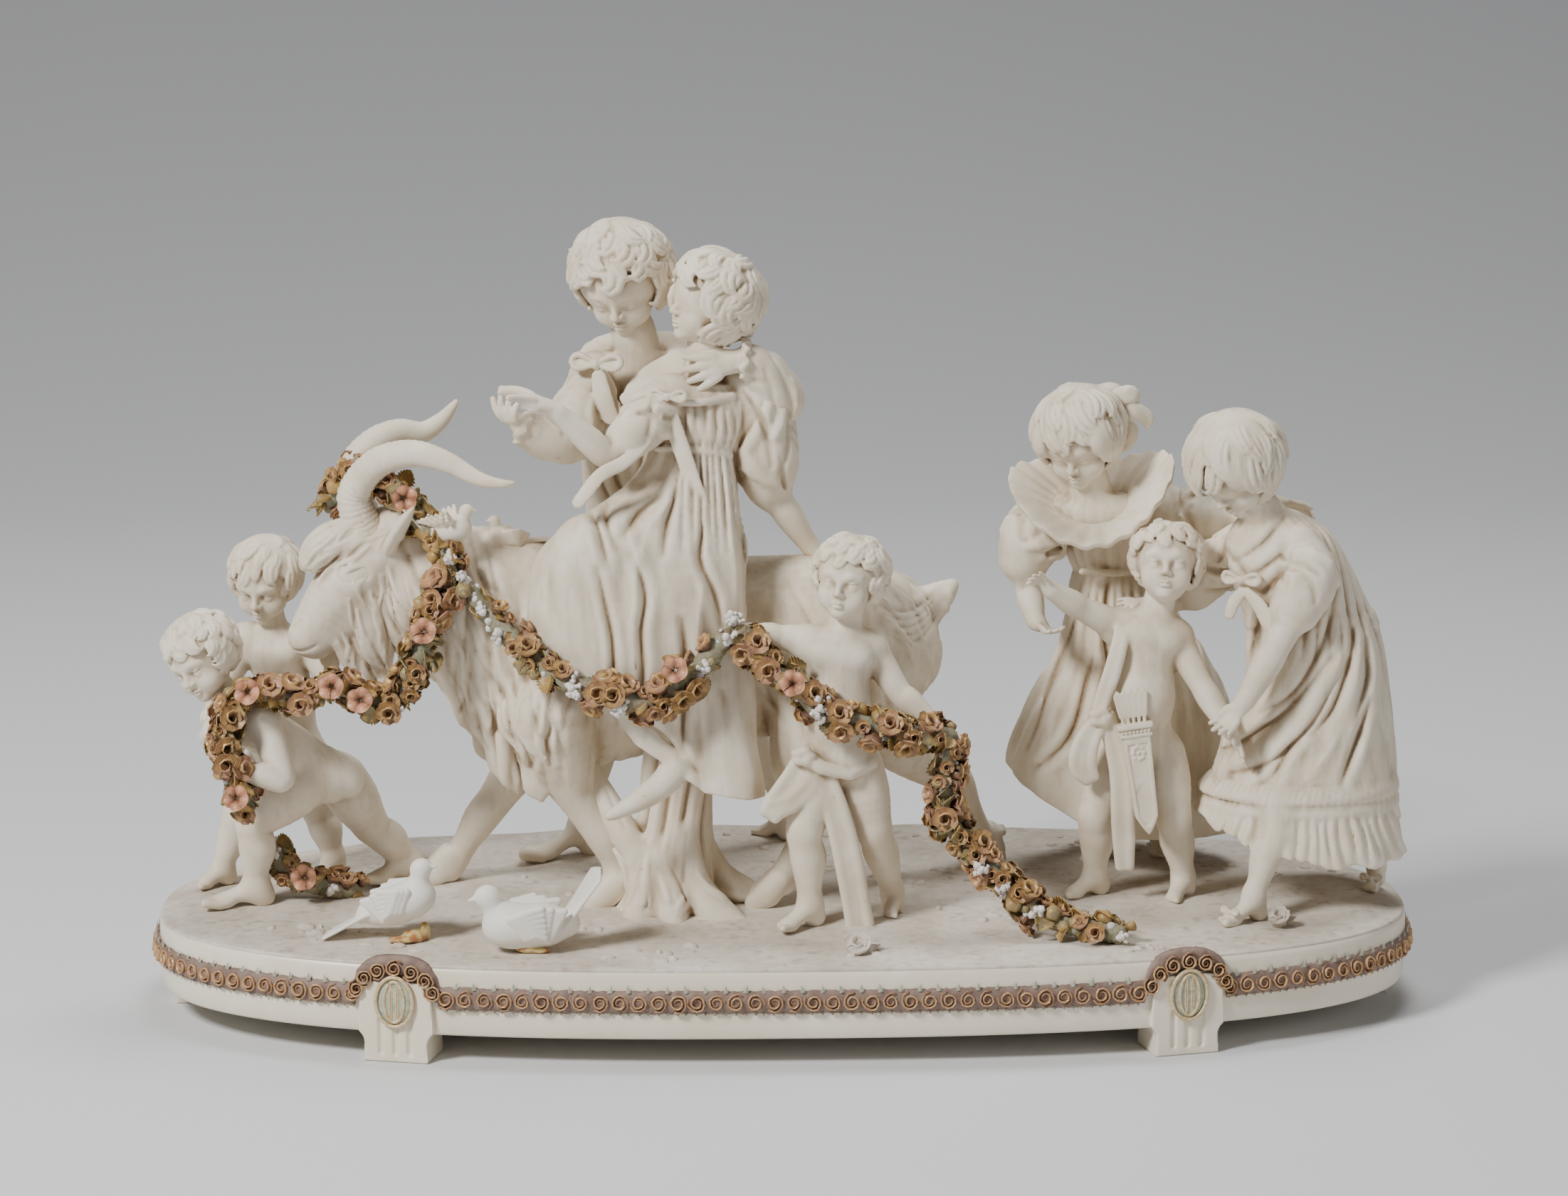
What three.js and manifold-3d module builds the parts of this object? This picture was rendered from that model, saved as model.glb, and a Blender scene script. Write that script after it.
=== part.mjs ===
// A biscuit porcelain group on its own oval plinth: a boy and a girl with a walking goat, four small
// putti and two more girls, tied together by a garland of roses. Millimetres, +Z up, X along the plinth,
// the front towards -Y, and the origin on the floor under the middle of the plinth.
import * as THREE from "three";
import Module from "manifold-3d";

const wasm = await Module();
wasm.setup();

// Plinth
const HALF_LENGTH = 315; // of the top plate, along X
const HALF_DEPTH = 137; // of the top plate, along Y
const OVAL_POWER = 2.5; // 2 is an ellipse, more is squarer
const OVAL_SIDES = 40;
const APRON_BOTTOM = 13.5;
const RIM_TOP = 48;
const BAND_HEIGHT = 32.5; // middle of the rose band
const BAND_HALF = 5.2; // half its height
const BAND_PROUD = 4.6;
const FOOT_X = 191; // the four main feet, at plus and minus this
const FOOT_WIDTH = 31;
const FOOT_DEPTH = 24;
const MEDALLION = [9.2, 12.5]; // half width and half height
// Ground
const GROUND_MIDDLE = 51.5;
const GROUND_SLOPE = 0.035; // rise towards the back
const GROUND_FRONT = 48.5;
// Garland
const GARLAND_RADIUS = 7.2;
const BLOSSOM_RADIUS = 9;

const bisque = { color: 0xe9e3d8, roughness: 0.75, metalness: 0 };

const vec = ([x, y, z]) => new THREE.Vector3(x, y, z);

// A closed mesh, given by points and triangles of indices, as a solid that faces outwards.
function solid(points, triangles) {
  const faces = new Uint32Array(triangles.flat());
  const flat = new Float32Array(points.flatMap((p) => [p.x, p.y, p.z]));
  const mesh = (triVerts) =>
    new wasm.Manifold(
      new wasm.Mesh({ numProp: 3, vertProperties: flat, triVerts }),
    );
  const made = mesh(faces);
  if (made.volume() > 0) return made;
  return mesh(
    new Uint32Array(triangles.flatMap(([a, b, c]) => [a, c, b])),
  );
}

// Rings of equal count joined one to the next, closed by a pole at each end.
function loft(rings, firstPole, lastPole) {
  const n = rings[0].length;
  const points = [firstPole, ...rings.flat(), lastPole];
  const last = points.length - 1;
  const triangles = [];
  const at = (ring, k) => 1 + ring * n + (k % n);
  for (let k = 0; k < n; k++) {
    triangles.push([0, at(0, k + 1), at(0, k)]);
    triangles.push([last, at(rings.length - 1, k), at(rings.length - 1, k + 1)]);
    for (let r = 0; r + 1 < rings.length; r++) {
      triangles.push([at(r, k), at(r, k + 1), at(r + 1, k)]);
      triangles.push([at(r, k + 1), at(r + 1, k + 1), at(r + 1, k)]);
    }
  }
  return solid(points, triangles);
}

// A limb through stations [x, y, z, wide, deep]. "across" is the direction of the wide radius, and
// "wave" changes the radius round the section.
function limb(stations, options = {}) {
  const { sides = 5, across = [1, 0, 0.01], round = 0.6, wave } = options;
  const centres = stations.map(vec);
  const rings = [];
  const tangents = centres.map((c, i) => {
    const before = centres[Math.max(0, i - 1)];
    const after = centres[Math.min(centres.length - 1, i + 1)];
    return after.clone().sub(before).normalize();
  });
  stations.forEach(([, , , wide, deep = wide], i) => {
    const t = tangents[i];
    const u = vec(across).addScaledVector(t, -vec(across).dot(t));
    if (u.lengthSq() < 0.05)
      u.set(0.1, 1, 0.1).addScaledVector(t, -(0.1 * t.x + t.y + 0.1 * t.z));
    u.normalize();
    const v = new THREE.Vector3().crossVectors(t, u);
    const ring = [];
    for (let k = 0; k < sides; k++) {
      const angle = (k / sides) * 2 * Math.PI;
      const swell = wave ? wave(angle, i / (stations.length - 1)) : 1;
      ring.push(
        centres[i]
          .clone()
          .addScaledVector(u, wide * swell * Math.cos(angle))
          .addScaledVector(v, deep * swell * Math.sin(angle)),
      );
    }
    rings.push(ring);
  });
  const end = (i, sign) => {
    const [, , , wide, deep = wide] = stations[i];
    return centres[i]
      .clone()
      .addScaledVector(tangents[i], sign * round * Math.min(wide, deep));
  };
  return loft(rings, end(0, -1), end(stations.length - 1, 1));
}

// An ellipsoid with its axes along "side", "front" and "up", and bumps given by a wave of its two angles.
function ball(at, [rx, ry, rz], options = {}) {
  const { front = [0, -1, 0], up = [0, 0, 1], sides = 6, rows = 3, wave } = options;
  const f = vec(front).normalize();
  const s = new THREE.Vector3().crossVectors(f, vec(up)).normalize();
  const u = new THREE.Vector3().crossVectors(s, f);
  const place = (turn, rise) => {
    const swell = wave ? wave(turn, rise) : 1;
    return vec(at)
      .addScaledVector(s, rx * swell * Math.cos(rise) * Math.sin(turn))
      .addScaledVector(f, ry * swell * Math.cos(rise) * Math.cos(turn))
      .addScaledVector(u, rz * swell * Math.sin(rise));
  };
  const rings = [];
  for (let r = 1; r <= rows; r++) {
    const rise = (r / (rows + 1) - 0.5) * Math.PI;
    const ring = [];
    for (let k = 0; k < sides; k++)
      ring.push(place(((k + (r % 2) / 2) / sides) * 2 * Math.PI, rise));
    rings.push(ring);
  }
  return loft(rings, place(0, -Math.PI / 2), place(0, Math.PI / 2));
}

// Skirts hang in folds: every second point of a ring stands out.
const folds = (count, depth) => (angle, down) =>
  1 + depth * (0.35 + down) * Math.cos(count * angle + 0.4);

// Curls: bumps all over the hair.
const curls = (depth) => (turn, rise) =>
  1 + depth * Math.cos(4 * turn + 3 * rise) * Math.cos(5 * rise);

// A child's head with its curled hair, which stands out all round the smooth face, and the nose.
// "size" is half the height of the bare head, and "hair" is how far the hair stands out from it.
function head({ at, face, up = [0, 0, 1], size, hair = 1.13, curl = 0.09 }) {
  const f = vec(face).normalize();
  const s = new THREE.Vector3().crossVectors(f, vec(up)).normalize();
  const u = new THREE.Vector3().crossVectors(s, f);
  const bumps = curls(curl);
  const surface = (turn, rise) => {
    const sideways = Math.abs(Math.atan2(Math.sin(turn), Math.cos(turn)));
    const bare = sideways < 1.15 && rise < 0.62;
    if (bare) return 0.98 - 0.15 * sideways;
    return hair * bumps(turn, rise);
  };
  const nose = (front, high) =>
    vec(at).addScaledVector(f, front * size).addScaledVector(u, high * size).toArray();
  return [
    ball(at, [0.88 * size, 0.97 * size, size], {
      front: f.toArray(),
      up: u.toArray(),
      sides: 10,
      rows: 4,
      wave: surface,
    }),
    limb([[...nose(0.82, 0.05), 0.07 * size], [...nose(1.0, -0.24), 0.13 * size]], {
      sides: 3,
      across: s.toArray(),
    }),
  ];
}

// An arm with its hand. "sleeve" holds the stations of a sleeve that covers the upper arm.
function arm({ shoulder, elbow, wrist, tips, size, across = [0, 1, 0.2], sleeve = [] }) {
  const palm = vec(wrist).lerp(vec(tips), 0.45).toArray();
  return limb(
    [
      ...(shoulder ? [[...shoulder, size]] : []),
      ...sleeve,
      [...elbow, 0.85 * size],
      [...wrist, 0.6 * size, 0.52 * size],
      [...palm, 0.85 * size, 0.45 * size],
      [...tips, 0.5 * size, 0.3 * size],
    ],
    { across, round: 0.8 },
  );
}

// A leg with its foot, whose sole is just below the ground.
function leg({ hip, knee, ankle, toes: [toeX, toeY], size }) {
  const calf = vec(knee).lerp(vec(ankle), 0.35).toArray();
  const [x, y] = ankle;
  const along = new THREE.Vector3(toeX - x, toeY - y, 0);
  const sole = (share, wide, high) => {
    const p = along.clone().multiplyScalar(share);
    return [
      x + p.x,
      y + p.y,
      groundAt(y + p.y) - 0.8 + high * size,
      wide * size,
      high * size,
    ];
  };
  return limb(
    [
      [...hip, size],
      [...knee, 0.72 * size],
      [...calf, 0.72 * size],
      [...ankle, 0.45 * size],
      sole(-0.12, 0.42, 0.4),
      sole(0.5, 0.46, 0.36),
      sole(0.92, 0.5, 0.26),
    ],
    { across: [-along.y, along.x, 0], sides: 6 },
  );
}

// Height of the ground under a figure.
const groundAt = (y) => Math.max(GROUND_FRONT, GROUND_MIDDLE + GROUND_SLOPE * y);

// A point on the plinth's oval, at a share of the full size.
function oval(angle, outset = 0, share = 1) {
  const c = Math.cos(angle);
  const s = Math.sin(angle);
  const bend = (v) => Math.sign(v) * Math.abs(v) ** (2 / OVAL_POWER);
  return [
    (HALF_LENGTH * share + outset) * bend(c),
    (HALF_DEPTH * share + outset) * bend(s),
  ];
}

function ovalRing(height, outset, share = 1, sides = OVAL_SIDES) {
  return Array.from({ length: sides }, (_, k) => {
    const [x, y] = oval((k / sides) * 2 * Math.PI, outset, share);
    return new THREE.Vector3(x, y, typeof height === "function" ? height(x, y) : height);
  });
}

// The plinth's plate with its rocky ground and the rose band round its edge, and its feet.
function plinth() {
  const rocky = (lift) => (x, y) =>
    groundAt(y) + lift * Math.sin(x / 13 + y / 9) * Math.cos(y / 17 - x / 29);
  const plate = loft(
    [
      ovalRing(APRON_BOTTOM, -1),
      ovalRing(BAND_HEIGHT - BAND_HALF, 0),
      ovalRing(BAND_HEIGHT - BAND_HALF / 3, BAND_PROUD),
      ovalRing(BAND_HEIGHT + BAND_HALF / 3, BAND_PROUD),
      ovalRing(BAND_HEIGHT + BAND_HALF, 0),
      ovalRing(RIM_TOP, -0.5),
      ovalRing(rocky(0.6), 0, 0.955),
      ovalRing(rocky(1.2), 0, 0.6),
    ],
    new THREE.Vector3(0, 0, APRON_BOTTOM),
    new THREE.Vector3(0, 0, GROUND_MIDDLE),
  );
  return [plate, ...mainFeet(), ...endFeet()];
}

// A prism between an outline in a foot's own plane, and its depth into the plinth.
function slab(outline, place, front, back) {
  const n = outline.length;
  const ring = (depth) => outline.map(([x, z]) => place(x, depth, z));
  const middle = (depth) =>
    ring(depth)
      .reduce((sum, p) => sum.add(p), new THREE.Vector3())
      .divideScalar(n);
  return loft([ring(front), ring(back)], middle(front), middle(back));
}

// Each main foot is a fluted pilaster under an oval medallion, with an arch of roses over it.
function mainFeet() {
  const made = [];
  for (const sideX of [-1, 1])
    for (const sideY of [-1, 1]) {
      const x0 = sideX * FOOT_X;
      const share = (FOOT_X / HALF_LENGTH) ** OVAL_POWER;
      const y0 = sideY * HALF_DEPTH * (1 - share) ** (1 / OVAL_POWER);
      const outward = new THREE.Vector3(
        (sideX * FOOT_X ** (OVAL_POWER - 1)) / HALF_LENGTH ** OVAL_POWER,
        (sideY * Math.abs(y0) ** (OVAL_POWER - 1)) / HALF_DEPTH ** OVAL_POWER,
        0,
      ).normalize();
      const along = new THREE.Vector3(-outward.y, outward.x, 0);
      const place = (x, out, z) =>
        new THREE.Vector3(x0, y0, z)
          .addScaledVector(along, x)
          .addScaledVector(outward, out);
      const half = FOOT_WIDTH / 2;
      const pilaster = [
        [-half, 0],
        [half, 0],
        [half, APRON_BOTTOM - 4],
        [half + 3, APRON_BOTTOM + 2],
        [half + 3, BAND_HEIGHT],
        [-half - 3, BAND_HEIGHT],
        [-half - 3, APRON_BOTTOM + 2],
        [-half, APRON_BOTTOM - 4],
      ];
      made.push(slab(pilaster, place, 3, -FOOT_DEPTH));
      const ellipse = (grow, sides) =>
        Array.from({ length: sides }, (_, k) => {
          const angle = (k / sides) * 2 * Math.PI;
          return [
            (MEDALLION[0] + grow) * Math.cos(angle),
            BAND_HEIGHT - 1.5 + (MEDALLION[1] + grow) * Math.sin(angle),
          ];
        });
      made.push(slab(ellipse(3.4, 10), place, BAND_PROUD + 1, -6));
    }
  return made;
}

// The feet under the two ends are plain blocks.
function endFeet() {
  return [-1, 1].map((side) => {
    const place = (y, out, z) => new THREE.Vector3(side * (296 + out), y, z);
    const block = [
      [-13, 0],
      [13, 0],
      [15, APRON_BOTTOM + 2],
      [-15, APRON_BOTTOM + 2],
    ];
    return slab(block, place, 12, -10);
  });
}

// The walking goat: body, neck, head, legs and a short raised tail. Long hair hangs in locks.
function goat() {
  const shag = (count, depth) => (angle) => 1 + depth * Math.cos(count * angle);
  const axis = 5; // y of its spine
  const body = limb(
    [
      [-152, axis, 166, 15, 20],
      [-140, axis, 168, 27, 42],
      [-116, axis, 169, 33, 56],
      [-80, axis, 174, 35, 51],
      [-38, axis, 177, 36, 47],
      [2, axis, 178, 34, 46],
      [32, axis, 178, 32, 45],
      [50, axis, 180, 25, 34],
      [58, axis, 184, 12, 18],
    ],
    { across: [0, 1, 0], sides: 10, wave: shag(5, 0.02) },
  );
  const neck = limb(
    [
      [-112, 4, 182, 28, 46],
      [-146, 2, 196, 26, 44],
      [-170, 0, 208, 24, 38],
      [-190, -3, 219, 20, 26],
    ],
    { across: [0, 1, 0], sides: 8, wave: shag(4, 0.06) },
  );
  const skull = limb(
    [
      [-190, -3, 234, 18, 20],
      [-208, -6, 226, 18, 19],
      [-222, -8, 210, 15, 16],
      [-233, -9, 196, 12, 13],
      [-239, -10, 187, 10.5, 10.5],
    ],
    { across: [0, 1, 0], sides: 8 },
  );
  const forelock = ball([-226, -8, 231], [13, 15, 10], {
    wave: curls(0.18),
    sides: 8,
  });
  const beard = limb(
    [
      [-222, -8, 190, 11, 9],
      [-214, -9, 175, 9, 8],
      [-206, -10, 161, 3, 3],
    ],
    { across: [0, 1, 0] },
  );
  const ears = [-1, 1].map((side) =>
    limb(
      [
        [-201, -3 + side * 17, 231, 4, 3],
        [-193, -3 + side * 26, 243, 6, 3],
        [-185, -3 + side * 31, 253, 2, 1.5],
      ],
      { across: [1, 0, 0.4], sides: 5 },
    ),
  );
  const nearHorn = limb(
    [
      [-208, -9, 243, 8.5],
      [-215, -12, 262, 7.8],
      [-202, -18, 277, 7.2],
      [-185, -24, 282, 6.4],
      [-168, -30, 279, 5.2],
      [-151, -36, 271, 3.6],
      [-134, -40, 269, 1.4],
    ],
    { across: [0, 1, 0.1] },
  );
  const farHorn = limb(
    [
      [-210, 3, 245, 8.5],
      [-218, 6, 267, 7.8],
      [-207, 11, 282, 7.2],
      [-194, 15, 288, 6.2],
      [-181, 20, 287, 5],
      [-172, 23, 292, 3.6],
      [-165, 26, 301, 1.4],
    ],
    { across: [0, 1, 0.1] },
  );
  const tail = limb(
    [
      [42, axis, 204, 12, 12],
      [58, axis, 195, 11, 11],
      [70, axis, 194, 8, 9],
      [79, axis, 202, 5, 6],
      [84, axis, 208, 2.5, 3],
    ],
    { across: [0, 1, 0] },
  );
  return [
    body,
    neck,
    skull,
    forelock,
    beard,
    ...ears,
    nearHorn,
    farHorn,
    tail,
    ...goatLegs(),
    ...locks(),
  ];
}

function goatLegs() {
  const hoofed = (stations, [x, y, z, lean]) =>
    limb(
      [
        ...stations,
        [x + lean, y, z + 13, 7.5, 7],
        [x, y, z + 6, 9.5, 8],
        [x - 0.3 * lean, y, z - 1.5, 11, 9],
      ],
      { round: 0.1 },
    );
  return [
    hoofed(
      [
        [-120, -20, 150, 24, 14],
        [-108, -20, 112, 13, 10],
        [-92, -18, 87, 9, 8],
        [-84, -17, 72, 6.5, 6.5],
      ],
      [-88, -17, 51.5, 6],
    ),
    hoofed(
      [
        [-126, 24, 140, 20, 14],
        [-137, 25, 106, 12, 10],
        [-153, 26, 86, 8.5, 8],
        [-163, 27, 72, 6.5, 6.5],
      ],
      [-175, 27, 52.5, 9],
    ),
    hoofed(
      [
        [24, -20, 165, 28, 14],
        [10, -20, 125, 16, 11],
        [12, -18, 98, 8, 8],
        [3, -16, 74, 6.5, 6.5],
      ],
      [-7, -18, 51.5, 8],
    ),
    hoofed(
      [
        [34, 24, 165, 28, 14],
        [60, 34, 118, 17, 12],
        [88, 42, 102, 9, 9],
        [100, 52, 82, 6.5, 6.5],
      ],
      [110, 64, 54, -4],
    ),
  ];
}

// Pointed locks of the coat, along the chest, the neck and the near shoulder.
function locks() {
  const roots = [
    [-151, 2, 146, -156, -2],
    [-146, -10, 134, -149, -13],
    [-136, -16, 122, -138, -19],
    [-122, -26, 124, -122, -28],
  ];
  return roots.map(([x, y, z, tipX, tipY]) =>
    limb(
      [
        [x, y, z + 16, 9, 6],
        [(x + tipX) / 2, (y + tipY) / 2, z, 8, 5],
        [tipX, tipY, z - 14, 1.5, 1.2],
      ],
      { sides: 4 },
    ),
  );
}

// The draped stump under the goat, which carries its weight while it is fired.
function stump() {
  return [
    limb(
      [
        [-56, -12, 150, 16, 14],
        [-55, -16, 112, 17, 15],
        [-56, -18, 80, 18, 14],
        [-56, -18, 48, 24, 17],
      ],
      { sides: 10, wave: folds(5, 0.1) },
    ),
    limb(
      [
        [-104, -6, 126, 6, 5],
        [-90, -18, 106, 8, 6],
        [-74, -26, 84, 8, 6],
        [-68, -28, 50, 9, 7],
      ],
      { sides: 6 },
    ),
  ];
}

// The girl who sits side-saddle on the goat and points ahead.
function ridingGirl() {
  const skirt = limb(
    [
      [-45, -8, 276, 21, 15],
      [-52, -14, 256, 30, 22],
      [-66, -24, 240, 46, 30],
      [-74, -34, 222, 56, 30],
      [-74, -40, 202, 57, 24],
      [-57, -44, 174, 38, 18],
      [-44, -48, 148, 28, 15],
      [-35, -50, 124, 26, 12],
      [-27, -50, 118, 16, 10],
    ],
    { sides: 14, wave: folds(7, 0.05), round: 0.1 },
  );
  return [
    ...head({
      at: [-34, -12, 356],
      face: [-0.9, -0.38, 0.22],
      up: [0.2, 0, 1],
      size: 24,
      hair: 1.12,
    }),
    limb([
      [-39, -11, 336, 9],
      [-41, -10, 322, 10, 10],
    ]),
    limb(
      [
        [-41, -9, 320, 16, 11],
        [-41, -9, 308, 25, 15],
        [-43, -9, 292, 22, 16],
        [-45, -8, 272, 20, 15],
      ],
      { sides: 8 },
    ),
    skirt,
    arm({
      sleeve: [
        [-56, -14, 310, 11],
        [-70, -26, 298, 12],
        [-79, -35, 290, 9],
      ],
      elbow: [-87, -40, 284],
      wrist: [-114, -48, 306],
      tips: [-134, -52, 320],
      size: 8,
      across: [0, 1, 0],
    }),
    arm({
      sleeve: [
        [-20, -4, 314, 9],
        [-14, -2, 298, 16],
        [-10, -1, 276, 17],
        [-8, 0, 262, 13],
      ],
      elbow: [-3, 0, 254],
      wrist: [12, 4, 232],
      tips: [28, 6, 226],
      size: 8.5,
      across: [0, 1, 0],
    }),
    ball([-59, -24, 309], [5, 3, 4]),
    limb(
      [
        [-57, -25, 306, 3.5, 1.5],
        [-50, -28, 280, 4.5, 1.5],
        [-41, -34, 250, 5, 1.8],
      ],
      { sides: 4 },
    ),
    limb(
      [
        [-62, -26, 304, 3, 1.5],
        [-78, -46, 284, 4, 1.8],
        [-100, -57, 266, 4, 2],
      ],
      { sides: 4 },
    ),
    limb([
      [-50, -50, 136, 9],
      [-56, -56, 124, 7],
      [-72, -62, 115, 6.5, 5],
      [-86, -66, 108, 3, 2.5],
    ]),
  ];
}

// The boy in a sailor blouse behind the goat, with one arm round the girl's neck.
function sailorBoy() {
  return [
    ...head({
      at: [-80, 14, 365],
      face: [-0.25, -0.8, -0.48],
      up: [-0.15, -0.1, 1],
      size: 28,
      hair: 1.15,
    }),
    limb([
      [-76, 18, 338, 10],
      [-73, 24, 320, 11],
    ]),
    limb(
      [
        [-70, 26, 322, 20, 11],
        [-68, 29, 308, 32, 17],
        [-70, 34, 282, 31, 20],
        [-70, 44, 248, 29, 21],
        [-68, 54, 222, 27, 20],
        [-66, 60, 198, 25, 18],
      ],
      { sides: 8 },
    ),
    arm({
      sleeve: [
        [-96, 18, 310, 11],
        [-104, 8, 286, 12],
      ],
      elbow: [-116, -3, 287],
      wrist: [-125, -11, 293],
      tips: [-138, -21, 303],
      size: 10,
      across: [0, 0.4, 1],
    }),
    arm({
      sleeve: [
        [-38, 26, 314, 13],
        [-18, 22, 305, 14],
        [-6, 12, 301, 13],
        [-8, -4, 313, 12],
      ],
      elbow: [-12, -11, 323],
      wrist: [-18, -16, 328],
      tips: [-44, -24, 323],
      size: 9,
      across: [0, 0.3, 1],
    }),
    ball([-92, 14, 318], [9, 8, 7]),
    leg({
      hip: [-78, 64, 204],
      knee: [-86, 70, 132],
      ankle: [-103, 76, 70],
      toes: [-132, 66],
      size: 15,
    }),
    leg({
      hip: [-56, 66, 204],
      knee: [-24, 84, 132],
      ankle: [4, 104, 72],
      toes: [-8, 112],
      size: 15,
    }),
  ];
}

// The putto at the front left, who strains forwards with the garland in both hands.
function haulingPutto() {
  return [
    ...head({
      at: [-289, -26, 181],
      face: [-0.5, -0.78, -0.35],
      up: [-0.3, 0.1, 1],
      size: 20,
    }),
    limb(
      [
        [-284, -25, 170, 8],
        [-276, -20, 158, 9],
        [-268, -12, 148, 19, 13],
        [-254, -6, 136, 18, 15],
        [-242, 0, 124, 17, 16],
        [-230, 5, 114, 18, 16],
        [-222, 8, 106, 13, 12],
      ],
      { sides: 8, across: [0.2, 1, 0] },
    ),
    arm({
      shoulder: [-258, -26, 148],
      elbow: [-250, -36, 121],
      wrist: [-268, -39, 126],
      tips: [-281, -38, 136],
      size: 7.5,
      across: [0, 1, 0.3],
    }),
    arm({
      shoulder: [-272, 4, 146],
      elbow: [-278, 6, 128],
      wrist: [-288, -14, 138],
      tips: [-289, -28, 148],
      size: 7.5,
    }),
    leg({
      hip: [-238, -5, 112],
      knee: [-266, -16, 94],
      ankle: [-266, -12, 61],
      toes: [-290, -17],
      size: 12.5,
    }),
    leg({
      hip: [-222, 12, 108],
      knee: [-210, 24, 82],
      ankle: [-192, 32, 61],
      toes: [-212, 22],
      size: 12.5,
    }),
  ];
}

// The putto at the goat's mouth, who looks down and holds its beard.
function beardPutto() {
  return [
    ...head({
      at: [-261, 22, 210],
      face: [-0.28, -0.88, -0.32],
      size: 20,
      curl: 0.07,
    }),
    limb(
      [
        [-260, 23, 198, 8],
        [-258, 26, 186, 8],
        [-256, 28, 178, 17, 11],
        [-254, 29, 160, 17, 13],
        [-253, 32, 142, 16, 14],
        [-251, 36, 122, 17, 14],
        [-250, 38, 110, 13, 12],
      ],
      { sides: 6 },
    ),
    arm({
      shoulder: [-272, 28, 180],
      elbow: [-279, 26, 160],
      wrist: [-287, 10, 148],
      tips: [-291, -6, 146],
      size: 7,
    }),
    arm({
      shoulder: [-240, 26, 178],
      elbow: [-224, 16, 154],
      wrist: [-226, 5, 170],
      tips: [-231, -2, 182],
      size: 7,
      across: [1, 0, 0],
    }),
    leg({
      hip: [-260, 33, 112],
      knee: [-277, 24, 88],
      ankle: [-286, 26, 62],
      toes: [-298, 14],
      size: 11.5,
    }),
    leg({
      hip: [-244, 40, 110],
      knee: [-238, 46, 84],
      ankle: [-230, 48, 60],
      toes: [-240, 34],
      size: 11.5,
    }),
  ];
}

// The standing putto who carries the garland on his arms, with a knotted cloth at his hip.
function garlandPutto() {
  return [
    ...head({
      at: [30, -50, 222],
      face: [-0.35, -0.92, 0.1],
      up: [0.12, 0, 1],
      size: 20,
    }),
    limb(
      [
        [30, -50, 212, 8],
        [30, -48, 200, 8],
        [26, -48, 191, 18, 11],
        [25, -50, 176, 17, 13],
        [23, -53, 156, 16, 15],
        [25, -52, 136, 18, 14],
        [25, -51, 124, 14, 12],
      ],
      { sides: 6 },
    ),
    arm({
      shoulder: [11, -46, 192],
      elbow: [-4, -46, 193],
      wrist: [-17, -49, 196],
      tips: [-27, -52, 202],
      size: 7,
    }),
    arm({
      shoulder: [40, -46, 187],
      elbow: [55, -51, 166],
      wrist: [71, -57, 153],
      tips: [83, -60, 148],
      size: 7,
    }),
    leg({
      hip: [15, -54, 126],
      knee: [8, -60, 98],
      ankle: [11, -57, 63],
      toes: [-4, -70],
      size: 12,
    }),
    leg({
      hip: [35, -48, 126],
      knee: [43, -50, 96],
      ankle: [53, -36, 63],
      toes: [51, -47],
      size: 12,
    }),
    ball([7, -60, 137], [5, 4, 6]),
    limb(
      [
        [6, -64, 132, 4, 3],
        [-4, -66, 120, 8, 4],
        [-8, -66, 112, 5, 3],
      ],
      { sides: 6 },
    ),
    limb(
      [
        [14, -62, 132, 7, 5],
        [24, -62, 106, 7, 5],
        [32, -60, 78, 7, 5],
        [36, -58, 54, 4, 3],
      ],
      { sides: 6 },
    ),
  ];
}

// The standing putto with a quiver, who reaches up and out between the two girls.
function quiverPutto() {
  return [
    ...head({
      at: [191, -13, 221],
      face: [-0.12, -0.9, 0.32],
      up: [0.05, 0.1, 1],
      size: 20,
    }),
    limb(
      [
        [190, -12, 212, 8],
        [187, -9, 200, 8],
        [182, -8, 190, 18, 11],
        [180, -9, 176, 17, 13],
        [178, -12, 156, 17, 15],
        [179, -9, 128, 18, 14],
        [178, -8, 114, 14, 12],
      ],
      { sides: 6 },
    ),
    arm({
      shoulder: [166, -7, 191],
      elbow: [147, -17, 201],
      wrist: [131, -28, 211],
      tips: [122, -33, 221],
      size: 7,
      across: [1, 0, 0],
    }),
    arm({
      shoulder: [196, -9, 184],
      elbow: [207, -20, 163],
      wrist: [220, -35, 142],
      tips: [229, -43, 128],
      size: 7,
    }),
    leg({
      hip: [167, -8, 118],
      knee: [156, -12, 92],
      ankle: [158, -6, 62],
      toes: [142, -15],
      size: 12,
    }),
    leg({
      hip: [190, -10, 118],
      knee: [195, -17, 92],
      ankle: [202, -12, 62],
      toes: [194, -24],
      size: 12,
    }),
    limb(
      [
        [158, -20, 146, 5, 4],
        [153, -24, 130, 10, 5],
        [151, -24, 122, 6, 4],
      ],
      { sides: 6 },
    ),
    limb(
      [
        [166, -20, 138, 7, 4],
        [168, -22, 110, 6, 4],
        [171, -20, 76, 4, 3],
      ],
      { sides: 6 },
    ),
    limb(
      [
        [170, -27, 160, 6, 5],
        [172, -27, 148, 8.5, 6],
        [173, -28, 143, 6.5, 5],
        [179, -30, 96, 5, 4.5],
      ],
      { sides: 6, round: 1 },
    ),
  ];
}

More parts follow.
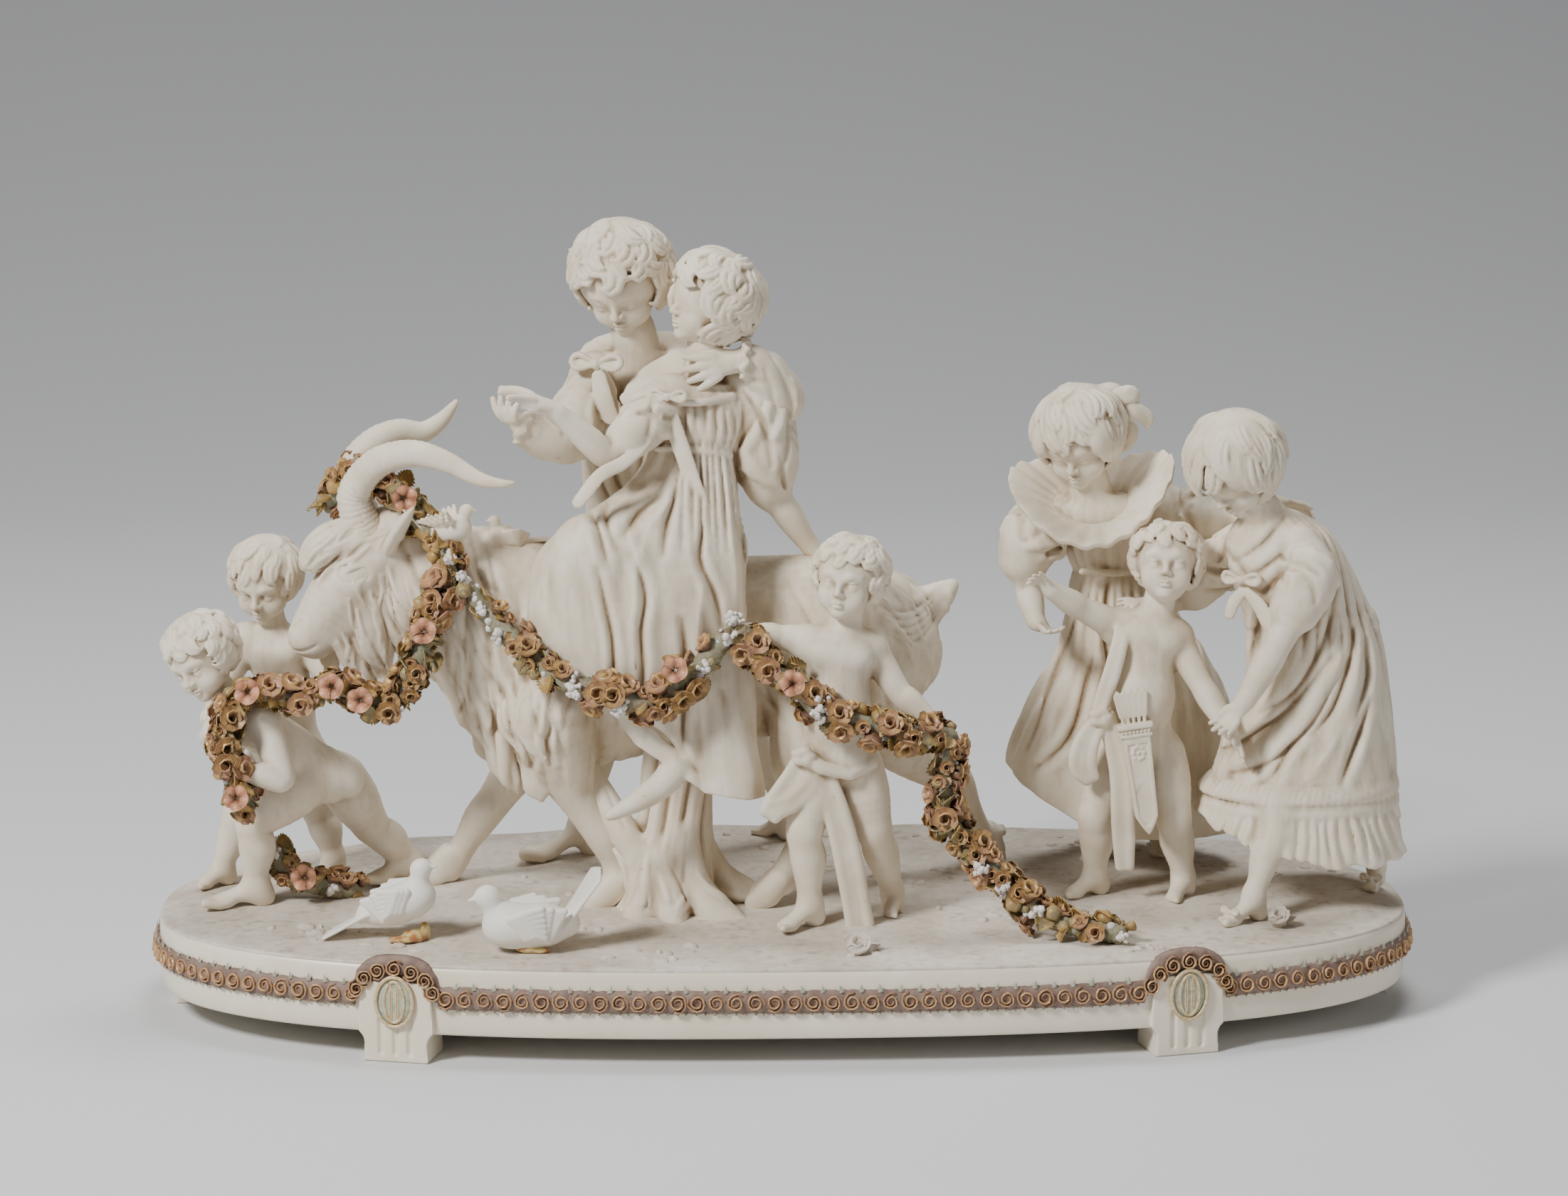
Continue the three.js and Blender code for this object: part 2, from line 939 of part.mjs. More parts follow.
// The girl with the ruffled collar, whose skirt blows to the left.
function ruffleGirl() {
  return [
    ...head({
      at: [149, 22, 281],
      face: [-0.35, -0.82, -0.4],
      up: [-0.1, 0, 1],
      size: 25,
    }),
    limb([
      [166, 28, 288, 9],
      [182, 34, 293, 6],
    ]),
    limb([
      [157, 26, 262, 9],
      [162, 34, 248, 9],
    ]),
    limb(
      [
        [163, 41, 244, 14, 12],
        [162.4, 38.6, 247.2, 31, 24],
        [161.8, 36.2, 250.4, 45, 34],
      ],
      { sides: 14, wave: folds(7, 0.07), round: 0.1, across: [1, 0, 0.2] },
    ),
    limb(
      [
        [163, 35, 248, 22, 13],
        [166, 38, 232, 22, 15],
        [169, 44, 206, 17, 14],
      ],
      { sides: 8 },
    ),
    limb(
      [
        [170, 46, 208, 18, 14],
        [177, 49, 188, 31, 22],
        [183, 52, 164, 43, 30],
        [184, 54, 136, 54, 36],
        [180, 54, 112, 58, 40],
        [179, 54, 92, 58, 40],
      ],
      { sides: 16, wave: folds(8, 0.045), round: 0.1 },
    ),
    arm({
      sleeve: [
        [138, 34, 240, 11],
        [126, 29, 228, 16],
        [124, 27, 214, 11],
      ],
      elbow: [125, 25, 204],
      wrist: [127, 14, 190],
      tips: [134, 0, 182],
      size: 7.5,
      across: [1, 0, 0],
    }),
    arm({
      sleeve: [
        [188, 38, 242, 12],
        [204, 38, 236, 14],
        [218, 34, 236, 10],
      ],
      elbow: [230, 32, 236],
      wrist: [254, 24, 246],
      tips: [268, 12, 244],
      size: 7.5,
    }),
    leg({
      hip: [168, 58, 100],
      knee: [170, 60, 86],
      ankle: [171, 61, 64],
      toes: [158, 46],
      size: 11,
    }),
  ];
}

// The girl at the right, who bends down to the quiver putto.
function bendingGirl() {
  return [
    ...head({
      at: [222, -22, 271],
      face: [-0.62, -0.45, -0.62],
      up: [-0.5, -0.2, 1],
      size: 25,
    }),
    limb([
      [232, -16, 252, 9],
      [240, -14, 240, 10],
    ]),
    limb(
      [
        [239, -14, 245, 18, 13],
        [248, -13, 231, 28, 27],
        [256, -12, 212, 30, 30],
        [264, -12, 194, 30, 25],
      ],
      { sides: 8, across: [0.3, -1, 0] },
    ),
    limb(
      [
        [262, -13, 204, 26, 21],
        [266, -12, 190, 34, 23],
        [268, -12, 166, 37, 26],
        [266, -10, 138, 43, 33],
        [260, -9, 103, 50, 38],
        [260, -9, 98, 54, 41],
        [259, -10, 82, 55, 43],
      ],
      { sides: 16, wave: folds(8, 0.045), round: 0.1 },
    ),
    arm({
      sleeve: [
        [256, -30, 232, 11],
        [258, -36, 218, 15],
        [252, -41, 204, 11],
      ],
      elbow: [241, -46, 186],
      wrist: [226, -48, 160],
      tips: [217, -48, 146],
      size: 7.5,
    }),
    arm({
      sleeve: [
        [230, 6, 228, 11],
        [218, 12, 216, 14],
        [208, 12, 206, 10],
      ],
      elbow: [200, 12, 200],
      wrist: [184, 4, 198],
      tips: [172, -2, 202],
      size: 7,
    }),
    ball([228, -27, 220], [10, 8, 8]),
    leg({
      hip: [246, -36, 112],
      knee: [243, -46, 92],
      ankle: [231, -54, 62],
      toes: [214, -67],
      size: 11,
    }),
    leg({
      hip: [280, 6, 112],
      knee: [292, 8, 86],
      ankle: [303, 6, 62],
      toes: [300, -6],
      size: 11,
    }),
  ];
}

// A strand of the garland: a knobbly rope of leaves and roses.
function strand(route) {
  return limb(
    route.map(([x, y, z, share], i) => [
      x,
      y,
      z,
      GARLAND_RADIUS * share * (i % 2 ? 1.1 : 0.92),
    ]),
    { across: [0, 1, 0.2] },
  );
}

// An open blossom: a shallow cup on the garland.
function blossom([x, y, z]) {
  return ball([x, y - 4, z], [BLOSSOM_RADIUS, 6, BLOSSOM_RADIUS], {
    front: [0, -1, 0.1],
    sides: 6,
    rows: 1,
  });
}

function garland() {
  const overHorns = [
    [-228, 0, 249, 0.8],
    [-222, -3, 260, 1],
    [-213, -4, 272, 1],
    [-200, -8, 266, 0.9],
    [-189, -18, 259, 1.1],
    [-180, -26, 248, 1],
    [-169, -29, 236, 1],
    [-166, -32, 222, 1.1],
    [-174, -34, 210, 1],
    [-178, -36, 196, 1.1],
    [-181, -38, 183, 1],
    [-186, -37, 170, 1],
    [-194, -34, 158, 1],
    [-209, -33, 161, 1.1],
    [-224, -33, 167, 1],
    [-240, -33, 162, 1],
    [-264, -35, 165, 1.1],
    [-275, -40, 154, 1],
    [-278, -42, 138, 0.9],
    [-270, -42, 116, 1],
    [-267, -40, 104, 0.7],
  ];
  const acrossLap = [
    [-162, -34, 220, 0.9],
    [-151, -37, 208, 1],
    [-140, -42, 198, 1.1],
    [-125, -53, 184, 1.1],
    [-108, -62, 175, 1],
    [-84, -67, 168, 1],
    [-66, -68, 166, 1.1],
    [-54, -67, 172, 1.1],
    [-40, -62, 185, 1],
    [-28, -57, 199, 0.9],
  ];
  const toTheGround = [
    [-27, -57, 200, 1],
    [-18, -60, 192, 1],
    [-8, -64, 180, 1.1],
    [4, -68, 173, 1],
    [18, -72, 159, 1],
    [32, -73, 156, 0.9],
    [48, -72, 151, 0.9],
    [66, -68, 147, 0.9],
    [79, -64, 145, 0.9],
    [77, -66, 130, 0.9],
    [76, -67, 112, 0.9],
    [84, -69, 97, 0.9],
    [98, -72, 83, 0.9],
    [113, -77, 67, 0.9],
    [128, -82, 59, 0.9],
    [142, -87, 54, 0.9],
    [154, -91, 54, 0.9],
    [165, -94, 52, 0.7],
  ];
  const cluster = [
    [-263, 0, 82, 0.6],
    [-256, -4, 72, 1],
    [-242, -6, 62, 1.3],
    [-226, -2, 56, 1],
    [-214, 4, 54, 0.6],
  ];
  const open = [
    [-189, -22, 260],
    [-178, -40, 196],
    [-224, -37, 168],
    [-210, -37, 161],
    [-265, -39, 166],
    [-271, -46, 114],
    [-55, -71, 182],
    [2, -71, 175],
    [-241, -12, 65],
  ];
  return [
    strand(overHorns),
    strand(acrossLap),
    strand(toTheGround),
    strand(cluster),
    ...open.map(blossom),
  ];
}

// A dove: body with its tail, head and two wings, placed at its breast and turned to face along "face".
function dove({ at, face, size, tailRise = 0.1, wingRise = 0.1, wingSpread = 0.5 }) {
  const f = vec(face).normalize();
  const s = new THREE.Vector3().crossVectors(f, new THREE.Vector3(0, 0, 1)).normalize();
  const u = new THREE.Vector3().crossVectors(s, f);
  const place = (front, side, high) =>
    vec(at)
      .addScaledVector(f, front * size)
      .addScaledVector(s, side * size)
      .addScaledVector(u, high * size)
      .toArray();
  const across = s.toArray();
  const wings = [-1, 1].map((side) => {
    const feathers = [
      [0.35, 0.4, 0.15, 0.3, 0.12],
      [-0.4, 0.4 + wingSpread * 0.5, 0.2 + wingRise * 0.6, 0.36, 0.1],
      [-1.1, 0.4 + wingSpread, 0.2 + wingRise, 0.12, 0.05],
    ];
    return limb(
      feathers.map(([front, out, high, wide, deep]) => [
        ...place(front, side * out, high),
        wide * size,
        deep * size,
      ]),
      { across: u.clone().addScaledVector(s, -side).toArray() },
    );
  });
  return [
    limb(
      [
        [...place(0.95, 0, 0.62), 0.24 * size],
        [...place(0.8, 0, 0.45), 0.28 * size],
        [...place(0.45, 0, 0.05), 0.48 * size],
        [...place(-0.2, 0, 0), 0.46 * size],
        [...place(-0.9, 0, tailRise * 0.4), 0.2 * size, 0.16 * size],
        [...place(-1.8, 0, tailRise), 0.34 * size, 0.08 * size],
      ],
      { across, sides: 8 },
    ),
    limb(
      [
        [...place(0.95, 0, 0.62), 0.14 * size],
        [...place(1.35, 0, 0.54), 0.03 * size],
      ],
      { sides: 4 },
    ),
    ...wings,
  ];
}

function roses() {
  return [
    ball([244, -66, 53], [9, 7, 5], { wave: curls(0.12) }),
    ball([34, -106, 51], [11, 9, 6], { wave: curls(0.12) }),
  ];
}

// Joined solids as one mesh. Pockets that the joins close off inside are filled.
function join(solids) {
  const bodies = wasm.Manifold.union(solids)
    .decompose()
    .filter((body) => body.volume() > 0);
  if (bodies.length > 1)
    throw new Error(
      "loose pieces at " +
        bodies
          .map((body) => body.boundingBox().min.map(Math.round).join(" "))
          .join(", "),
    );
  return bodies[0];
}

function meshOf(name, made, finish) {
  const { vertProperties, triVerts } = made.getMesh();
  const geometry = new THREE.BufferGeometry();
  geometry.setAttribute("position", new THREE.BufferAttribute(vertProperties, 3));
  geometry.setIndex(new THREE.BufferAttribute(triVerts, 1));
  geometry.computeVertexNormals();
  const mesh = new THREE.Mesh(geometry, new THREE.MeshStandardMaterial(finish));
  mesh.name = name;
  return mesh;
}

const neckDove = dove({
  at: [-167, -28, 245],
  face: [0.9, -0.15, 0.1],
  size: 13,
  wingRise: 1.4,
  wingSpread: 0.5,
});
const backDove = dove({ at: [-138, -6, 236], face: [-0.8, -0.5, 0.1], size: 11, tailRise: 0.4 });
const leftDove = dove({ at: [-188, -76, 64], face: [0.95, -0.2, 0.15], size: 19, tailRise: -0.1 });
const rightDove = dove({
  at: [-128, -97, 61],
  face: [-0.96, -0.15, 0.12],
  size: 22,
  tailRise: 1.7,
  wingSpread: 0.7,
});

const figures = join([
  ...plinth(),
  ...goat(),
  ...stump(),
  ...ridingGirl(),
  ...sailorBoy(),
  ...haulingPutto(),
  ...beardPutto(),
  ...garlandPutto(),
  ...quiverPutto(),
  ...ruffleGirl(),
  ...bendingGirl(),
  ...garland(),
  ...neckDove,
  ...backDove,
  ...roses(),
]);

const group = new THREE.Group();
group.add(meshOf("figure_group", figures, bisque));
group.add(meshOf("ground_dove_left", join(leftDove), bisque));
group.add(meshOf("ground_dove_right", join(rightDove), bisque));

export default group;
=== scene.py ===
# Porcelain figure group on an oval plinth: children and putti with a walking goat, tied together by a
# garland. Every piece is modelled in millimetres in the frame of the solids, and set down in metres.
import math
from itertools import product

import bpy
import numpy as np
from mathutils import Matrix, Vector


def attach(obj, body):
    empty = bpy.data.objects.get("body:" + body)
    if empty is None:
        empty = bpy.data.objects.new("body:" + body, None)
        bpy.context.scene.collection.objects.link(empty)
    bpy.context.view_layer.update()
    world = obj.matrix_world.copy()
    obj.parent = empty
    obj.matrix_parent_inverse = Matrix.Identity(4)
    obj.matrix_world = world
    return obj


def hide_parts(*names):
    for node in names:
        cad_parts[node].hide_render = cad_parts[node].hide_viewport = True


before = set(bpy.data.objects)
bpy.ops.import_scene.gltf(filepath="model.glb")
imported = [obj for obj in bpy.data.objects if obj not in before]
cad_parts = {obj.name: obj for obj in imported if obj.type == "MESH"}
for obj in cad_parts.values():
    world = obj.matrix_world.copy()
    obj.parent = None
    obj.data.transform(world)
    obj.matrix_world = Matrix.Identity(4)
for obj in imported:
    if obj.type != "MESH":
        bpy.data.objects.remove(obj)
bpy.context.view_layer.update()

# ---------------------------------------------------------------------------------------------------
# Studio: a pale floor that fades into a pale room, a large soft light over the left shoulder of the
# camera, a weaker one at the right, and a long lens a little above the plinth.
MM = 0.001
CAMERA_AIM = Vector((0, 0, 204)) * MM
CAMERA_DISTANCE = 2.3
CAMERA_LENS = 105.2
CAMERA_RISE = math.radians(10.5)
CAMERA_TURN = math.radians(-2)


def aimed(made, place, aim=CAMERA_AIM):
    thing = bpy.data.objects.new(made.name, made)
    thing.location = place
    thing.rotation_euler = (aim - Vector(place)).to_track_quat("-Z", "Y").to_euler()
    bpy.context.scene.collection.objects.link(thing)
    return thing


lens = bpy.data.cameras.new("camera")
lens.sensor_width = 36
lens.lens = CAMERA_LENS
lens.clip_end = 50
towards = Vector(
    (
        math.sin(CAMERA_TURN) * math.cos(CAMERA_RISE),
        -math.cos(CAMERA_TURN) * math.cos(CAMERA_RISE),
        math.sin(CAMERA_RISE),
    )
)
bpy.context.scene.camera = aimed(lens, CAMERA_AIM + CAMERA_DISTANCE * towards)

for name, place, width, watts in (
    ("key_light", (-1.6, -1.5, 1.9), 0.6, 92),
    ("fill_light", (1.9, -1.4, 0.9), 1.2, 9),
    ("top_light", (0.3, 0.5, 2.2), 1.0, 30),
):
    lamp = bpy.data.lights.new(name, "AREA")
    lamp.size = width
    lamp.energy = watts
    aimed(lamp, place, Vector((0, 0, 0.15)))

room = bpy.data.worlds.new("room")
room.use_nodes = True
room.node_tree.nodes["Background"].inputs["Color"].default_value = (0.86, 0.88, 0.92, 1)
room.node_tree.nodes["Background"].inputs["Strength"].default_value = 0.1
bpy.context.scene.world = room


class Wire:
    """A socket in a finish. Sums and products of wires add Math nodes, and node() adds any other."""

    def __init__(self, tree, socket=None):
        self.tree = tree
        self.socket = socket

    def node(self, kind, settings, values, output=0):
        made = self.tree.nodes.new(kind)
        for name, value in settings.items():
            if name != "stops":
                setattr(made, name, value)
                continue
            ramp = made.color_ramp.elements
            while len(ramp) < len(value):
                ramp.new(0.5)
            for stop, (place, colour) in zip(ramp, value):
                stop.position = place
                stop.color = (*colour, 1)
        for name, value in values.items():
            if isinstance(value, Wire):
                self.tree.links.new(value.socket, made.inputs[name])
            else:
                made.inputs[name].default_value = value
        return Wire(self.tree, made.outputs[output])

    def maths(self, operation, first, second):
        return self.node("ShaderNodeMath", {"operation": operation}, {0: first, 1: second})

    def __add__(self, other):
        return self.maths("ADD", self, other)

    def __sub__(self, other):
        return self.maths("SUBTRACT", self, other)

    def __rsub__(self, other):
        return self.maths("SUBTRACT", other, self)

    def __mul__(self, other):
        return self.maths("MULTIPLY", self, other)

    __radd__ = __add__
    __rmul__ = __mul__

    def band(self, low, high):
        """0 below low, 1 above high."""
        return self.node(
            "ShaderNodeMapRange", {"clamp": True}, {"Value": self, "From Min": low, "From Max": high}
        )

    def tint(self, colour, other):
        """From colour to other as this goes from 0 to 1. Either may be a wire."""
        sides = {
            side: value if isinstance(value, Wire) else (*value, 1)
            for side, value in ((6, colour), (7, other))
        }
        return self.node("ShaderNodeMix", {"data_type": "RGBA"}, {0: self, **sides}, 2)

    def between(self, low, high):
        """From low to high as this goes from 0 to 1."""
        return self.node("ShaderNodeMapRange", {}, {"Value": self, "To Min": low, "To Max": high})

    def place(self):
        return self.node("ShaderNodeTexCoord", {}, {}, "Object")

    def noise(self, millimetres, detail=3.0, tall=1.0):
        """Cloudy noise from 0 to 1, of this grain, so many times as tall as wide."""
        place = self.node("ShaderNodeVectorMath", {"operation": "MULTIPLY"},
            {0: self.place(), 1: (1, 1, 1 / tall)})
        return self.node(
            "ShaderNodeTexNoise",
            {},
            {"Vector": place, "Scale": 1000 / millimetres, "Detail": detail},
        )

    def mark(self, name):
        """A number painted on the mesh, point by point."""
        return self.node("ShaderNodeAttribute", {"attribute_name": name}, {}, "Fac")


def finish(name, paint, roughness=0.6, **constants):
    """A material. paint(wire) gives what varies over the surface, by the shader's socket names."""
    made = bpy.data.materials.new(name)
    made.use_nodes = True
    shader = made.node_tree.nodes["Principled BSDF"]
    shader.inputs["Roughness"].default_value = roughness
    for socket, value in constants.items():
        shader.inputs[socket.replace("_", " ")].default_value = value
    for socket, value in paint(Wire(made.node_tree)).items():
        made.node_tree.links.new(value.socket, shader.inputs[socket])
    return made


def piece_of(name, points, faces, material, smooth=True):
    """An object from points in millimetres and faces of four corners. One whose last corner is its
    first is a triangle."""
    points, faces = np.asarray(points, float), np.asarray(faces, int)
    sides = np.where(faces[:, 0] == faces[:, -1], 3, 4)
    corners = faces.ravel()[(np.arange(4) < sides[:, None]).ravel()]
    mesh = bpy.data.meshes.new(name)
    mesh.vertices.add(len(points))
    mesh.vertices.foreach_set("co", (points * MM).ravel())
    mesh.loops.add(len(corners))
    mesh.loops.foreach_set("vertex_index", corners)
    mesh.polygons.add(len(faces))
    mesh.polygons.foreach_set("loop_start", np.cumsum(sides) - sides)
    mesh.polygons.foreach_set("use_smooth", np.full(len(faces), smooth))
    mesh.update(calc_edges=True)
    mesh.materials.append(material)
    made = bpy.data.objects.new(name, mesh)
    bpy.context.scene.collection.objects.link(made)
    return made


pale = finish("pale_floor", lambda wire: {"Base Color": wire.noise(900).tint((0.66, 0.665, 0.67),
    (0.69, 0.69, 0.70))}, 0.85)
# Half the floor's width, its front edge, where it turns up, that turn's radius, and the wall's top.
FLOOR_HALF, FLOOR_FRONT, FLOOR_BACK, WALL, WALL_TOP = 5000, -3600, 1500, 3200, 6000
profile = [(FLOOR_FRONT, 0), *((FLOOR_BACK + WALL * math.sin(a), WALL - WALL * math.cos(a))
    for a in np.linspace(0, math.pi / 2, 49)), (FLOOR_BACK + WALL, WALL_TOP)]
floor = piece_of(
    "floor",
    [(side * FLOOR_HALF, y, z) for y, z in profile for side in (-1, 1)],
    [(2 * i, 2 * i + 1, 2 * i + 3, 2 * i + 2) for i in range(len(profile) - 1)],
    pale,
)

# ---------------------------------------------------------------------------------------------------
# Oval plinth, cast hollow, with a smooth side of cream satin glaze. It is one piece with the ground
# above it and with its feet.
HALF_LENGTH, HALF_DEPTH, OVAL_POWER = 315, 137, 2.5
FOOT_X = 191


def oval(count, outset=0.0, share=1.0):
    """So many points round the plinth's outline, evenly spaced, and the way out at each of them."""
    angle = np.linspace(0, 2 * math.pi, 4001)
    bend = lambda v: np.sign(v) * np.abs(v) ** (2 / OVAL_POWER)
    x, y = HALF_LENGTH * bend(np.cos(angle)), HALF_DEPTH * bend(np.sin(angle))
    gone = np.concatenate([[0], np.cumsum(np.hypot(np.diff(x), np.diff(y)))])
    at = np.linspace(0, gone[-1], count, endpoint=False)
    x, y = np.interp(at, gone, x), np.interp(at, gone, y)
    out = np.stack([np.sign(x) * np.abs(x / HALF_LENGTH) ** (OVAL_POWER - 1) / HALF_LENGTH,
        np.sign(y) * np.abs(y / HALF_DEPTH) ** (OVAL_POWER - 1) / HALF_DEPTH], 1)
    out /= np.linalg.norm(out, axis=1)[:, None]
    return np.stack([x, y], 1) * share + out * outset, out


def stacked(rings):
    """Faces between rings with the same number of points, and a fan over both ends."""
    count = len(rings[0])
    points = np.concatenate([*rings, [rings[0].mean(0), rings[-1].mean(0)]])
    i = np.arange(count)
    j = (i + 1) % count
    faces = [np.stack([k * count + i, k * count + j, (k + 1) * count + j, (k + 1) * count + i], 1)
        for k in range(len(rings) - 1)]
    low, high = len(points) - 2, len(points) - 1
    last = (len(rings) - 1) * count
    faces.append(np.stack([np.full(count, low), j, i, np.full(count, low)], 1))
    faces.append(np.stack([np.full(count, high), last + i, last + j, np.full(count, high)], 1))
    return points, np.concatenate(faces)


def level(height, outset, count=360):
    """A level ring of points round the plinth, so far outside its outline."""
    place, _ = oval(count, outset)
    return np.column_stack([place, np.broadcast_to(height, count)])


def placed(made, node="figure_group"):
    """This piece, as part of the group that stands for a node of the solids."""
    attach(made, "root")
    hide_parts(node)
    return made


def bumps(height, millimetres, strength=1.0):
    """The Normal of a surface raised by this wire, from 0 to 1, as far as so many millimetres."""
    return height.node("ShaderNodeBump", {}, {"Height": height, "Distance": millimetres * MM,
        "Strength": strength})


def cream(wire):
    cloudy = wire.noise(60)
    streak = wire.noise(9)
    colour = (0.3 * streak + cloudy * 0.7).band(0.35, 0.65).tint((0.79, 0.69, 0.52), (0.86, 0.79, 0.645))
    return {"Base Color": colour, "Roughness": streak.between(0.3, 0.42),
        "Normal": bumps(wire.noise(24), 0.25, 0.4)}


satin = finish("cream_satin_glaze", cream, Coat_Weight=0.25, Coat_Roughness=0.3)
profile = [(15.5, -16), (14.2, -9), (13.5, -5), (13.5, -2.6), (13.9, -1.3), (15, -0.6), (20, -0.2),
    (27, 0), (38, 0), (44, -0.1), (46.6, -0.5), (47.4, -1.6), (47.2, -4)]
points, faces = stacked([level(height, outset) for height, outset in profile])
placed(piece_of("plinth_side", points, faces, satin))

# ---------------------------------------------------------------------------------------------------
# Four main feet, each with three flutes in front, and a plain wedge under each end of the plinth.
# They are cast from modelled pieces: the clay is built up here from rolls, lumps and blocks, and
# dented where it is hollow.
def unit(way):
    return np.asarray(way, float) / np.linalg.norm(way)


def curve(points, steps=4):
    """More points on a smooth line through these, with their radii and any other numbers."""
    points = np.asarray(points, float)
    ends = np.concatenate([[2 * points[0] - points[1]], points, [2 * points[-1] - points[-2]]])
    made = []
    for a, b, c, d in zip(ends, ends[1:], ends[2:], ends[3:]):
        for t in np.arange(steps) / steps:
            made.append(0.5 * (2 * b + (c - a) * t + (2 * a - 5 * b + 4 * c - d) * t**2
                + (3 * b - a - 3 * c + d) * t**3))
    return np.array(made + [points[-1]])


class Clay:
    """Clay on a grid of cells, in millimetres: how far each cell is from the surface, below 0 inside."""

    FAR = 9.0

    def __init__(self, low, high, cell):
        self.low, self.cell = np.array(low, float), cell
        size = np.ceil((np.array(high) - self.low) / cell).astype(int) + 1
        self.depth = np.full(size, self.FAR, np.float32)

    def window(self, low, high):
        """The part of the grid between two corners, and where its cells are along each axis."""
        size = np.array(self.depth.shape)
        first = np.floor((np.array(low) - self.low) / self.cell).astype(int)
        last = np.ceil((np.array(high) - self.low) / self.cell).astype(int) + 1
        first = np.clip(first, 0, size - 1)
        last = np.clip(last, first + 1, size)
        part = tuple(slice(a, b) for a, b in zip(first, last))
        grid = [(self.low[i] + self.cell * np.arange(first[i],
            last[i])) .astype(np.float32) .reshape([-1 if i == j else 1 for j in range(3)])
            for i in range(3)]
        return part, grid

    def whole(self):
        return self.window(self.low, self.low + self.cell * np.array(self.depth.shape))

    def put(self, part, depth, blend, dent=False):
        """Adds a shape to this part of the grid, or takes it away, rounded over so many millimetres."""
        old, depth = self.depth[part], np.asarray(depth, np.float32)
        if dent:
            share = np.clip(0.5 - 0.5 * (old + depth) / blend, 0, 1)
            self.depth[part] = old - share * (depth + old) + blend * share * (1 - share)
        else:
            share = np.clip(0.5 + 0.5 * (old - depth) / blend, 0, 1)
            self.depth[part] = old + share * (depth - old) - blend * share * (1 - share)

    def block(self, blend, *sides, dent=False):
        """Clay where all of these are below 0: how far it is outside each side of the block."""
        self.put(self.whole()[0], np.maximum.reduce(np.broadcast_arrays(*sides)), blend, dent)

    def reach(self, blend):
        return blend + 2 * self.cell + 1

    def roll(self, points, blend=2.5, flat=None, dent=False):
        """A roll through points [x, y, z, radius]. "flat" is a direction and how thin it is that way."""
        points = np.asarray(points, np.float32)
        spare = points[:, 3].max() + self.reach(blend)
        part, _ = self.window(points[:, :3].min(0) - spare, points[:, :3].max(0) + spare)
        made = np.full([s.stop - s.start for s in part], self.FAR + 2 * blend, np.float32)
        for a, b in zip(points[:-1], points[1:]):
            spare = max(a[3], b[3]) + self.reach(blend)
            ends = np.array([a[:3], b[:3]])
            inner, (x, y, z) = self.window(ends.min(0) - spare, ends.max(0) + spare)
            if any(i.start < p.start or i.stop > p.stop for i, p in zip(inner, part)):
                continue
            inner = tuple(slice(i.start - p.start, i.stop - p.start) for i, p in zip(inner, part))
            run = b[:3] - a[:3]
            gap = [x - a[0], y - a[1], z - a[2]]
            along = sum(g * r for g, r in zip(gap, run)) / max(1e-9, float(run @ run))
            along = np.clip(along, 0, 1)
            gap = [g - along * r for g, r in zip(gap, run)]
            radius = a[3] + along * (b[3] - a[3])
            if flat:
                way, thin = np.asarray(flat[0], float), flat[1]
                way = way - (way @ run) / max(1e-9, float(run @ run)) * run
                way /= np.linalg.norm(way) + 1e-6
                out = sum(g * w for g, w in zip(gap, way)) * (1 / thin - 1)
                gap = [g + out * w for g, w in zip(gap, way)]
                steep = sum(g * w for g, w in zip(gap, way)) * (1 / thin - 1)
                slope = np.sqrt(sum((g + steep * w) ** 2 for g, w in zip(gap, way)))
                size = np.sqrt(sum(g * g for g in gap)) + 1e-6
                far = (size - radius) * size / (slope + 1e-6)
            else:
                far = np.sqrt(sum(g * g for g in gap)) - radius
            np.minimum(made[inner], far, out=made[inner])
        self.put(part, made, blend, dent)

    def lump(self, at, radii, axes=np.eye(3), blend=2.5, dent=False, flutes=None, cut=None):
        """An ellipsoid. "flutes" swells it by the angle round its third axis, and "cut" leaves
        only what is below the plane (direction, distance) in its own directions."""
        radii, axes = np.asarray(radii, float), np.asarray(axes, float)
        spare = np.sqrt((radii[:, None] ** 2 * axes**2).sum(0)) * (1.15 if flutes
            else 1) + self.reach(blend)
        part, (x, y, z) = self.window(np.asarray(at) - spare, np.asarray(at) + spare)
        gap = (x - at[0], y - at[1], z - at[2])
        own = [sum(g * w for g, w in zip(gap, axis)) for axis in axes.astype(np.float32)]
        near = np.sqrt(sum((o / r) ** 2 for o, r in zip(own, radii)))
        steep = np.sqrt(sum((o / r**2) ** 2 for o, r in zip(own, radii))) + 1e-6
        swell = flutes(np.arctan2(own[1], own[0]), own[2] / radii[2]) if flutes else 1
        far = near * (near - swell) / steep
        if cut:
            far = np.maximum(far, sum(o * w for o, w in zip(own, cut[0])) - cut[1])
        self.put(part, far, blend, dent)

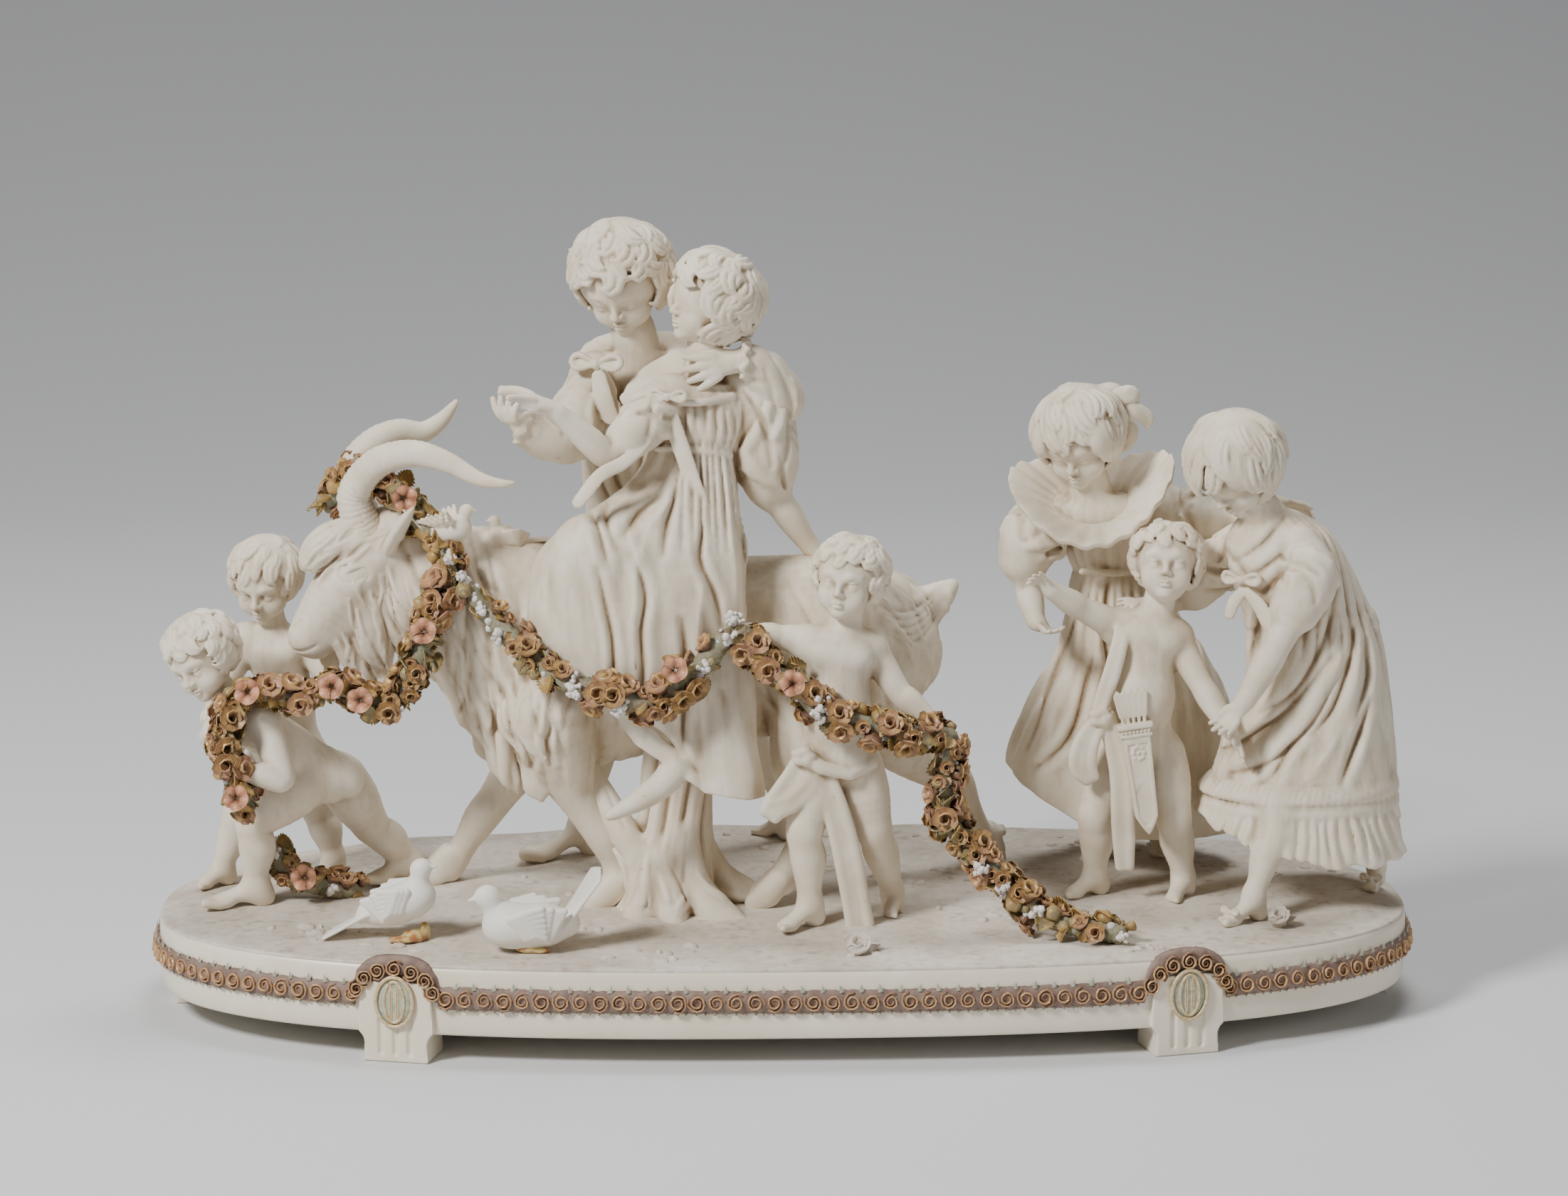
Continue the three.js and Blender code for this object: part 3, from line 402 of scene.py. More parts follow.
    def drape(self, rings, folds=None, hem=None, wall=3.0, blend=2.5, under=14):
        """Cloth round a body, through level rings [x, y, z, half width, half depth], top one first.
        "folds" swells it by the angle and the share of the way down, and "hem" is its lower edge."""
        rings = curve(rings, 4)[::-1]
        low, top, spare = rings[0, 2], rings[-1, 2], rings[:, 3:].max() * 1.35
        part, (x, y, z) = self.window((rings[:, 0].min() - spare, rings[:, 1].min() - spare,
            low - blend - 2), (rings[:, 0].max() + spare, rings[:, 1].max() + spare, top + blend + 2))
        at_x, at_y, wide, deep = (np.interp(z, rings[:, 2], rings[:, k]).astype(np.float32)
            for k in (0, 1, 3, 4))
        dx, dy = (x - at_x) / wide, (y - at_y) / deep
        near = np.sqrt(dx**2 + dy**2) + 1e-6
        steep = np.sqrt((dx / wide) ** 2 + (dy / deep) ** 2) + 1e-6
        swell = 1 + (folds(np.arctan2(dy, dx), np.clip((top - z) / (top - low), 0, 1)) if folds else 0)
        side = near * (near - swell) / steep * 0.85
        edge = hem(x, y) if hem else low
        far = np.maximum(np.maximum(side, z - top), edge - z)
        far = np.maximum(far, np.minimum(-side - wall, edge + under - z))
        self.put(part, far, blend)

    def frill(self, at, axes, inner, outer, rise, pleats, deep, thick=1.0, blend=1.0,
            squash=1.0, tip=0.0):
        """A pleated ring of cloth round the third axis, rising outwards. "tip" lifts its sides."""
        axes = np.asarray(axes, np.float32)
        spare = outer * (1.1 + tip) + abs(rise) + deep + self.reach(blend)
        part, (x, y, z) = self.window(np.asarray(at) - spare, np.asarray(at) + spare)
        gap = (x - at[0], y - at[1], z - at[2])
        side, front, up = (sum(g * w for g, w in zip(gap, axis)) for axis in axes)
        far_out = np.sqrt(side**2 + (front / squash) ** 2) + 1e-6
        angle = np.arctan2(front / squash, side)
        share = np.clip((far_out - inner) / (outer - inner), 0, 1)
        height = rise * share**0.8 + deep * share * np.sin(pleats * angle + 0.6 * np.sin(3 * angle))
        height = height + tip * outer * share * np.cos(angle) ** 2
        far = np.abs(up - height) * 0.75 - thick
        far = np.maximum(far, np.maximum(far_out - outer, inner - far_out) * 0.9)
        self.put(part, far, blend)

    def sample(self, points, values, skip=1):
        """values of the grid at points, between its cells. The grid may skip cells."""
        place = (points - self.low) / (self.cell * skip)
        first = np.clip(np.floor(place).astype(int), 0, np.array(values.shape) - 2)
        share = np.clip(place - first, 0, 1)
        total = 0
        for corner in product((0, 1), repeat=3):
            weight = np.prod(np.where(corner, share, 1 - share), axis=1)
            total = total + weight * values[tuple((first + corner).T)]
        return total

    def skin(self):
        """Points and four-sided faces on the surface, closed where the grid ends."""
        depth = self.depth
        for axis in range(3):
            np.moveaxis(depth, axis, 0)[[0, -1]] = self.cell
        solid = depth < 0
        corners = list(product((0, 1), repeat=3))
        ends = [slice(0, -1), slice(1, None)]
        count = sum(solid[tuple(ends[c] for c in corner)].astype(np.uint8) for corner in corners)
        cells = np.argwhere((count > 0) & (count < 8))
        at_corner = {c: depth[tuple((cells + c).T)] for c in corners}
        total, crossings = np.zeros((len(cells), 3)), np.zeros(len(cells))
        for a, b in ((a, b) for a in corners for b in corners if sum(b) == sum(a) + 1):
            if sum(abs(i - j) for i, j in zip(a, b)) != 1:
                continue
            low, high = at_corner[a], at_corner[b]
            cross = (low < 0) != (high < 0)
            share = np.where(cross, low / np.where(cross, low - high, 1), 0)
            total += cross[:, None] * (np.array(a) + share[:, None] * (np.array(b) - a))
            crossings += cross
        points = self.low + self.cell * (cells + total / crossings[:, None])
        number = np.full(count.shape, -1, np.int32)
        number[tuple(cells.T)] = np.arange(len(cells))
        faces = []
        for axis in range(3):
            u, v = (axis + 1) % 3, (axis + 2) % 3
            one, two = [slice(None)] * 3, [slice(None)] * 3
            one[axis], two[axis] = ends
            change = np.argwhere(solid[tuple(one)] != solid[tuple(two)])
            change = change[(change[:, u] > 0) & (change[:, v] > 0)]
            change = change[(change[:, u] < count.shape[u]) & (change[:, v] < count.shape[v])]
            quad = []
            for du, dv in ((1, 1), (0, 1), (0, 0), (1, 0)):
                cell = change.copy()
                cell[:, u] -= du
                cell[:, v] -= dv
                quad.append(number[tuple(cell.T)])
            quad = np.stack(quad, 1)
            outwards = solid[tuple(change.T)]
            faces.append(np.where(outwards[:, None], quad, quad[:, ::-1]))
        for _ in range(2):
            shift = self.cell * 0.5
            slope = np.stack([self.sample(points + shift * axis, depth)
                - self.sample(points - shift * axis, depth) for axis in np.eye(3)], 1) / self.cell
            step = self.sample(points, depth)[:, None] * slope / ((slope**2).sum(1) + 0.2)[:, None]
            points = points - np.clip(step, -shift, shift)
        return points, np.concatenate(faces)

    def hollows(self, points):
        """Above 0 where clay stands round a point, below 0 where it stands free, on three scales."""
        total = np.zeros(len(points))
        for span, skip in ((1.4, 1), (4.0, 2), (9.0, 3)):
            cells = max(1, round(span / self.cell / skip))
            full = (self.depth[::skip, ::skip, ::skip] < 0).astype(np.float32)
            for axis in range(3):
                padded = np.concatenate([np.zeros_like(np.take(full, [0], axis)),
                    np.cumsum(full, axis, dtype=np.float32)], axis)
                length = full.shape[axis]
                high = np.minimum(np.arange(length) + cells + 1, length)
                low = np.maximum(np.arange(length) - cells, 0)
                full = (np.take(padded, high, axis) - np.take(padded, low, axis)) / (2 * cells + 1)
            total += self.sample(points, full, skip) - 0.5
        return total


def joined(parts):
    """Points and faces of many small parts as one."""
    points, faces, start = [], [], 0
    for place, corners in parts:
        points.append(place)
        faces.append(np.asarray(corners) + start)
        start += len(place)
    return np.concatenate(points), np.concatenate(faces)


def fired(name, clays, material, keep=0.17, node="figure_group"):
    """One piece from lumps of clay. "keep" is the share of faces that thinning the mesh leaves."""
    made = piece_of(name, *joined([clay.skin() for clay in clays]), material)
    thin = made.modifiers.new("thin", "DECIMATE")
    thin.ratio = keep
    bpy.context.view_layer.update()
    mesh = bpy.data.meshes.new_from_object(made.evaluated_get(bpy.context.evaluated_depsgraph_get()))
    made.modifiers.clear()
    made.data = mesh
    mesh.name = name
    place = np.empty(len(mesh.vertices) * 3)
    mesh.vertices.foreach_get("co", place)
    place = place.reshape(-1, 3) / MM
    # The hollow mark: how much clay stands round each point, which the biscuit finishes paint as shade in
    # folds and recesses.
    hollow = np.full(len(place), -1.0)
    for clay in clays:
        inside = np.all((place > clay.low) & (place < clay.low
            + clay.cell * (np.array(clay.depth.shape) - 1)), 1)
        own = np.abs(clay.sample(place, clay.depth)) < clay.cell
        hollow = np.where(inside & own, np.maximum(hollow, clay.hollows(place)), hollow)
    mark = mesh.attributes.new("hollow", "FLOAT", "POINT")
    mark.data.foreach_set("value", np.clip(hollow, -1, 1))
    placed(made, node)


def foot_seat(x, side):
    """Place of a main foot: across the foot, outwards and up, from the floor under the outline."""
    y = side * HALF_DEPTH * (1 - (abs(x) / HALF_LENGTH) ** OVAL_POWER) ** (1 / OVAL_POWER)
    out = unit([math.copysign(abs(x / HALF_LENGTH) ** 1.5 / HALF_LENGTH, x),
        side * abs(y / HALF_DEPTH) ** 1.5 / HALF_DEPTH, 0])
    return np.array([x, y, 0]), np.array([(-out[1], out[0], 0), out, (0, 0, 1)])


FOOT_HALF, FOOT_FLARE, FOOT_TOP = 14.6, 3.4, 40
FLUTES, FLUTE_RADIUS = (-7.2, 0, 7.2), 1.7
MAIN_FEET = [foot_seat(x, side) for side in (-1, 1) for x in (-FOOT_X, FOOT_X)]
for number, (at, axes) in enumerate(MAIN_FEET):
    block = Clay((at[0] - 32, at[1] - 34, -2), (at[0] + 32, at[1] + 34, 46), 0.6)
    x, y, z = block.whole()[1]
    across, out = ((x - at[0]) * axis[0] + (y - at[1]) * axis[1] for axis in axes[:2])
    half = FOOT_HALF + FOOT_FLARE * np.clip((z - 9) / 6, 0, 1) ** 2 + 0.05 * (30 - z)
    block.block(1.2, np.abs(across) - half, out - 2.6, -24 - out, 0.2 - z, z - FOOT_TOP)
    for groove in FLUTES:
        ends = [at + groove * axes[0] + 2.9 * axes[1] + height * axes[2] for height in (5, 21)]
        block.roll([(*end, FLUTE_RADIUS) for end in ends], 0.5, dent=True)
    fired(f"foot_{number + 1}", [block], satin, 0.3)
WEDGE_X, WEDGE_HALF_LENGTH, WEDGE_HALF_DEPTH, WEDGE_TOP = 297, 10.4, 13, 17
for name, middle in (("end_foot_left", -WEDGE_X), ("end_foot_right", WEDGE_X)):
    wedge = Clay((middle - 14, -18, -2), (middle + 14, 18, 20), 0.8)
    x, y, z = wedge.whole()[1]
    wedge.block(1, np.abs(y) - WEDGE_HALF_DEPTH - 0.13 * z, np.abs(x - middle) - WEDGE_HALF_LENGTH,
        0.2 - z, z - WEDGE_TOP)
    fired(name, [wedge], satin, 0.3)

# ---------------------------------------------------------------------------------------------------
# Oval medallion over each main foot, pressed from a mould: a gilt ring round a green panel with two
# gilt reeds down its middle.
def tube_faces(rings, sides):
    """Faces of a tube bent round to its own start."""
    k, j = np.indices((rings, sides)).reshape(2, -1)
    after, beside = (k + 1) % rings * sides, (j + 1) % sides
    return np.stack([k * sides + j, k * sides + beside, after + beside, after + j], 1)


def ring_of(route, axes, at):
    """A closed tube along a closed route (across, up, out, radius) in a foot's own directions."""
    rings, sides = [], 8
    for k, (across, up, out, radius) in enumerate(route):
        before, after = route[k - 1], route[(k + 1) % len(route)]
        way = unit([after[0] - before[0], after[1] - before[1]])
        normal = np.array([way[1], -way[0]])
        turn = np.linspace(0, 2 * math.pi, sides, endpoint=False)
        u = across + normal[0] * radius * np.cos(turn)
        v = up + normal[1] * radius * np.cos(turn)
        w = out + radius * np.sin(turn)
        rings.append(at + u[:, None] * axes[0] + w[:, None] * axes[1] + v[:, None] * axes[2])
    return np.concatenate(rings), tube_faces(len(rings), sides)


def worn_gilt(wire):
    worn = wire.noise(1.6)
    return {"Base Color": worn.band(0.35, 0.75).tint((0.62, 0.44, 0.20), (0.74, 0.62, 0.47)),
        "Metallic": 0.55 * worn.band(0.7, 0.35), "Roughness": worn.between(0.35, 0.6)}


def two_tone(millimetres, first, second, low=0.35, high=0.65):
    """Paint that wanders between two colours, in clouds of this grain."""
    return lambda wire: {"Base Color": wire.noise(millimetres).band(low, high).tint(first, second)}


gilt = finish("worn_gilding", worn_gilt)
panel_green = finish("green_panel", two_tone(3, (0.30, 0.37, 0.29), (0.50, 0.52, 0.38)), 0.5)
MEDALLION_MIDDLE, RING_HALF_WIDTH, RING_HALF_HEIGHT = 30.5, 9.2, 12.2
reeds, panels = [], []
for at, axes in MAIN_FEET:
    turn = np.linspace(0, 2 * math.pi, 48, endpoint=False)
    for grow, radius, out in ((0, 1.0, 4.2), (-4.2, 0.8, 4.4)):
        route = [((RING_HALF_WIDTH + grow) * math.cos(a),
            MEDALLION_MIDDLE + (RING_HALF_HEIGHT + grow * 0.5) * math.sin(a), out, radius) for a in turn]
        reeds.append(ring_of(route, axes, at))
    for reed in (-1.6, 1.6):
        reeds.append(ring_of([(reed + 0.5 * math.cos(a), MEDALLION_MIDDLE + 9.6 * math.sin(a), 4.4, 0.45)
            for a in turn], axes, at))
    rings = []
    for grow, out in ((0, 1.5), (0, 3.6), (-2, 4.2), (-5, 4.4)):
        u, v = (8.8 + grow) * np.cos(turn), MEDALLION_MIDDLE + (11.8 + grow) * np.sin(turn)
        rings.append(at + u[:, None] * axes[0] + out * axes[1] + v[:, None] * axes[2])
    panels.append(stacked(rings))
placed(piece_of("medallion_reeds", *joined(reeds), gilt))
placed(piece_of("medallion_panels", *joined(panels), panel_green))

# ---------------------------------------------------------------------------------------------------
# Ground of the group: bare biscuit with low waves, dirtier than the rest. It is cast with the side of
# the plinth, and pebbles and fallen petals are stuck to it with slip.
def rough_ground(x, y):
    """Height of the ground's skin at a place, in millimetres."""
    high = np.maximum(48.5, 51.5 + 0.035 * y)
    wave = 0.8 * np.sin(x / 23 + y / 15) * np.cos(y / 21 - x / 37)
    ripple = 0.45 * np.sin(x / 9.1 - y / 13) * np.sin(y / 8.3 + 1.7)
    return high + (wave + ripple)


rng = np.random.default_rng(77)
rings = [level(high, out, count=240) for high, out in ((45.6, -4), (46, -1.8), (46.8, -0.9), (47.6, -0.7),
    (48.1, -1.1))]
for share in (0.992, 0.985, 0.975, *np.linspace(0.96, 0.03, 60)):
    place, _ = oval(240, 0, share)
    rise = min(1, (0.992 - share) / 0.05)
    height = 48.3 + (rough_ground(*place.T) - 48.3) * (3 * rise**2 - 2 * rise**3)
    rings.append(np.column_stack([place, height]))
points, faces = stacked(rings)


def dusty(wire):
    patchy, fine = wire.noise(38), wire.noise(5)
    dirt = (patchy * 0.7 + fine * 0.4).band(0.42, 0.78)
    deep = (wire.noise(16) * 0.6 + fine * 0.5).band(0.62, 0.75)
    colour = (deep * 0.55).tint(dirt.tint((0.70, 0.64, 0.55), (0.46, 0.385, 0.30)), (0.30, 0.225, 0.155))
    return {"Base Color": colour, "Normal": bumps(wire.noise(4.5) + 0.4 * wire.noise(1.3), 0.5, 0.6)}


earth = finish("dusty_biscuit", dusty, 0.7)
placed(piece_of("ground", points, faces, earth))


def dome(at, size, high, seed):
    """A low pebble or petal, size [half length, half width], turned as its seed says."""
    shape, sides, lumpy = np.random.default_rng(seed), 10, 0.12
    turn = np.linspace(0, 2 * math.pi, sides, endpoint=False)
    edge = 1 + lumpy * np.sin(turn * 3 + shape.uniform(0, 6)) + lumpy * 0.6 * np.sin(turn * 5
        + shape.uniform(0, 6))
    spin = shape.uniform(0, math.pi)
    made = []
    for a in np.linspace(-0.3, math.pi / 2 * 0.97, 4):
        u, v = size[0] * edge * math.cos(a) * np.cos(turn), size[1] * edge * math.cos(a) * np.sin(turn)
        made.append(np.column_stack([at[0] + u * math.cos(spin) - v * math.sin(spin),
            at[1] + u * math.sin(spin) + v * math.cos(spin), np.full(sides, at[2] + high * math.sin(a))]))
    return stacked(made)


scatter = []
for x, y, spread, count in ((-232, -64, 26, 14), (-190, -88, 16, 5), (-60, -104, 22, 12),
        (36, -104, 14, 6), (176, -100, 18, 8), (206, -104, 14, 6), (-120, -60, 30, 10),
        (110, -40, 30, 10), (60, 30, 50, 14), (-200, 60, 40, 14), (180, 90, 40, 12), (0, 100, 80, 18),
        (-90, 40, 40, 10), (250, 30, 26, 8)):
    for _ in range(count):
        px, py = x + rng.normal(0, spread * 0.5), y + rng.normal(0, spread * 0.3)
        size = rng.uniform(2, 5.2)
        if abs(px / (HALF_LENGTH - 9)) ** OVAL_POWER + abs(py / (HALF_DEPTH - 9)) ** OVAL_POWER < 1:
            scatter.append(dome((px, py, float(rough_ground(px, py)) - 0.5),
                (size, size * rng.uniform(0.55, 0.9)), rng.uniform(1.2, 2.6), int(rng.integers(1 << 30))))
placed(piece_of("pebbles_and_petals", *joined(scatter), earth))

# ---------------------------------------------------------------------------------------------------
# Band of roses round the plinth: each one a pressed swirl, stuck on a mauve-brown bed with pale
# leaves above and a leafy fringe below. It arches over the medallion of each main foot.
def swirl(radius, high, turns=2.3, steps=30, curl=0.16):
    """A rose seen from above: one long petal wound inwards, with its rim curled out. Closed."""
    rows = []
    for k in range(steps):
        share = k / (steps - 1)
        angle = share * turns * 2 * math.pi
        far = radius * (1 - 0.86 * share**0.9) * (1 + 0.05 * math.sin(3 * angle))
        lift = high * (0.62 + 0.5 * math.sin(math.pi * min(1, share * 1.15)) - 0.25 * share**4)
        way = np.array([math.cos(angle), math.sin(angle), 0])
        gap = radius * 0.17 * (1 - 0.5 * share)
        section = ((far + gap * 0.3, 0.0), (far + gap * 0.8, lift * 0.6), (far + gap * curl * 3, lift),
            (far - gap * 0.2, lift * 0.97), (far - gap * 0.7, lift * 0.5), (far - gap, 0.0))
        rows.append([way * out + np.array([0, 0, up]) for out, up in section])
    return stacked(np.array(rows))


def set_down(shape, at, up, turn, size=1.0):
    """This shape set down with its own upright along "up", turned round it."""
    up = unit(up)
    side = unit(np.cross(up, (0.13, 0.21, 1) if abs(up[2]) < 0.9 else (1, 0.2, 0.1)))
    front = np.cross(up, side)
    along, beside = math.cos(turn), math.sin(turn)
    side, front = side * along + front * beside, front * along - side * beside
    return shape[0] @ (np.array([side, front, up]) * size) + np.asarray(at), shape[1]


BAND_MIDDLE, BAND_CLIMB, ARCH_HALF = 32.5, 14.5, 21


def band_height(place):
    """Middle of the band, which climbs over the feet, and how near this place is to one."""
    near = np.full(len(place), 99.0)
    for at, axes in MAIN_FEET:
        across = (place - at[:2]) @ axes[0][:2]
        here = (place - at[:2]) @ axes[1][:2] > -20
        near = np.where(here & (np.abs(across) < 40), np.abs(across), near)
    return BAND_MIDDLE + BAND_CLIMB * np.sqrt(np.clip(1 - (near / ARCH_HALF) ** 2.6, 0, 1)), near


place, out = oval(1000)
height, near = band_height(place)
rng = np.random.default_rng(12)
rings = []
for outset, up in ((-2, -5.8), (0.8, -5.6), (1.9, -4.2), (2.3, -1.5), (2.3, 1.5), (1.9, 4.2),
        (0.8, 5.6), (-2, 5.8)):
    lumpy = rng.uniform(-0.5, 0.5, len(place)) if outset > 0 else np.zeros(len(place))
    rings.append(np.column_stack([place + out * (outset + lumpy * 0.7)[:, None], height + up + lumpy]))
faces = tube_faces(len(rings), len(place))[:, [0, 3, 2, 1]]


def mauve_bed(wire):
    patchy, fine = wire.noise(7), wire.noise(1.5)
    colour = patchy.band(0.35, 0.65).tint((0.19, 0.12, 0.095), (0.27, 0.18, 0.14))
    return {"Base Color": fine.band(0.55, 0.75).tint(colour, (0.22, 0.21, 0.14)),
        "Normal": bumps(fine, 0.3, 0.8)}


bed = finish("mauve_brown_bed", mauve_bed, 0.65)
placed(piece_of("band_bed", np.concatenate(rings), faces, bed))


def rose_gold(wire):
    rim = wire.mark("rim")
    worn = wire.noise(2.2)
    base = worn.band(0.3, 0.7).tint((0.42, 0.22, 0.10), (0.50, 0.29, 0.16))
    shine = (rim * worn).band(0.35, 0.6)
    return {
        # Painted shade: near black low in each rose, where its petal winds in. The lighter gilt high on the
        # rims is partly a painted highlight.
        "Base Color": rim.band(0.05, 0.8).tint((0.13, 0.07, 0.04), shine.tint(base, (0.72, 0.46, 0.18))),
        "Metallic": 0.45 * shine,
        "Roughness": shine.between(0.55, 0.36),
    }


def rimmed(name, parts, material):
    """One piece of many blooms. Each point knows how high on its bloom it stands, from 0 to 1."""
    points, faces = joined([part[:2] for part in parts])
    made = placed(piece_of(name, points, faces, material))
    mark = made.data.attributes.new("rim", "FLOAT", "POINT")
    mark.data.foreach_set("value", np.concatenate([part[2] for part in parts]))
    return made


def bloom(shape, at, up, turn, size=1.0):
    # The rim mark: how high each point stands on its bloom, 0 at the bottom. The bloom finishes paint shade
    # low down by it.
    return (*set_down(shape, at, up, turn, size), np.clip(shape[0][:, 2] / shape[0][:, 2].max(), 0, 1))


rose_metal = finish("rose_gold_paint", rose_gold)
small_rose = swirl(4.5, 2.7, steps=22)
roses, leaves, fringe = [], [], []
ROSE_STEP = 9.3
count = round(sum(np.linalg.norm(np.roll(place, -1, 0) - place, axis=1)) / ROSE_STEP)
spots, ways = oval(count)
heights, near = band_height(spots)
for spot, way, high, gap in zip(spots, ways, heights, near):
    if gap > ARCH_HALF:
        size = rng.uniform(0.92, 1.08)
        roses.append(bloom(small_rose, (*(spot + way * 1.1), high), (*way, 0.1),
            rng.uniform(0, 6.28), size))
for at, axes in MAIN_FEET:
    for k in range(7):
        a = math.pi * (k + 0.5) / 7
        centre = at + 19.5 * math.cos(a) * axes[0] + 2.0 * axes[1] + (BAND_MIDDLE
            + 14.2 * math.sin(a)) * axes[2]
        roses.append(bloom(small_rose, centre, axes[1] + 0.1 * axes[2], rng.uniform(0, 6.28), 0.98))
rimmed("band_roses", roses, rose_metal)

leaf = (np.array([(-1.5, 0, 0), (1.5, 0, 0), (1.1, 1.2, 0.6), (-1.1, 1.2, 0.6), (0, 0.6, 1.2),
    (0, 4.2, 0.5)]), np.array([(0, 1, 4, 0), (1, 2, 4, 1), (2, 5, 4, 2), (5, 3, 4, 5), (3, 0, 4, 3),
    (0, 3, 5, 0), (0, 5, 2, 0), (0, 2, 1, 0)]))
spots, ways = oval(count * 2)
heights, near = band_height(spots)
for number, (spot, way, high, gap) in enumerate(zip(spots, ways, heights, near)):
    across = np.array([-way[1], way[0], 0])
    lean = rng.uniform(-0.35, 0.35)
    if number % 2 and gap > ARCH_HALF + 1:
        axes = np.array([across + lean * np.array([0, 0, 1]),
            np.array([0, 0, 1]) - lean * across, (*way, 0)])
        leaves.append((leaf[0] * rng.uniform(0.85, 1.15) @ axes
            + (*(spot + way * 1.2), high + 4.4), leaf[1]))
    axes = np.array([across + lean * np.array([0, 0, 1]),
        -np.array([0, 0, 1]) - lean * across, (*way, 0)])
    if gap > ARCH_HALF - 3:
        fringe.append((leaf[0] * (0.9, 0.5, 0.9) @ axes + (*(spot + way * 1.1), high - 4.4),
            leaf[1][:, ::-1]))


grey_green = finish("grey_green_leaf", two_tone(4, (0.30, 0.31, 0.22), (0.42, 0.42, 0.32)), 0.6)
brown_green = finish("brown_green_leaf", two_tone(4, (0.22, 0.165, 0.11), (0.25, 0.24, 0.15)), 0.6)
placed(piece_of("band_leaves", *joined(leaves), grey_green, False))
placed(piece_of("band_fringe", *joined(fringe), brown_green, False))

# ---------------------------------------------------------------------------------------------------
# Tree stump that bears the goat, with its roots and a slanting shoot. It carries the goat's belly
# through the firing. Biscuit porcelain, cast and stuck to the ground with slip.
def folds(count, depth, seed, lean=0.0, top=0.25, sharp=0.1):
    """Folds of hanging cloth: how far it swells, by the angle round and the share of the way down."""
    phase = np.random.default_rng(seed).uniform(0, 6.28, 5)

    def swell(angle, share):
        turned = angle + lean * share + 0.26 * np.sin(angle
            + phase[0]) + 0.15 * np.sin(2 * angle + phase[1])
        ridge = np.sqrt(np.cos(count * turned / 2) ** 2 + sharp) - 0.72
        fine = np.sqrt(np.cos(count * turned + phase[2]) ** 2 + sharp) - 0.72
        size = 0.75 + 0.4 * np.sin(angle + phase[3])
        return depth * (top + (1 - top) * share) * size * (ridge + 0.3 * fine)

    return swell


def sleeve(clay, route, creases, seed, blend=2.0, deep=0.15):
    """Cloth round an arm along a route [x, y, z, radius], with creases that run slantwise round it."""
    route = curve(route, 4)
    spare = route[:, 3].max() * 1.3 + clay.reach(blend)
    part, _ = clay.window(route[:, :3].min(0) - spare, route[:, :3].max(0) + spare)
    corner = clay.low + clay.cell * np.array([s.start for s in part])
    cloth = Clay(corner, corner, clay.cell)
    cloth.depth = np.full([s.stop - s.start for s in part], clay.FAR, np.float32)
    cloth.roll(route, blend)
    rng = np.random.default_rng(seed)
    for number in range(creases):
        span = rng.integers(4, 4 + max(1, len(route) // 2))
        first = rng.integers(0, max(1, len(route) - span))
        start, turn = rng.uniform(0, 6.28), rng.uniform(-0.45, 0.45)
        points = []
        for k in range(first, min(first + span, len(route) - 1)):
            ahead = unit(route[k + 1][:3] - route[k][:3])
            across = unit(np.cross(ahead, (0.3, 1, 0.2)))
            angle = start + turn * (k - first)
            out = across * math.cos(angle) + np.cross(ahead, across) * math.sin(angle)
            width = deep * route[k][3] * (0.5 + math.sin(math.pi * (k - first) / span))
            high = route[k][3] + (0.2 if number % 2 else -0.35) * width
            points.append((*(route[k][:3] + out * high), width * (0.6 if number % 2 else 1)))
        if len(points) > 1:
            cloth.roll(points, 0.14 * route[0][3], dent=number % 2 == 1)
    clay.put(part, cloth.depth, blend)


def stain_and_shade(wire):
    """Warm white biscuit, a little cloudy, with brown dirt and painted shade in its folds and hollows,
    darker the more clay stands round a point.
    """
    hollow = wire.mark("hollow")
    patchy, fine, streak = wire.noise(16), wire.noise(3.5), wire.noise(5, tall=5)
    # Painted shade: both mixes follow the hollow mark, so folds, recesses and gaps between parts are painted
    # brown and the deepest hollows dark brown. The noise and streaks in the first are dirt.
    dirt = (hollow + 0.3 * (patchy - 0.5) + 0.2 * (fine - 0.5) + 0.7 * (streak - 0.5)).band(-0.16, 0.44)
    deep = (hollow + 0.15 * (fine - 0.5)).band(0.12, 0.6)
    clean = patchy.band(0.3, 0.7).tint((0.70, 0.595, 0.445), (0.81, 0.735, 0.60))
    colour = (deep * 0.8).tint((dirt * 0.9).tint(clean, (0.42, 0.31, 0.19)), (0.25, 0.165, 0.09))
    return {"Base Color": colour, "Normal": bumps(wire.noise(1.1), 0.06, 0.5)}


bisque = finish("bisque", stain_and_shade, 0.62)

stump = Clay((-124, -62, 42), (2, 24, 176), 0.8)
stump.drape(
    [(-50, -10, 158, 20, 14), (-52, -14, 140, 18, 14), (-54, -17, 120, 17.5, 15), (-55, -18, 92, 18, 15),
        (-56, -18, 70, 20, 16), (-57, -19, 56, 24, 19), (-58, -20, 46, 30, 24)],
    folds(7, 0.3, 71, lean=1.4, top=0.7, sharp=0.06),
    wall=99,
)
for root in (
    [(-52, -28, 90, 7), (-46, -34, 66, 8), (-36, -38, 52, 9), (-24, -42, 47, 5)],
    [(-64, -26, 84, 7), (-70, -34, 64, 8), (-74, -38, 50, 8)],
    [(-44, -16, 84, 7), (-32, -12, 62, 8), (-16, -8, 52, 7), (-4, -6, 49, 3)],
    [(-60, -30, 76, 6), (-58, -40, 56, 8), (-56, -46, 48, 6)],
    [(-70, -10, 80, 6), (-82, -4, 58, 7), (-92, 0, 50, 4)],
    [(-104, -6, 128, 7), (-98, -12, 116, 7), (-88, -19, 100, 7.5), (-76, -26, 80, 8), (-70, -29, 62, 9),
        (-66, -31, 48, 10)],
):
    sleeve(stump, root, 7, int(root[0][2]), blend=4, deep=0.2)
fired("stump", [stump], bisque, 0.2)

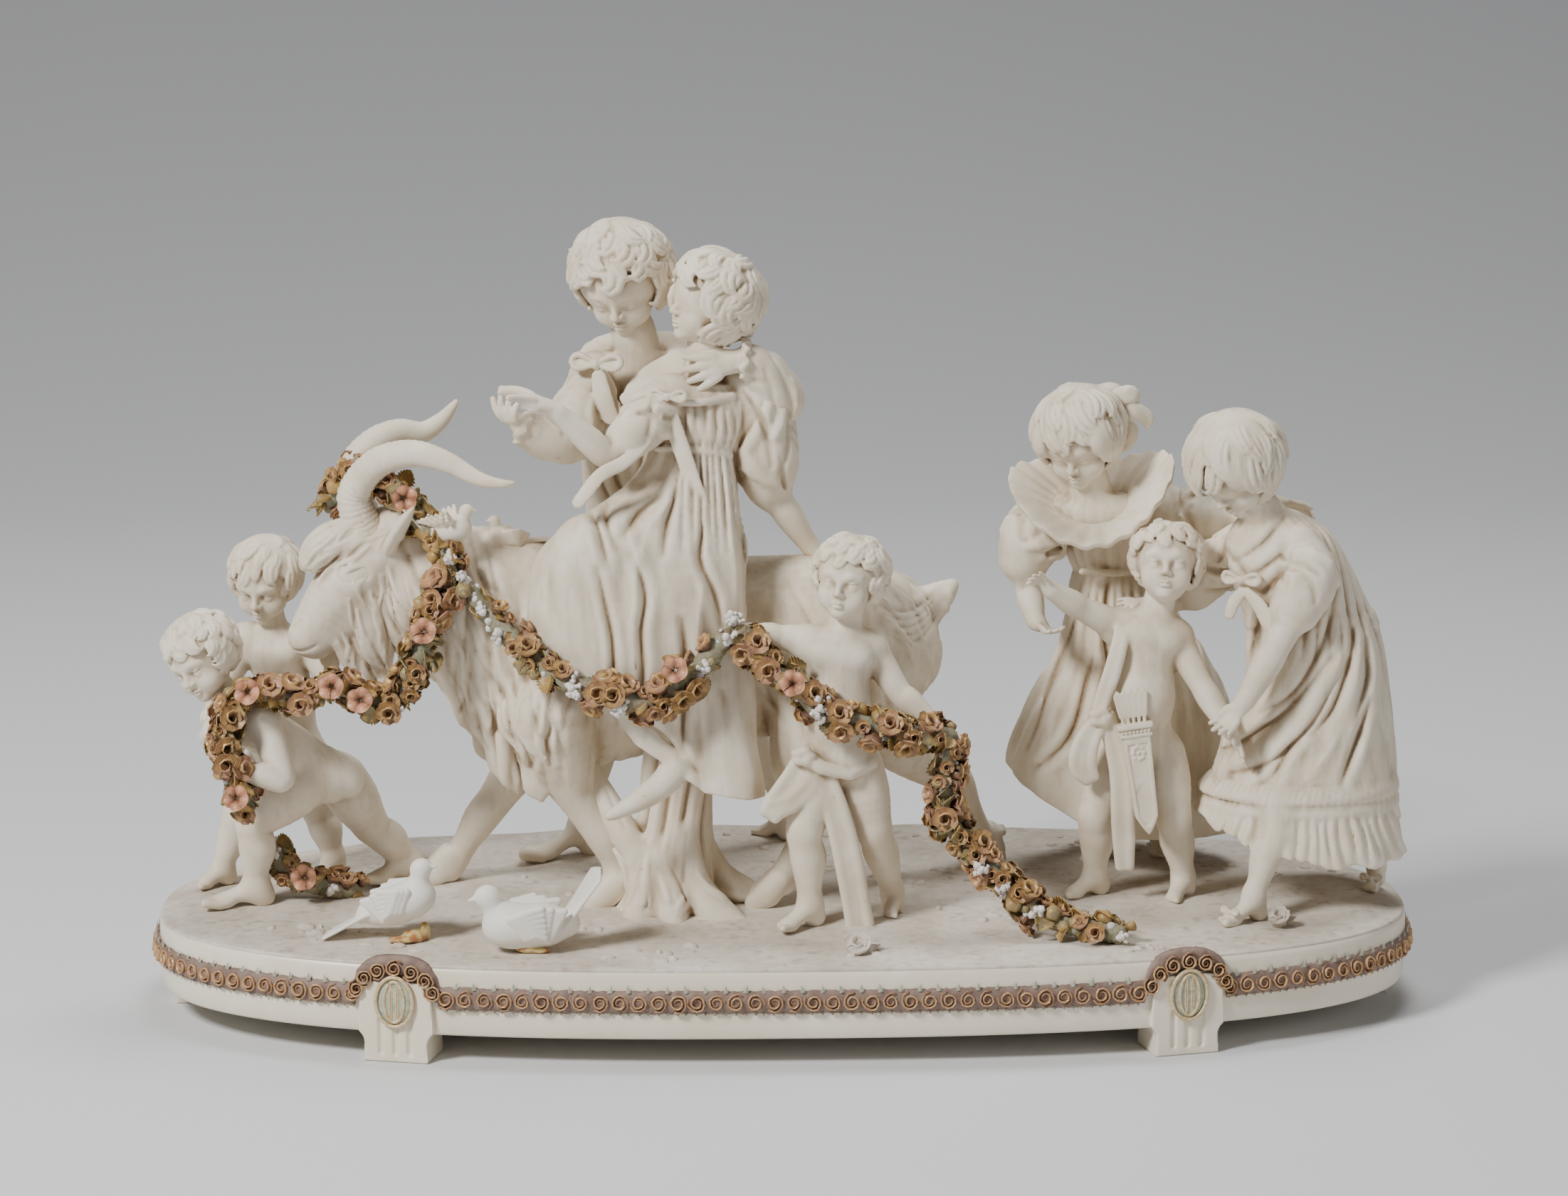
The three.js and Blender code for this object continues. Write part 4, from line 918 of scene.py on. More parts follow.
# ---------------------------------------------------------------------------------------------------
# Walking goat, which carries the girl. Its short hair hangs in locks from the neck, chest, shoulders
# and flanks, and the ringed horns sweep back. Biscuit porcelain, cast and stuck together with slip.
def ground_at(y):
    """Height of the ground in millimetres: level at the front, and rising a little to the back."""
    return max(48.5, 51.5 + 0.035 * y)


def creased(clay, lines, deep=2.2, wide=1.3, back=False):
    """Creases pressed into cloth along lines of places (x, z), seen from the front or the back. Each
    swells the cloth a little on both sides. Below 0, "deep" raises a ridge."""
    x, y, z = (low + clay.cell * np.arange(size) for low, size in zip(clay.low, clay.depth.shape))
    solid = clay.depth < 0
    skin = len(y) - 1 - solid[:, ::-1].argmax(1) if back else solid.argmax(1)
    pressed = np.zeros(skin.shape)
    for line in lines:
        points = curve(line)
        first = [max(0, int((points[:, k].min() - 6 * wide - axis[0]) / clay.cell))
            for k, axis in ((0, x), (1, z))]
        last = [max(1, int((points[:, k].max() + 6 * wide - axis[0]) / clay.cell))
            for k, axis in ((0, x), (1, z))]
        part = slice(first[0], last[0]), slice(first[1], last[1])
        here_x, here_z = x[part[0], None], z[None, part[1]]
        near, along = np.full(pressed[part].shape, 99.0), np.zeros(pressed[part].shape)
        for k, (start, end) in enumerate(zip(points, points[1:])):
            run = end - start
            gap_x, gap_z = here_x - start[0], here_z - start[1]
            share = np.clip((gap_x * run[0] + gap_z * run[1]) / (run @ run), 0, 1)
            gap = np.hypot(gap_x - share * run[0], gap_z - share * run[1])
            along = np.where(gap < near, (k + share) / (len(points) - 1), along)
            near = np.minimum(near, gap)
        taper = np.sin(math.pi * (0.05 + 0.9 * along)) ** 0.7
        near = near / wide
        pressed[part] += deep * taper * (np.exp(-(near**1.4))
            - 0.4 * np.exp(-(((near - 3.2) / 1.8) ** 2)))
    pressed = np.clip(pressed, -1.4 * abs(deep), 1.4 * abs(deep))
    away = np.abs(y[None, :, None] - y[skin][:, None])
    clay.depth += ((pressed * solid.any(1))[:, None]
        * np.clip(1.7 - away / (3 + abs(deep)), 0, 1)).astype(np.float32)


def slope_of(clay, points):
    """The way out of the clay at these points."""
    out = np.stack([clay.sample(points + axis, clay.depth) - clay.sample(points - axis, clay.depth)
        for axis in np.eye(3)], 1)
    return out / np.linalg.norm(out, axis=1)[:, None]


def locks(clay, starts, ways, rng, long, thick, sway=0.35, steps=6):
    """Locks of coat laid on the clay from these points, and combed these ways."""
    points, ways = np.array(starts, float), np.array(ways, float)
    turn = rng.uniform(-sway, sway, len(points))
    size = rng.uniform(0.7, 1.25, len(points))
    route = []
    for step in range(steps):
        for _ in range(3):
            out = slope_of(clay, points)
            points = points - np.clip(clay.sample(points, clay.depth), -2, 2)[:, None] * out
        share = step / (steps - 1)
        width = thick * size * (0.45 + 1.5 * share - 1.7 * share**2)
        route.append(np.column_stack([points + out * width[:, None] * 0.2, width]))
        way = ways + (turn * math.sin(2.5 * share))[:, None] * np.cross(out, ways)
        way = way - (way * out).sum(1)[:, None] * out
        points = points + way / np.linalg.norm(way, axis=1)[:, None] * (long * size / steps)[:, None]
    for lock in np.stack(route, 1):
        clay.roll(lock, 0.9)


goat = Clay((-262, -52, 44), (124, 86, 262), 1.0)
spine = curve(
    [
        (-152, 5, 166, 15, 20),
        (-140, 5, 168, 26, 40),
        (-116, 5, 170, 32, 53),
        (-80, 5, 174, 34, 50),
        (-38, 5, 177, 35, 46),
        (2, 5, 179, 34, 44),
        (32, 5, 180, 31, 42),
        (50, 5, 181, 24, 32),
        (58, 5, 184, 12, 18),
    ],
    3,
)
for place, later in zip(spine, spine[1:]):
    ahead = unit(later[:3] - place[:3])
    axes = np.array([ahead, (0, 1, 0), np.cross(ahead, (0, 1, 0))])
    long = min(34, place[0] + 166, 74 - place[0])
    goat.lump(place[:3], (long, place[3], place[4]), axes, blend=8)
for x, y, z, wide, deep in curve([(-112, 4, 182, 27, 44), (-130, 3, 188, 26, 44), (-146, 2, 196, 25, 42),
        (-160, 1, 203, 24, 38), (-172, 0, 209, 22, 34), (-184, -2, 216, 19, 26)], 3):
    goat.lump((x, y, z), (18, wide, deep), np.array([unit((-0.8, 0, 0.55)), (0, 1, 0),
        unit((0.55, 0, 0.8))]), blend=8)
goat.roll(curve([(-188, -3, 234, 18), (-206, -6, 227, 17), (-221, -8, 211, 14.5), (-232, -9, 197, 11.5),
    (-238, -10, 188, 9.5)], 4), 4)
goat.roll(curve([(-190, -3, 222, 15), (-208, -6, 206, 13), (-222, -8, 193, 10),
    (-233, -10, 184, 7)], 4), 4)
goat.roll([(-196, -3, 240, 13), (-186, -3, 232, 15)], 4)
LEG = (
    [(-118, -20, 150, 24), (-112, -20, 128, 17), (-106, -20, 110, 10.5), (-98, -19, 96, 8.5),
        (-91, -18, 86, 9), (-86, -17, 74, 7), (-85, -17, 64, 7), (-86, -17, 60, 8.5)],
    [(-126, 22, 140, 20), (-134, 24, 116, 13), (-145, 26, 98, 9.5), (-154, 26, 86, 9),
        (-162, 27, 73, 6.8), (-168, 27, 63, 7), (-171, 27, 60, 8)],
    [(22, -19, 165, 29), (14, -20, 140, 22), (8, -20, 122, 15), (9, -19, 108, 10.5), (12, -18, 98, 9),
        (8, -17, 84, 6.8), (3, -16, 72, 6.6), (-2, -17, 62, 7.5)],
    [(34, 24, 165, 28), (52, 31, 134, 20), (66, 36, 116, 13), (82, 41, 105, 10), (90, 44, 99, 9.5),
        (97, 50, 84, 7), (102, 55, 72, 6.8), (106, 60, 63, 7.5)],
)
for route in LEG:
    goat.roll(curve(route, 4), 5)
for x, y, lean in ((-88, -17, -1), (-175, 27, -1), (-7, -18, -1), (110, 63, 0.3)):
    ground = ground_at(y) - 1
    for toe in (-1, 1):
        hoof = [(x - lean * 4, y + toe * 3.6, ground + 14, 6.4),
            (x + lean * 2, y + toe * 4.2, ground + 7, 7), (x + lean * 8, y + toe * 4, ground + 2.4, 5.6)]
        goat.roll(hoof, 1.2, flat=((0, 1, 0), 0.75))
    goat.roll([(x + 6, y - 5, ground + 16, 2), (x + 6, y + 5, ground + 16, 2)], 1.5)
goat.roll(curve([(38, 5, 204, 12), (52, 5, 199, 12), (62, 5, 197, 11), (71, 5, 199, 9.5), (79, 5, 204, 7),
    (85, 5, 209, 3.4)], 4), 4, flat=((0, 1, 0), 0.75))
goat.roll(curve([(50, 5, 192, 10), (58, 5, 180, 8), (60, 4, 168, 6), (56, 3, 158, 4)], 4), 4)
for side in (-1, 1):
    ear = [(-196, -3 + side * 14, 232, 5), (-193, -3 + side * 21, 240, 7.5),
        (-189, -3 + side * 27, 248, 6.5), (-184, -3 + side * 32, 256, 2)]
    goat.roll(curve(ear, 4), 1.5, flat=((-0.85, side * -0.3, 0.45), 0.5))
    goat.roll([(-202, -3 + side * 20, 237, 2.6), (-198, -3 + side * 25, 244, 3.4),
        (-192, -3 + side * 29, 250, 1.8)], 1, dent=True)


rng = np.random.default_rng(2)
for back in (False, True):
    for left, right, low, high, lean, count, long, deep, wide in (
        (-196, -142, 184, 232, 0.35, 34, 30, 1.0, 1.2),
        (-172, -112, 124, 200, 0.2, 44, 34, 1.2, 1.3),
        (-132, -70, 112, 205, -0.1, 34, 30, 0.9, 1.2),
        (-75, 10, 128, 176, 0.35, 20, 24, 0.6, 1.2),
        (5, 70, 118, 205, 0.5, 28, 28, 0.9, 1.2),
    ):
        lines = []
        for _ in range(count):
            place = np.array((rng.uniform(left, right), rng.uniform(low, high)))
            way = unit((lean + rng.uniform(-0.2, 0.2), -1))
            size = long * rng.uniform(0.6, 1.3)
            sway = rng.uniform(-3, 3)
            across = np.array((-way[1], way[0]))
            lines.append([place + way * size * share + across * sway * math.sin(4 * share)
                for share in (-0.5, -0.17, 0.17, 0.5)])
        creased(goat, lines, deep, wide, back)
    creased(goat, [[(44, 200 + k), (58, 193 + 1.8 * k), (70, 195 + 1.8 * k), (82, 206 + k)]
        for k in (-4, -2, 0, 2, 4)], 1.4, 1.0, back)
coat = goat.skin()[0]
for low, high, way, count, long, thick in (
    ((-205, -60, 182), (-150, 60, 226), (0.3, 0, -1), 40, 24, 1.7),
    ((-175, -60, 115), (-120, 60, 170), (0.15, 0, -1), 70, 24, 2.0),
    ((40, -30, 150), (84, 40, 214), (0.6, 0, -0.8), 40, 18, 1.5),
):
    spots = coat[np.all((coat > low) & (coat < high), 1)]
    starts = spots[rng.choice(len(spots), count)]
    locks(goat, starts, np.tile(way, (count, 1)), rng, long, thick)
for x, y, z, long in ((-151, 2, 136, 20), (-146, -10, 130, 20), (-138, -16, 124, 18),
        (-126, -24, 118, 14), (-140, 12, 128, 18), (-128, 22, 122, 14)):
    for strand in range(5):
        lean, turn = rng.uniform(-3, 3, 2)
        goat.roll(curve([(x + lean, y + turn, z + 14, 4.5), (x + lean, y + turn, z, 3.5),
            (x + lean * 1.5 + 2, y + turn, z - long * 0.5, 2.5),
            (x + 4, y, z - long * 0.8, 0.8)], 3), 1.5)
# The head is finer: slanting eyes under heavy lids, nostrils, mouth, and a tuft between the horns.
muzzle = Clay((-256, -36, 150), (-178, 30, 256), 0.6)
muzzle.roll(curve([(-192, -3, 236, 17), (-206, -6, 227, 17.4), (-221, -8, 211, 15), (-232, -9, 197, 12),
    (-238, -10, 188, 10)], 4), 4)
muzzle.roll(curve([(-190, -3, 222, 14), (-208, -6, 206, 13.4), (-222, -8, 193, 10.4),
    (-233, -10, 184, 7.4)], 4), 4)
for side in (-1, 1):
    y = -7 + side * 14
    muzzle.lump((-213.5, y - side * 0.5, 221.5), (7.5, 4.6, 5), blend=2, dent=True)
    muzzle.lump((-213, y - side * 3.4, 221.5), (5, 4.4, 3.4),
        np.array([unit((1, 0, 0.45)), (0, 1, 0), unit((-0.45, 0, 1))]), blend=0.3)
    muzzle.roll(curve([(-220, y - side * 1.2, 219.5, 1.3), (-214, y + side * 1.2, 225.2, 2.0),
        (-206, y - side * 0.4, 225.5, 1.4)], 4), 0.5)
    muzzle.roll(curve([(-220, y - side * 1.2, 218.8, 1.2), (-212, y + side * 0.8, 217.2, 1.5),
        (-206, y - side * 0.4, 222, 1.2)], 4), 0.5)
    muzzle.lump((-214, y + side * 1.4, 221.4), (1.5, 1.2, 1.5), blend=0.3, dent=True)
    muzzle.roll([(-243, -10 + side * 6.5, 193, 1.5), (-240, -10 + side * 8, 196.5, 1.2)], 1, dent=True)
    muzzle.roll(curve([(-248, -10, 183, 0.9), (-240, -10 + side * 7.6, 182, 0.9),
        (-231, -10 + side * 9.6, 186, 0.8)], 4), 0.8, dent=True)
muzzle.roll(
    curve([(-206, -7, 238, 8), (-218, -9, 239, 9), (-229, -11, 233, 8.5), (-235, -12, 227, 6)], 4),
    2, flat=((0, 1, 0), 1.3))
muzzle.lump((-211, -7, 236), (13, 14, 9), blend=3)
muzzle.lump((-202, -6, 229), (9, 16, 9), blend=3)
muzzle.roll(curve([(-222, -9, 190, 7), (-217, -9, 180, 7), (-211, -9, 170, 5),
    (-207, -9, 161, 1.5)], 4), 2.5)
muzzle.roll(curve([(-208, -8, 194, 11), (-205, -8, 182, 8.5), (-203, -8, 171, 4),
    (-202, -8, 165, 1.5)], 4), 2.5)
skin = muzzle.skin()[0]
x, y, z = skin.T
for here, way, count, long, thick in (
    ((z > 224) & (x < -196) & (z > 230 + 0.5 * (x + 214)), (-0.75, 0, -0.6), 75, 18, 1.4),
    ((x > -218) & (z < 218 + 0.3 * (x + 216)) & (z > 184), (0.15, 0, -1), 110, 22, 1.3),
    ((x > -228) & (z < 192), (0.4, 0, -1), 70, 18, 1.2),
):
    starts = skin[here][rng.choice(here.sum(), count)]
    locks(muzzle, starts, np.tile(way, (count, 1)), rng, long, thick, 0.5)
horns = Clay((-232, -50, 228), (-124, 34, 306), 0.7)
for route in ([(-204, -9, 236, 9.4), (-212, -11, 250, 8.8), (-213, -13, 262, 8.2), (-202, -18, 276, 7.6),
        (-185, -24, 282, 6.8), (-168, -30, 279, 5.4), (-151, -36, 271, 3.6), (-140, -39, 269, 2.4),
        (-134, -40, 269.6, 1.0)], [(-205, 3, 238, 9.4), (-214, 5, 254, 8.8), (-216, 7, 268, 8.2),
        (-206, 11, 281, 7.6), (-193, 16, 287, 6.4), (-181, 20, 286, 5.4), (-172, 23, 291, 4.2),
        (-165, 26, 299, 2.0), (-164, 26.5, 301, 1.0)]):
    shaft = curve(route, 8)
    horns.roll(shaft, 0.8)
    ways = np.gradient(shaft[:, :3], axis=0)
    steps = np.linalg.norm(ways, axis=1)
    gone = np.cumsum(steps)
    cells = np.argwhere(np.abs(horns.depth) < 2.5)
    place = horns.low + horns.cell * cells
    near = np.concatenate([np.linalg.norm(some[:, None] - shaft[None, :, :3], axis=2).argmin(1)
        for some in np.array_split(place, 16)])
    along = gone[near] + ((place - shaft[near, :3]) * ways[near]).sum(1) / steps[near]
    close = np.linalg.norm(place - shaft[near, :3], axis=1) < shaft[near, 3] + 3
    ring = 0.34 * np.sin(2.1 * along + 0.5 * np.sin(0.9 * along)) * np.clip(1.2
        - 1.3 * along / gone[-1], 0, 1) * close
    horns.depth[tuple(cells.T)] += ring.astype(np.float32)
fired("walking_goat", [goat, muzzle, horns], bisque)

# ---------------------------------------------------------------------------------------------------
# Two small doves at the goat's neck: one raises its wings, and the other is perched. They are cast
# in biscuit porcelain, and stuck on with slip before the firing.
class Seat:
    """A place on a figure with its own directions, side, front and up, and a size of its own."""

    def __init__(self, at, front, up=(0, 0, 1), size=1.0):
        self.at, self.size = np.array(at, float), size
        front = unit(front)
        side = unit(np.cross(front, up))
        self.axes = np.array([side, front, np.cross(side, front)])

    def __call__(self, side, front, up):
        return self.at + self.size * np.array([side, front, up]) @ self.axes

    def lump(self, clay, at, radii, blend, dent=False, **more):
        clay.lump(self(*at), np.array(radii) * self.size, self.axes, blend * self.size, dent, **more)

    def roll(self, clay, points, blend, dent=False, **more):
        made = [[*self(*p[:3]), p[3] * self.size] for p in points]
        clay.roll(made, blend * self.size, dent=dent, **more)


def dove(clay, seat, wing_lift, tail_lift, head_turn=0.0, folded=True, plumes=9):
    """A dove of so many sizes: breast, head with beak and eyes, wings and a tail of long feathers."""
    lump, roll = seat.lump, seat.roll
    lump(clay, (0, 0, 0), (0.55, 0.95, 0.52), 0.2)
    lump(clay, (0, 0.5, 0.08), (0.46, 0.5, 0.46), 0.25)
    head = (head_turn, 0.92, 0.72)
    roll(clay, [(0, 0.55, 0.2, 0.36), (head_turn * 0.6, 0.8, 0.5, 0.25), (*head, 0.25)], 0.12)
    lump(clay, head, (0.25, 0.3, 0.25), 0.08)
    roll(clay, [(head[0] * 1.15, 1.16, 0.7, 0.08), (head[0] * 1.3, 1.34, 0.63, 0.03)], 0.05)
    for side in (-1, 1):
        lump(clay, (head[0] + side * 0.22, 0.98, 0.77), (0.035, 0.045, 0.045), 0.01)
    tail = seat(0, -0.8, 0.05), unit(seat.axes[2] * tail_lift - seat.axes[1])
    for k in range(7):
        fan = (k - 3) * 0.075
        way = unit(tail[1] + seat.axes[0] * fan)
        reach = seat.size * (1.45 - 0.04 * abs(k - 3))
        start = tail[0] + seat.axes[0] * (k - 3) * 0.08 * seat.size
        route = [(*(start - way * 0.3 * seat.size), 0.2 * seat.size),
            (*(start + way * reach * 0.5), 0.13 * seat.size), (*(start + way * reach), 0.1 * seat.size)]
        clay.roll(route, 0.03 * seat.size, flat=(np.cross(way, seat.axes[0]), 0.42))
    roll(clay, [(0, -0.4, 0.05, 0.45), (0, -0.9, 0.05, 0.3)], 0.2)
    for side in (-1, 1):
        for row, (start, long, count) in enumerate(((-0.1, 1.15, plumes), (0.1, 0.75, plumes - 2),
                (0.25, 0.45, plumes - 3))):
            for k in range(count):
                share = k / (count - 1)
                if folded:
                    root = (side * (0.5 + 0.05 * row), 0.45 - 0.35 * share - 0.1 * row,
                        0.3 - 0.42 * share + 0.05 * row)
                    tip = (side * (0.52 + 0.05 * row), root[1] - long * (1.05 - 0.6 * share),
                        root[2] - 0.1 + 0.25 * (1 - share))
                else:
                    root = (side * (0.3 + 0.15 * share), 0.35 - 0.45 * share, 0.3)
                    tip = (side * (0.5 + 0.35 * (1 - share)), root[1] - 0.1 - 0.75 * long * share,
                        0.3 + wing_lift * long * (1.1 - 0.45 * share))
                roll(clay, [(*root, 0.12), (*tip, 0.085)], 0.012)


neck_dove = Clay((-204, -52, 228), (-126, 4, 286), 0.5)
dove(neck_dove, Seat((-167, -28, 244), (0.9, -0.15, 0.15), size=12), 0.45, 1.5, folded=False, plumes=7)
perched = Clay((-166, -32, 212), (-110, 18, 264), 0.5)
dove(perched, Seat((-138, -6, 236), (-0.85, -0.45, 0.25), size=10.5), 0, 0.25)
fired("neck_doves", [neck_dove, perched], bisque, 0.25)

# ---------------------------------------------------------------------------------------------------
# Boy behind the goat, who bends over the riding girl with an arm round her. Blouse with a wide collar
# and a bow, breeches, bare calves and feet. Biscuit porcelain.
def bare_head(clay, seat):
    """A calm child's head of the usual proportions: its size is half its height."""
    lump, roll = seat.lump, seat.roll
    lump(clay, (0, -0.1, 0.22), (0.76, 0.86, 0.78), 0.1)
    lump(clay, (0, 0.2, 0.08), (0.64, 0.6, 0.62), 0.2)
    lump(clay, (0, 0.16, -0.42), (0.55, 0.6, 0.54), 0.2)
    for side in (-1, 1):
        lump(clay, (side * 0.34, 0.44, -0.42), (0.25, 0.25, 0.26), 0.2)
    lump(clay, (0, 0.56, -0.8), (0.2, 0.17, 0.15), 0.14)
    for side in (-1, 1):
        lump(clay, (side * 0.3, 0.83, -0.1), (0.19, 0.15, 0.105), 0.12, True)
        lump(clay, (side * 0.29, 0.6, -0.11), (0.16, 0.15, 0.13), 0.02)
        over, under = -0.104 * seat.size, -0.09 * seat.size
        lump(clay, (side * 0.29, 0.6, -0.1), (0.2, 0.185, 0.165), 0.012, cut=((0, -0.35, -0.94), over))
        lump(clay, (side * 0.29, 0.6, -0.11), (0.19, 0.172, 0.155), 0.012, cut=((0, -0.15, 0.99), under))
        roll(clay, [(side * 0.1, 0.76, 0.1, 0.05), (side * 0.28, 0.78, 0.16, 0.055),
            (side * 0.46, 0.64, 0.12, 0.04)], 0.14)
        roll(clay, [(side * 0.73, 0.0, -0.02, 0.1), (side * 0.8, -0.1, -0.02, 0.085),
            (side * 0.78, -0.06, -0.24, 0.075), (side * 0.7, 0.02, -0.32, 0.07)], 0.04)
        lump(clay, (side * 0.82, -0.0, -0.12), (0.06, 0.07, 0.1), 0.03, True)
    roll(clay, [(0, 0.74, 0.08, 0.05), (0, 0.83, -0.14, 0.055), (0, 0.9, -0.3, 0.085)], 0.1)
    for side in (-1, 1):
        lump(clay, (side * 0.095, 0.82, -0.33), (0.06, 0.08, 0.055), 0.04)
        lump(clay, (side * 0.045, 0.9, -0.405), (0.025, 0.04, 0.03), 0.02, True)
        roll(clay, [(0.0, 0.8, -0.555, 0.035), (side * 0.06, 0.8, -0.535, 0.04),
            (side * 0.17, 0.7, -0.575, 0.02)], 0.03)
    roll(clay, [(-0.09, 0.755, -0.635, 0.04), (0, 0.775, -0.64, 0.05), (0.09, 0.755, -0.635, 0.04)], 0.04)
    roll(clay, [(-0.18, 0.72, -0.585, 0.012), (0, 0.84, -0.592, 0.014),
        (0.18, 0.72, -0.585, 0.012)], 0.025, True)
    roll(clay, [(0, 0.83, -0.42, 0.02), (0, 0.82, -0.5, 0.02)], 0.04, True)


def hair(clay, seat, seed, count=84, thick=0.17, long=0.64, curl=1.0, rise=1.1, low=-0.5, part=0,
        full=(0.84, 0.87, 0.82), fringe=0.6, temples=False):
    """Curled locks of three strands all over the head. They grow away from the crown, and leave the
    face and the nape free. "part" combs them to one side, and "temples" fills the hair out there."""
    rng = np.random.default_rng(seed)
    middle = np.array([0, -0.14, 0.22])
    seat.lump(clay, middle, full, 0.05)
    behind = ((0, 0.83, -0.55), 0.4 * seat.size)
    seat.lump(clay, middle, 1.1 * np.array(full), 0.04, cut=behind)
    crown = unit([0, -0.4, 0.9])
    golden_angle = 2.39996
    for i in range(count):
        up = 1 - (i + 0.5) / count * (1 - low)
        around = i * golden_angle + rng.uniform(-0.25, 0.25)
        wide = math.sqrt(1 - up * up)
        out = np.array([wide * math.sin(around), wide * math.cos(around), up])
        if out[1] > 0.45 and out[2] < fringe or out[1] > 0.1 and out[2] < -0.05:
            continue
        down = unit(np.cross(np.cross(out, out - 2.5 * crown), out) + 1e-3)
        down = unit(down + np.array([part, 0, 0]) * max(0, out[2]))
        across = np.cross(out, down) * rng.choice((-1, 1))
        turn, size = rng.uniform(0.5, 1.1) * curl, rng.uniform(0.75, 1.2)
        high = rng.uniform(-0.03, 0.05)
        lock, point = [], out
        for step in range(7):
            share = step / 6
            lift = rise - 0.07 + high + 0.16 * share * (1 - 0.45 * share**3)
            width = thick * size * (0.55 + 1.2 * share - 1.35 * share**2.5)
            lock.append((point, lift, width))
            angle = turn * (2.6 * share**1.5 - 0.5)
            point = unit(point + (math.cos(angle) * down + math.sin(angle) * across) * long / 6)
        for strand in (-1, 0, 1):
            points = []
            for (point, lift, width), (later, *_) in zip(lock, lock[1:] + lock[-1:]):
                beside = unit(np.cross(point, later - point) + 1e-6)
                at = (point * lift + beside * strand * width * 0.92) * np.array(full) + middle
                points.append((*(at - 0.2 * abs(strand) * width * point), 0.5 * width))
            seat.roll(clay, points, 0.008)
    for side in (-1, 1) if temples else ():
        seat.lump(clay, (side * 0.68, 0.46, 0.3), (0.24, 0.34, 0.42), 0.1)


def head(corner, opposite, seat, seed, **style):
    """A head with its hair, in a box of fine clay between two corners."""
    clay = Clay(corner, opposite, 0.55)
    bare_head(clay, seat)
    hair(clay, seat, seed, **style)
    return clay


def hand(clay, wrist, tips, palm, size, curl=0.35, spread=0.2, thumb=1):
    """A child's hand from the wrist to the finger tips. "palm" is the way the palm faces."""
    wrist, tips = np.array(wrist, float), np.array(tips, float)
    long = np.linalg.norm(tips - wrist)
    seat = Seat(wrist, tips - wrist, up=-np.asarray(palm, float), size=long)
    thick = size / long
    seat.roll(clay, [(0, 0.02, 0, 0.62 * thick), (0, 0.2, 0, 0.6 * thick)], 0.12)
    seat.lump(clay, (0, 0.34, 0), (0.19, 0.26, 0.1), 0.1)
    for i, length in enumerate((0.5, 0.58, 0.54, 0.42)):
        side = (i - 1.5) * 0.105 * thumb
        fan = (i - 1.5) * spread * thumb
        points = []
        at, lean = np.array([side, 0.5, 0.0]), -0.1
        for width in (0.076, 0.074, 0.067, 0.055):
            points.append((*at, width))
            lean -= curl * (0.6 + 0.15 * i)
            way = np.array([math.sin(fan), math.cos(fan) * math.cos(lean), math.sin(lean)])
            at = at + way * length / 3.2
        seat.roll(clay, points, 0.035)
    base = -0.17 * thumb
    seat.roll(clay, [(base * 0.5, 0.2, -0.03, 0.085), (base * 1.35, 0.4, -0.08, 0.075),
        (base * 1.5, 0.62, -0.13, 0.055)], 0.06)


def foot(clay, ankle, toe, ground, size):
    """A bare foot from the ankle to the toes, whose sole is on the ground."""
    ankle, toe = np.array(ankle, float), np.array([*toe, ground])
    long = np.linalg.norm(toe[:2] - ankle[:2]) * 1.12
    seat = Seat((ankle[0], ankle[1], ground), (toe[0] - ankle[0], toe[1] - ankle[1], 0), size=long)
    high = size / long
    rise = (ankle[2] - ground) / long
    seat.roll(clay, [(0, 0, rise, 0.9 * high), (0, -0.12, 0.7 * high, 0.9 * high),
        (0, -0.16, 0.55 * high, 0.7 * high)], 0.15)
    seat.roll(clay, [(0, 0.0, rise * 0.75, 0.8 * high), (0, 0.38, 0.85 * high, 0.7 * high),
        (0, 0.66, 0.45 * high, 0.55 * high)], 0.2, flat=((0, 0, 1), 0.85))
    seat.lump(clay, (0, 0.6, 0.36 * high), (0.2, 0.2, 0.5 * high), 0.12)
    for i, (length, width) in enumerate(((0.98, 0.085), (0.95, 0.068), (0.9, 0.062), (0.84, 0.058),
            (0.77, 0.052))):
        side = (i - 1.9) * 0.098
        seat.roll(clay, [(side * 0.8, 0.66, 0.3 * high, width),
            (side, length - 0.06, 0.07 + width * 0.6, width)], 0.03)


def leg(clay, hip, knee, ankle, toe, size, ground):
    """A child's bare leg with its thigh, knee and calf, and its foot."""
    hip, knee, ankle = (np.array(p, float) for p in (hip, knee, ankle))
    back = np.cross(np.cross(ankle - hip, knee - (hip + ankle) / 2), ankle - hip)
    back = back / max(1e-9, np.linalg.norm(back))
    stations = [
        (*hip, size),
        (*(0.6 * hip + 0.4 * knee), 1.0 * size),
        (*(0.2 * hip + 0.8 * knee), 0.8 * size),
        (*knee, 0.74 * size),
        (*(0.82 * knee + 0.18 * ankle), 0.68 * size),
        (*(0.6 * knee + 0.4 * ankle - 0.1 * size * back), 0.72 * size),
        (*(0.25 * knee + 0.75 * ankle), 0.52 * size),
        (*ankle, 0.45 * size),
    ]
    clay.roll(curve(stations, 3), 3)
    foot(clay, ankle, toe, ground, 0.5 * size)


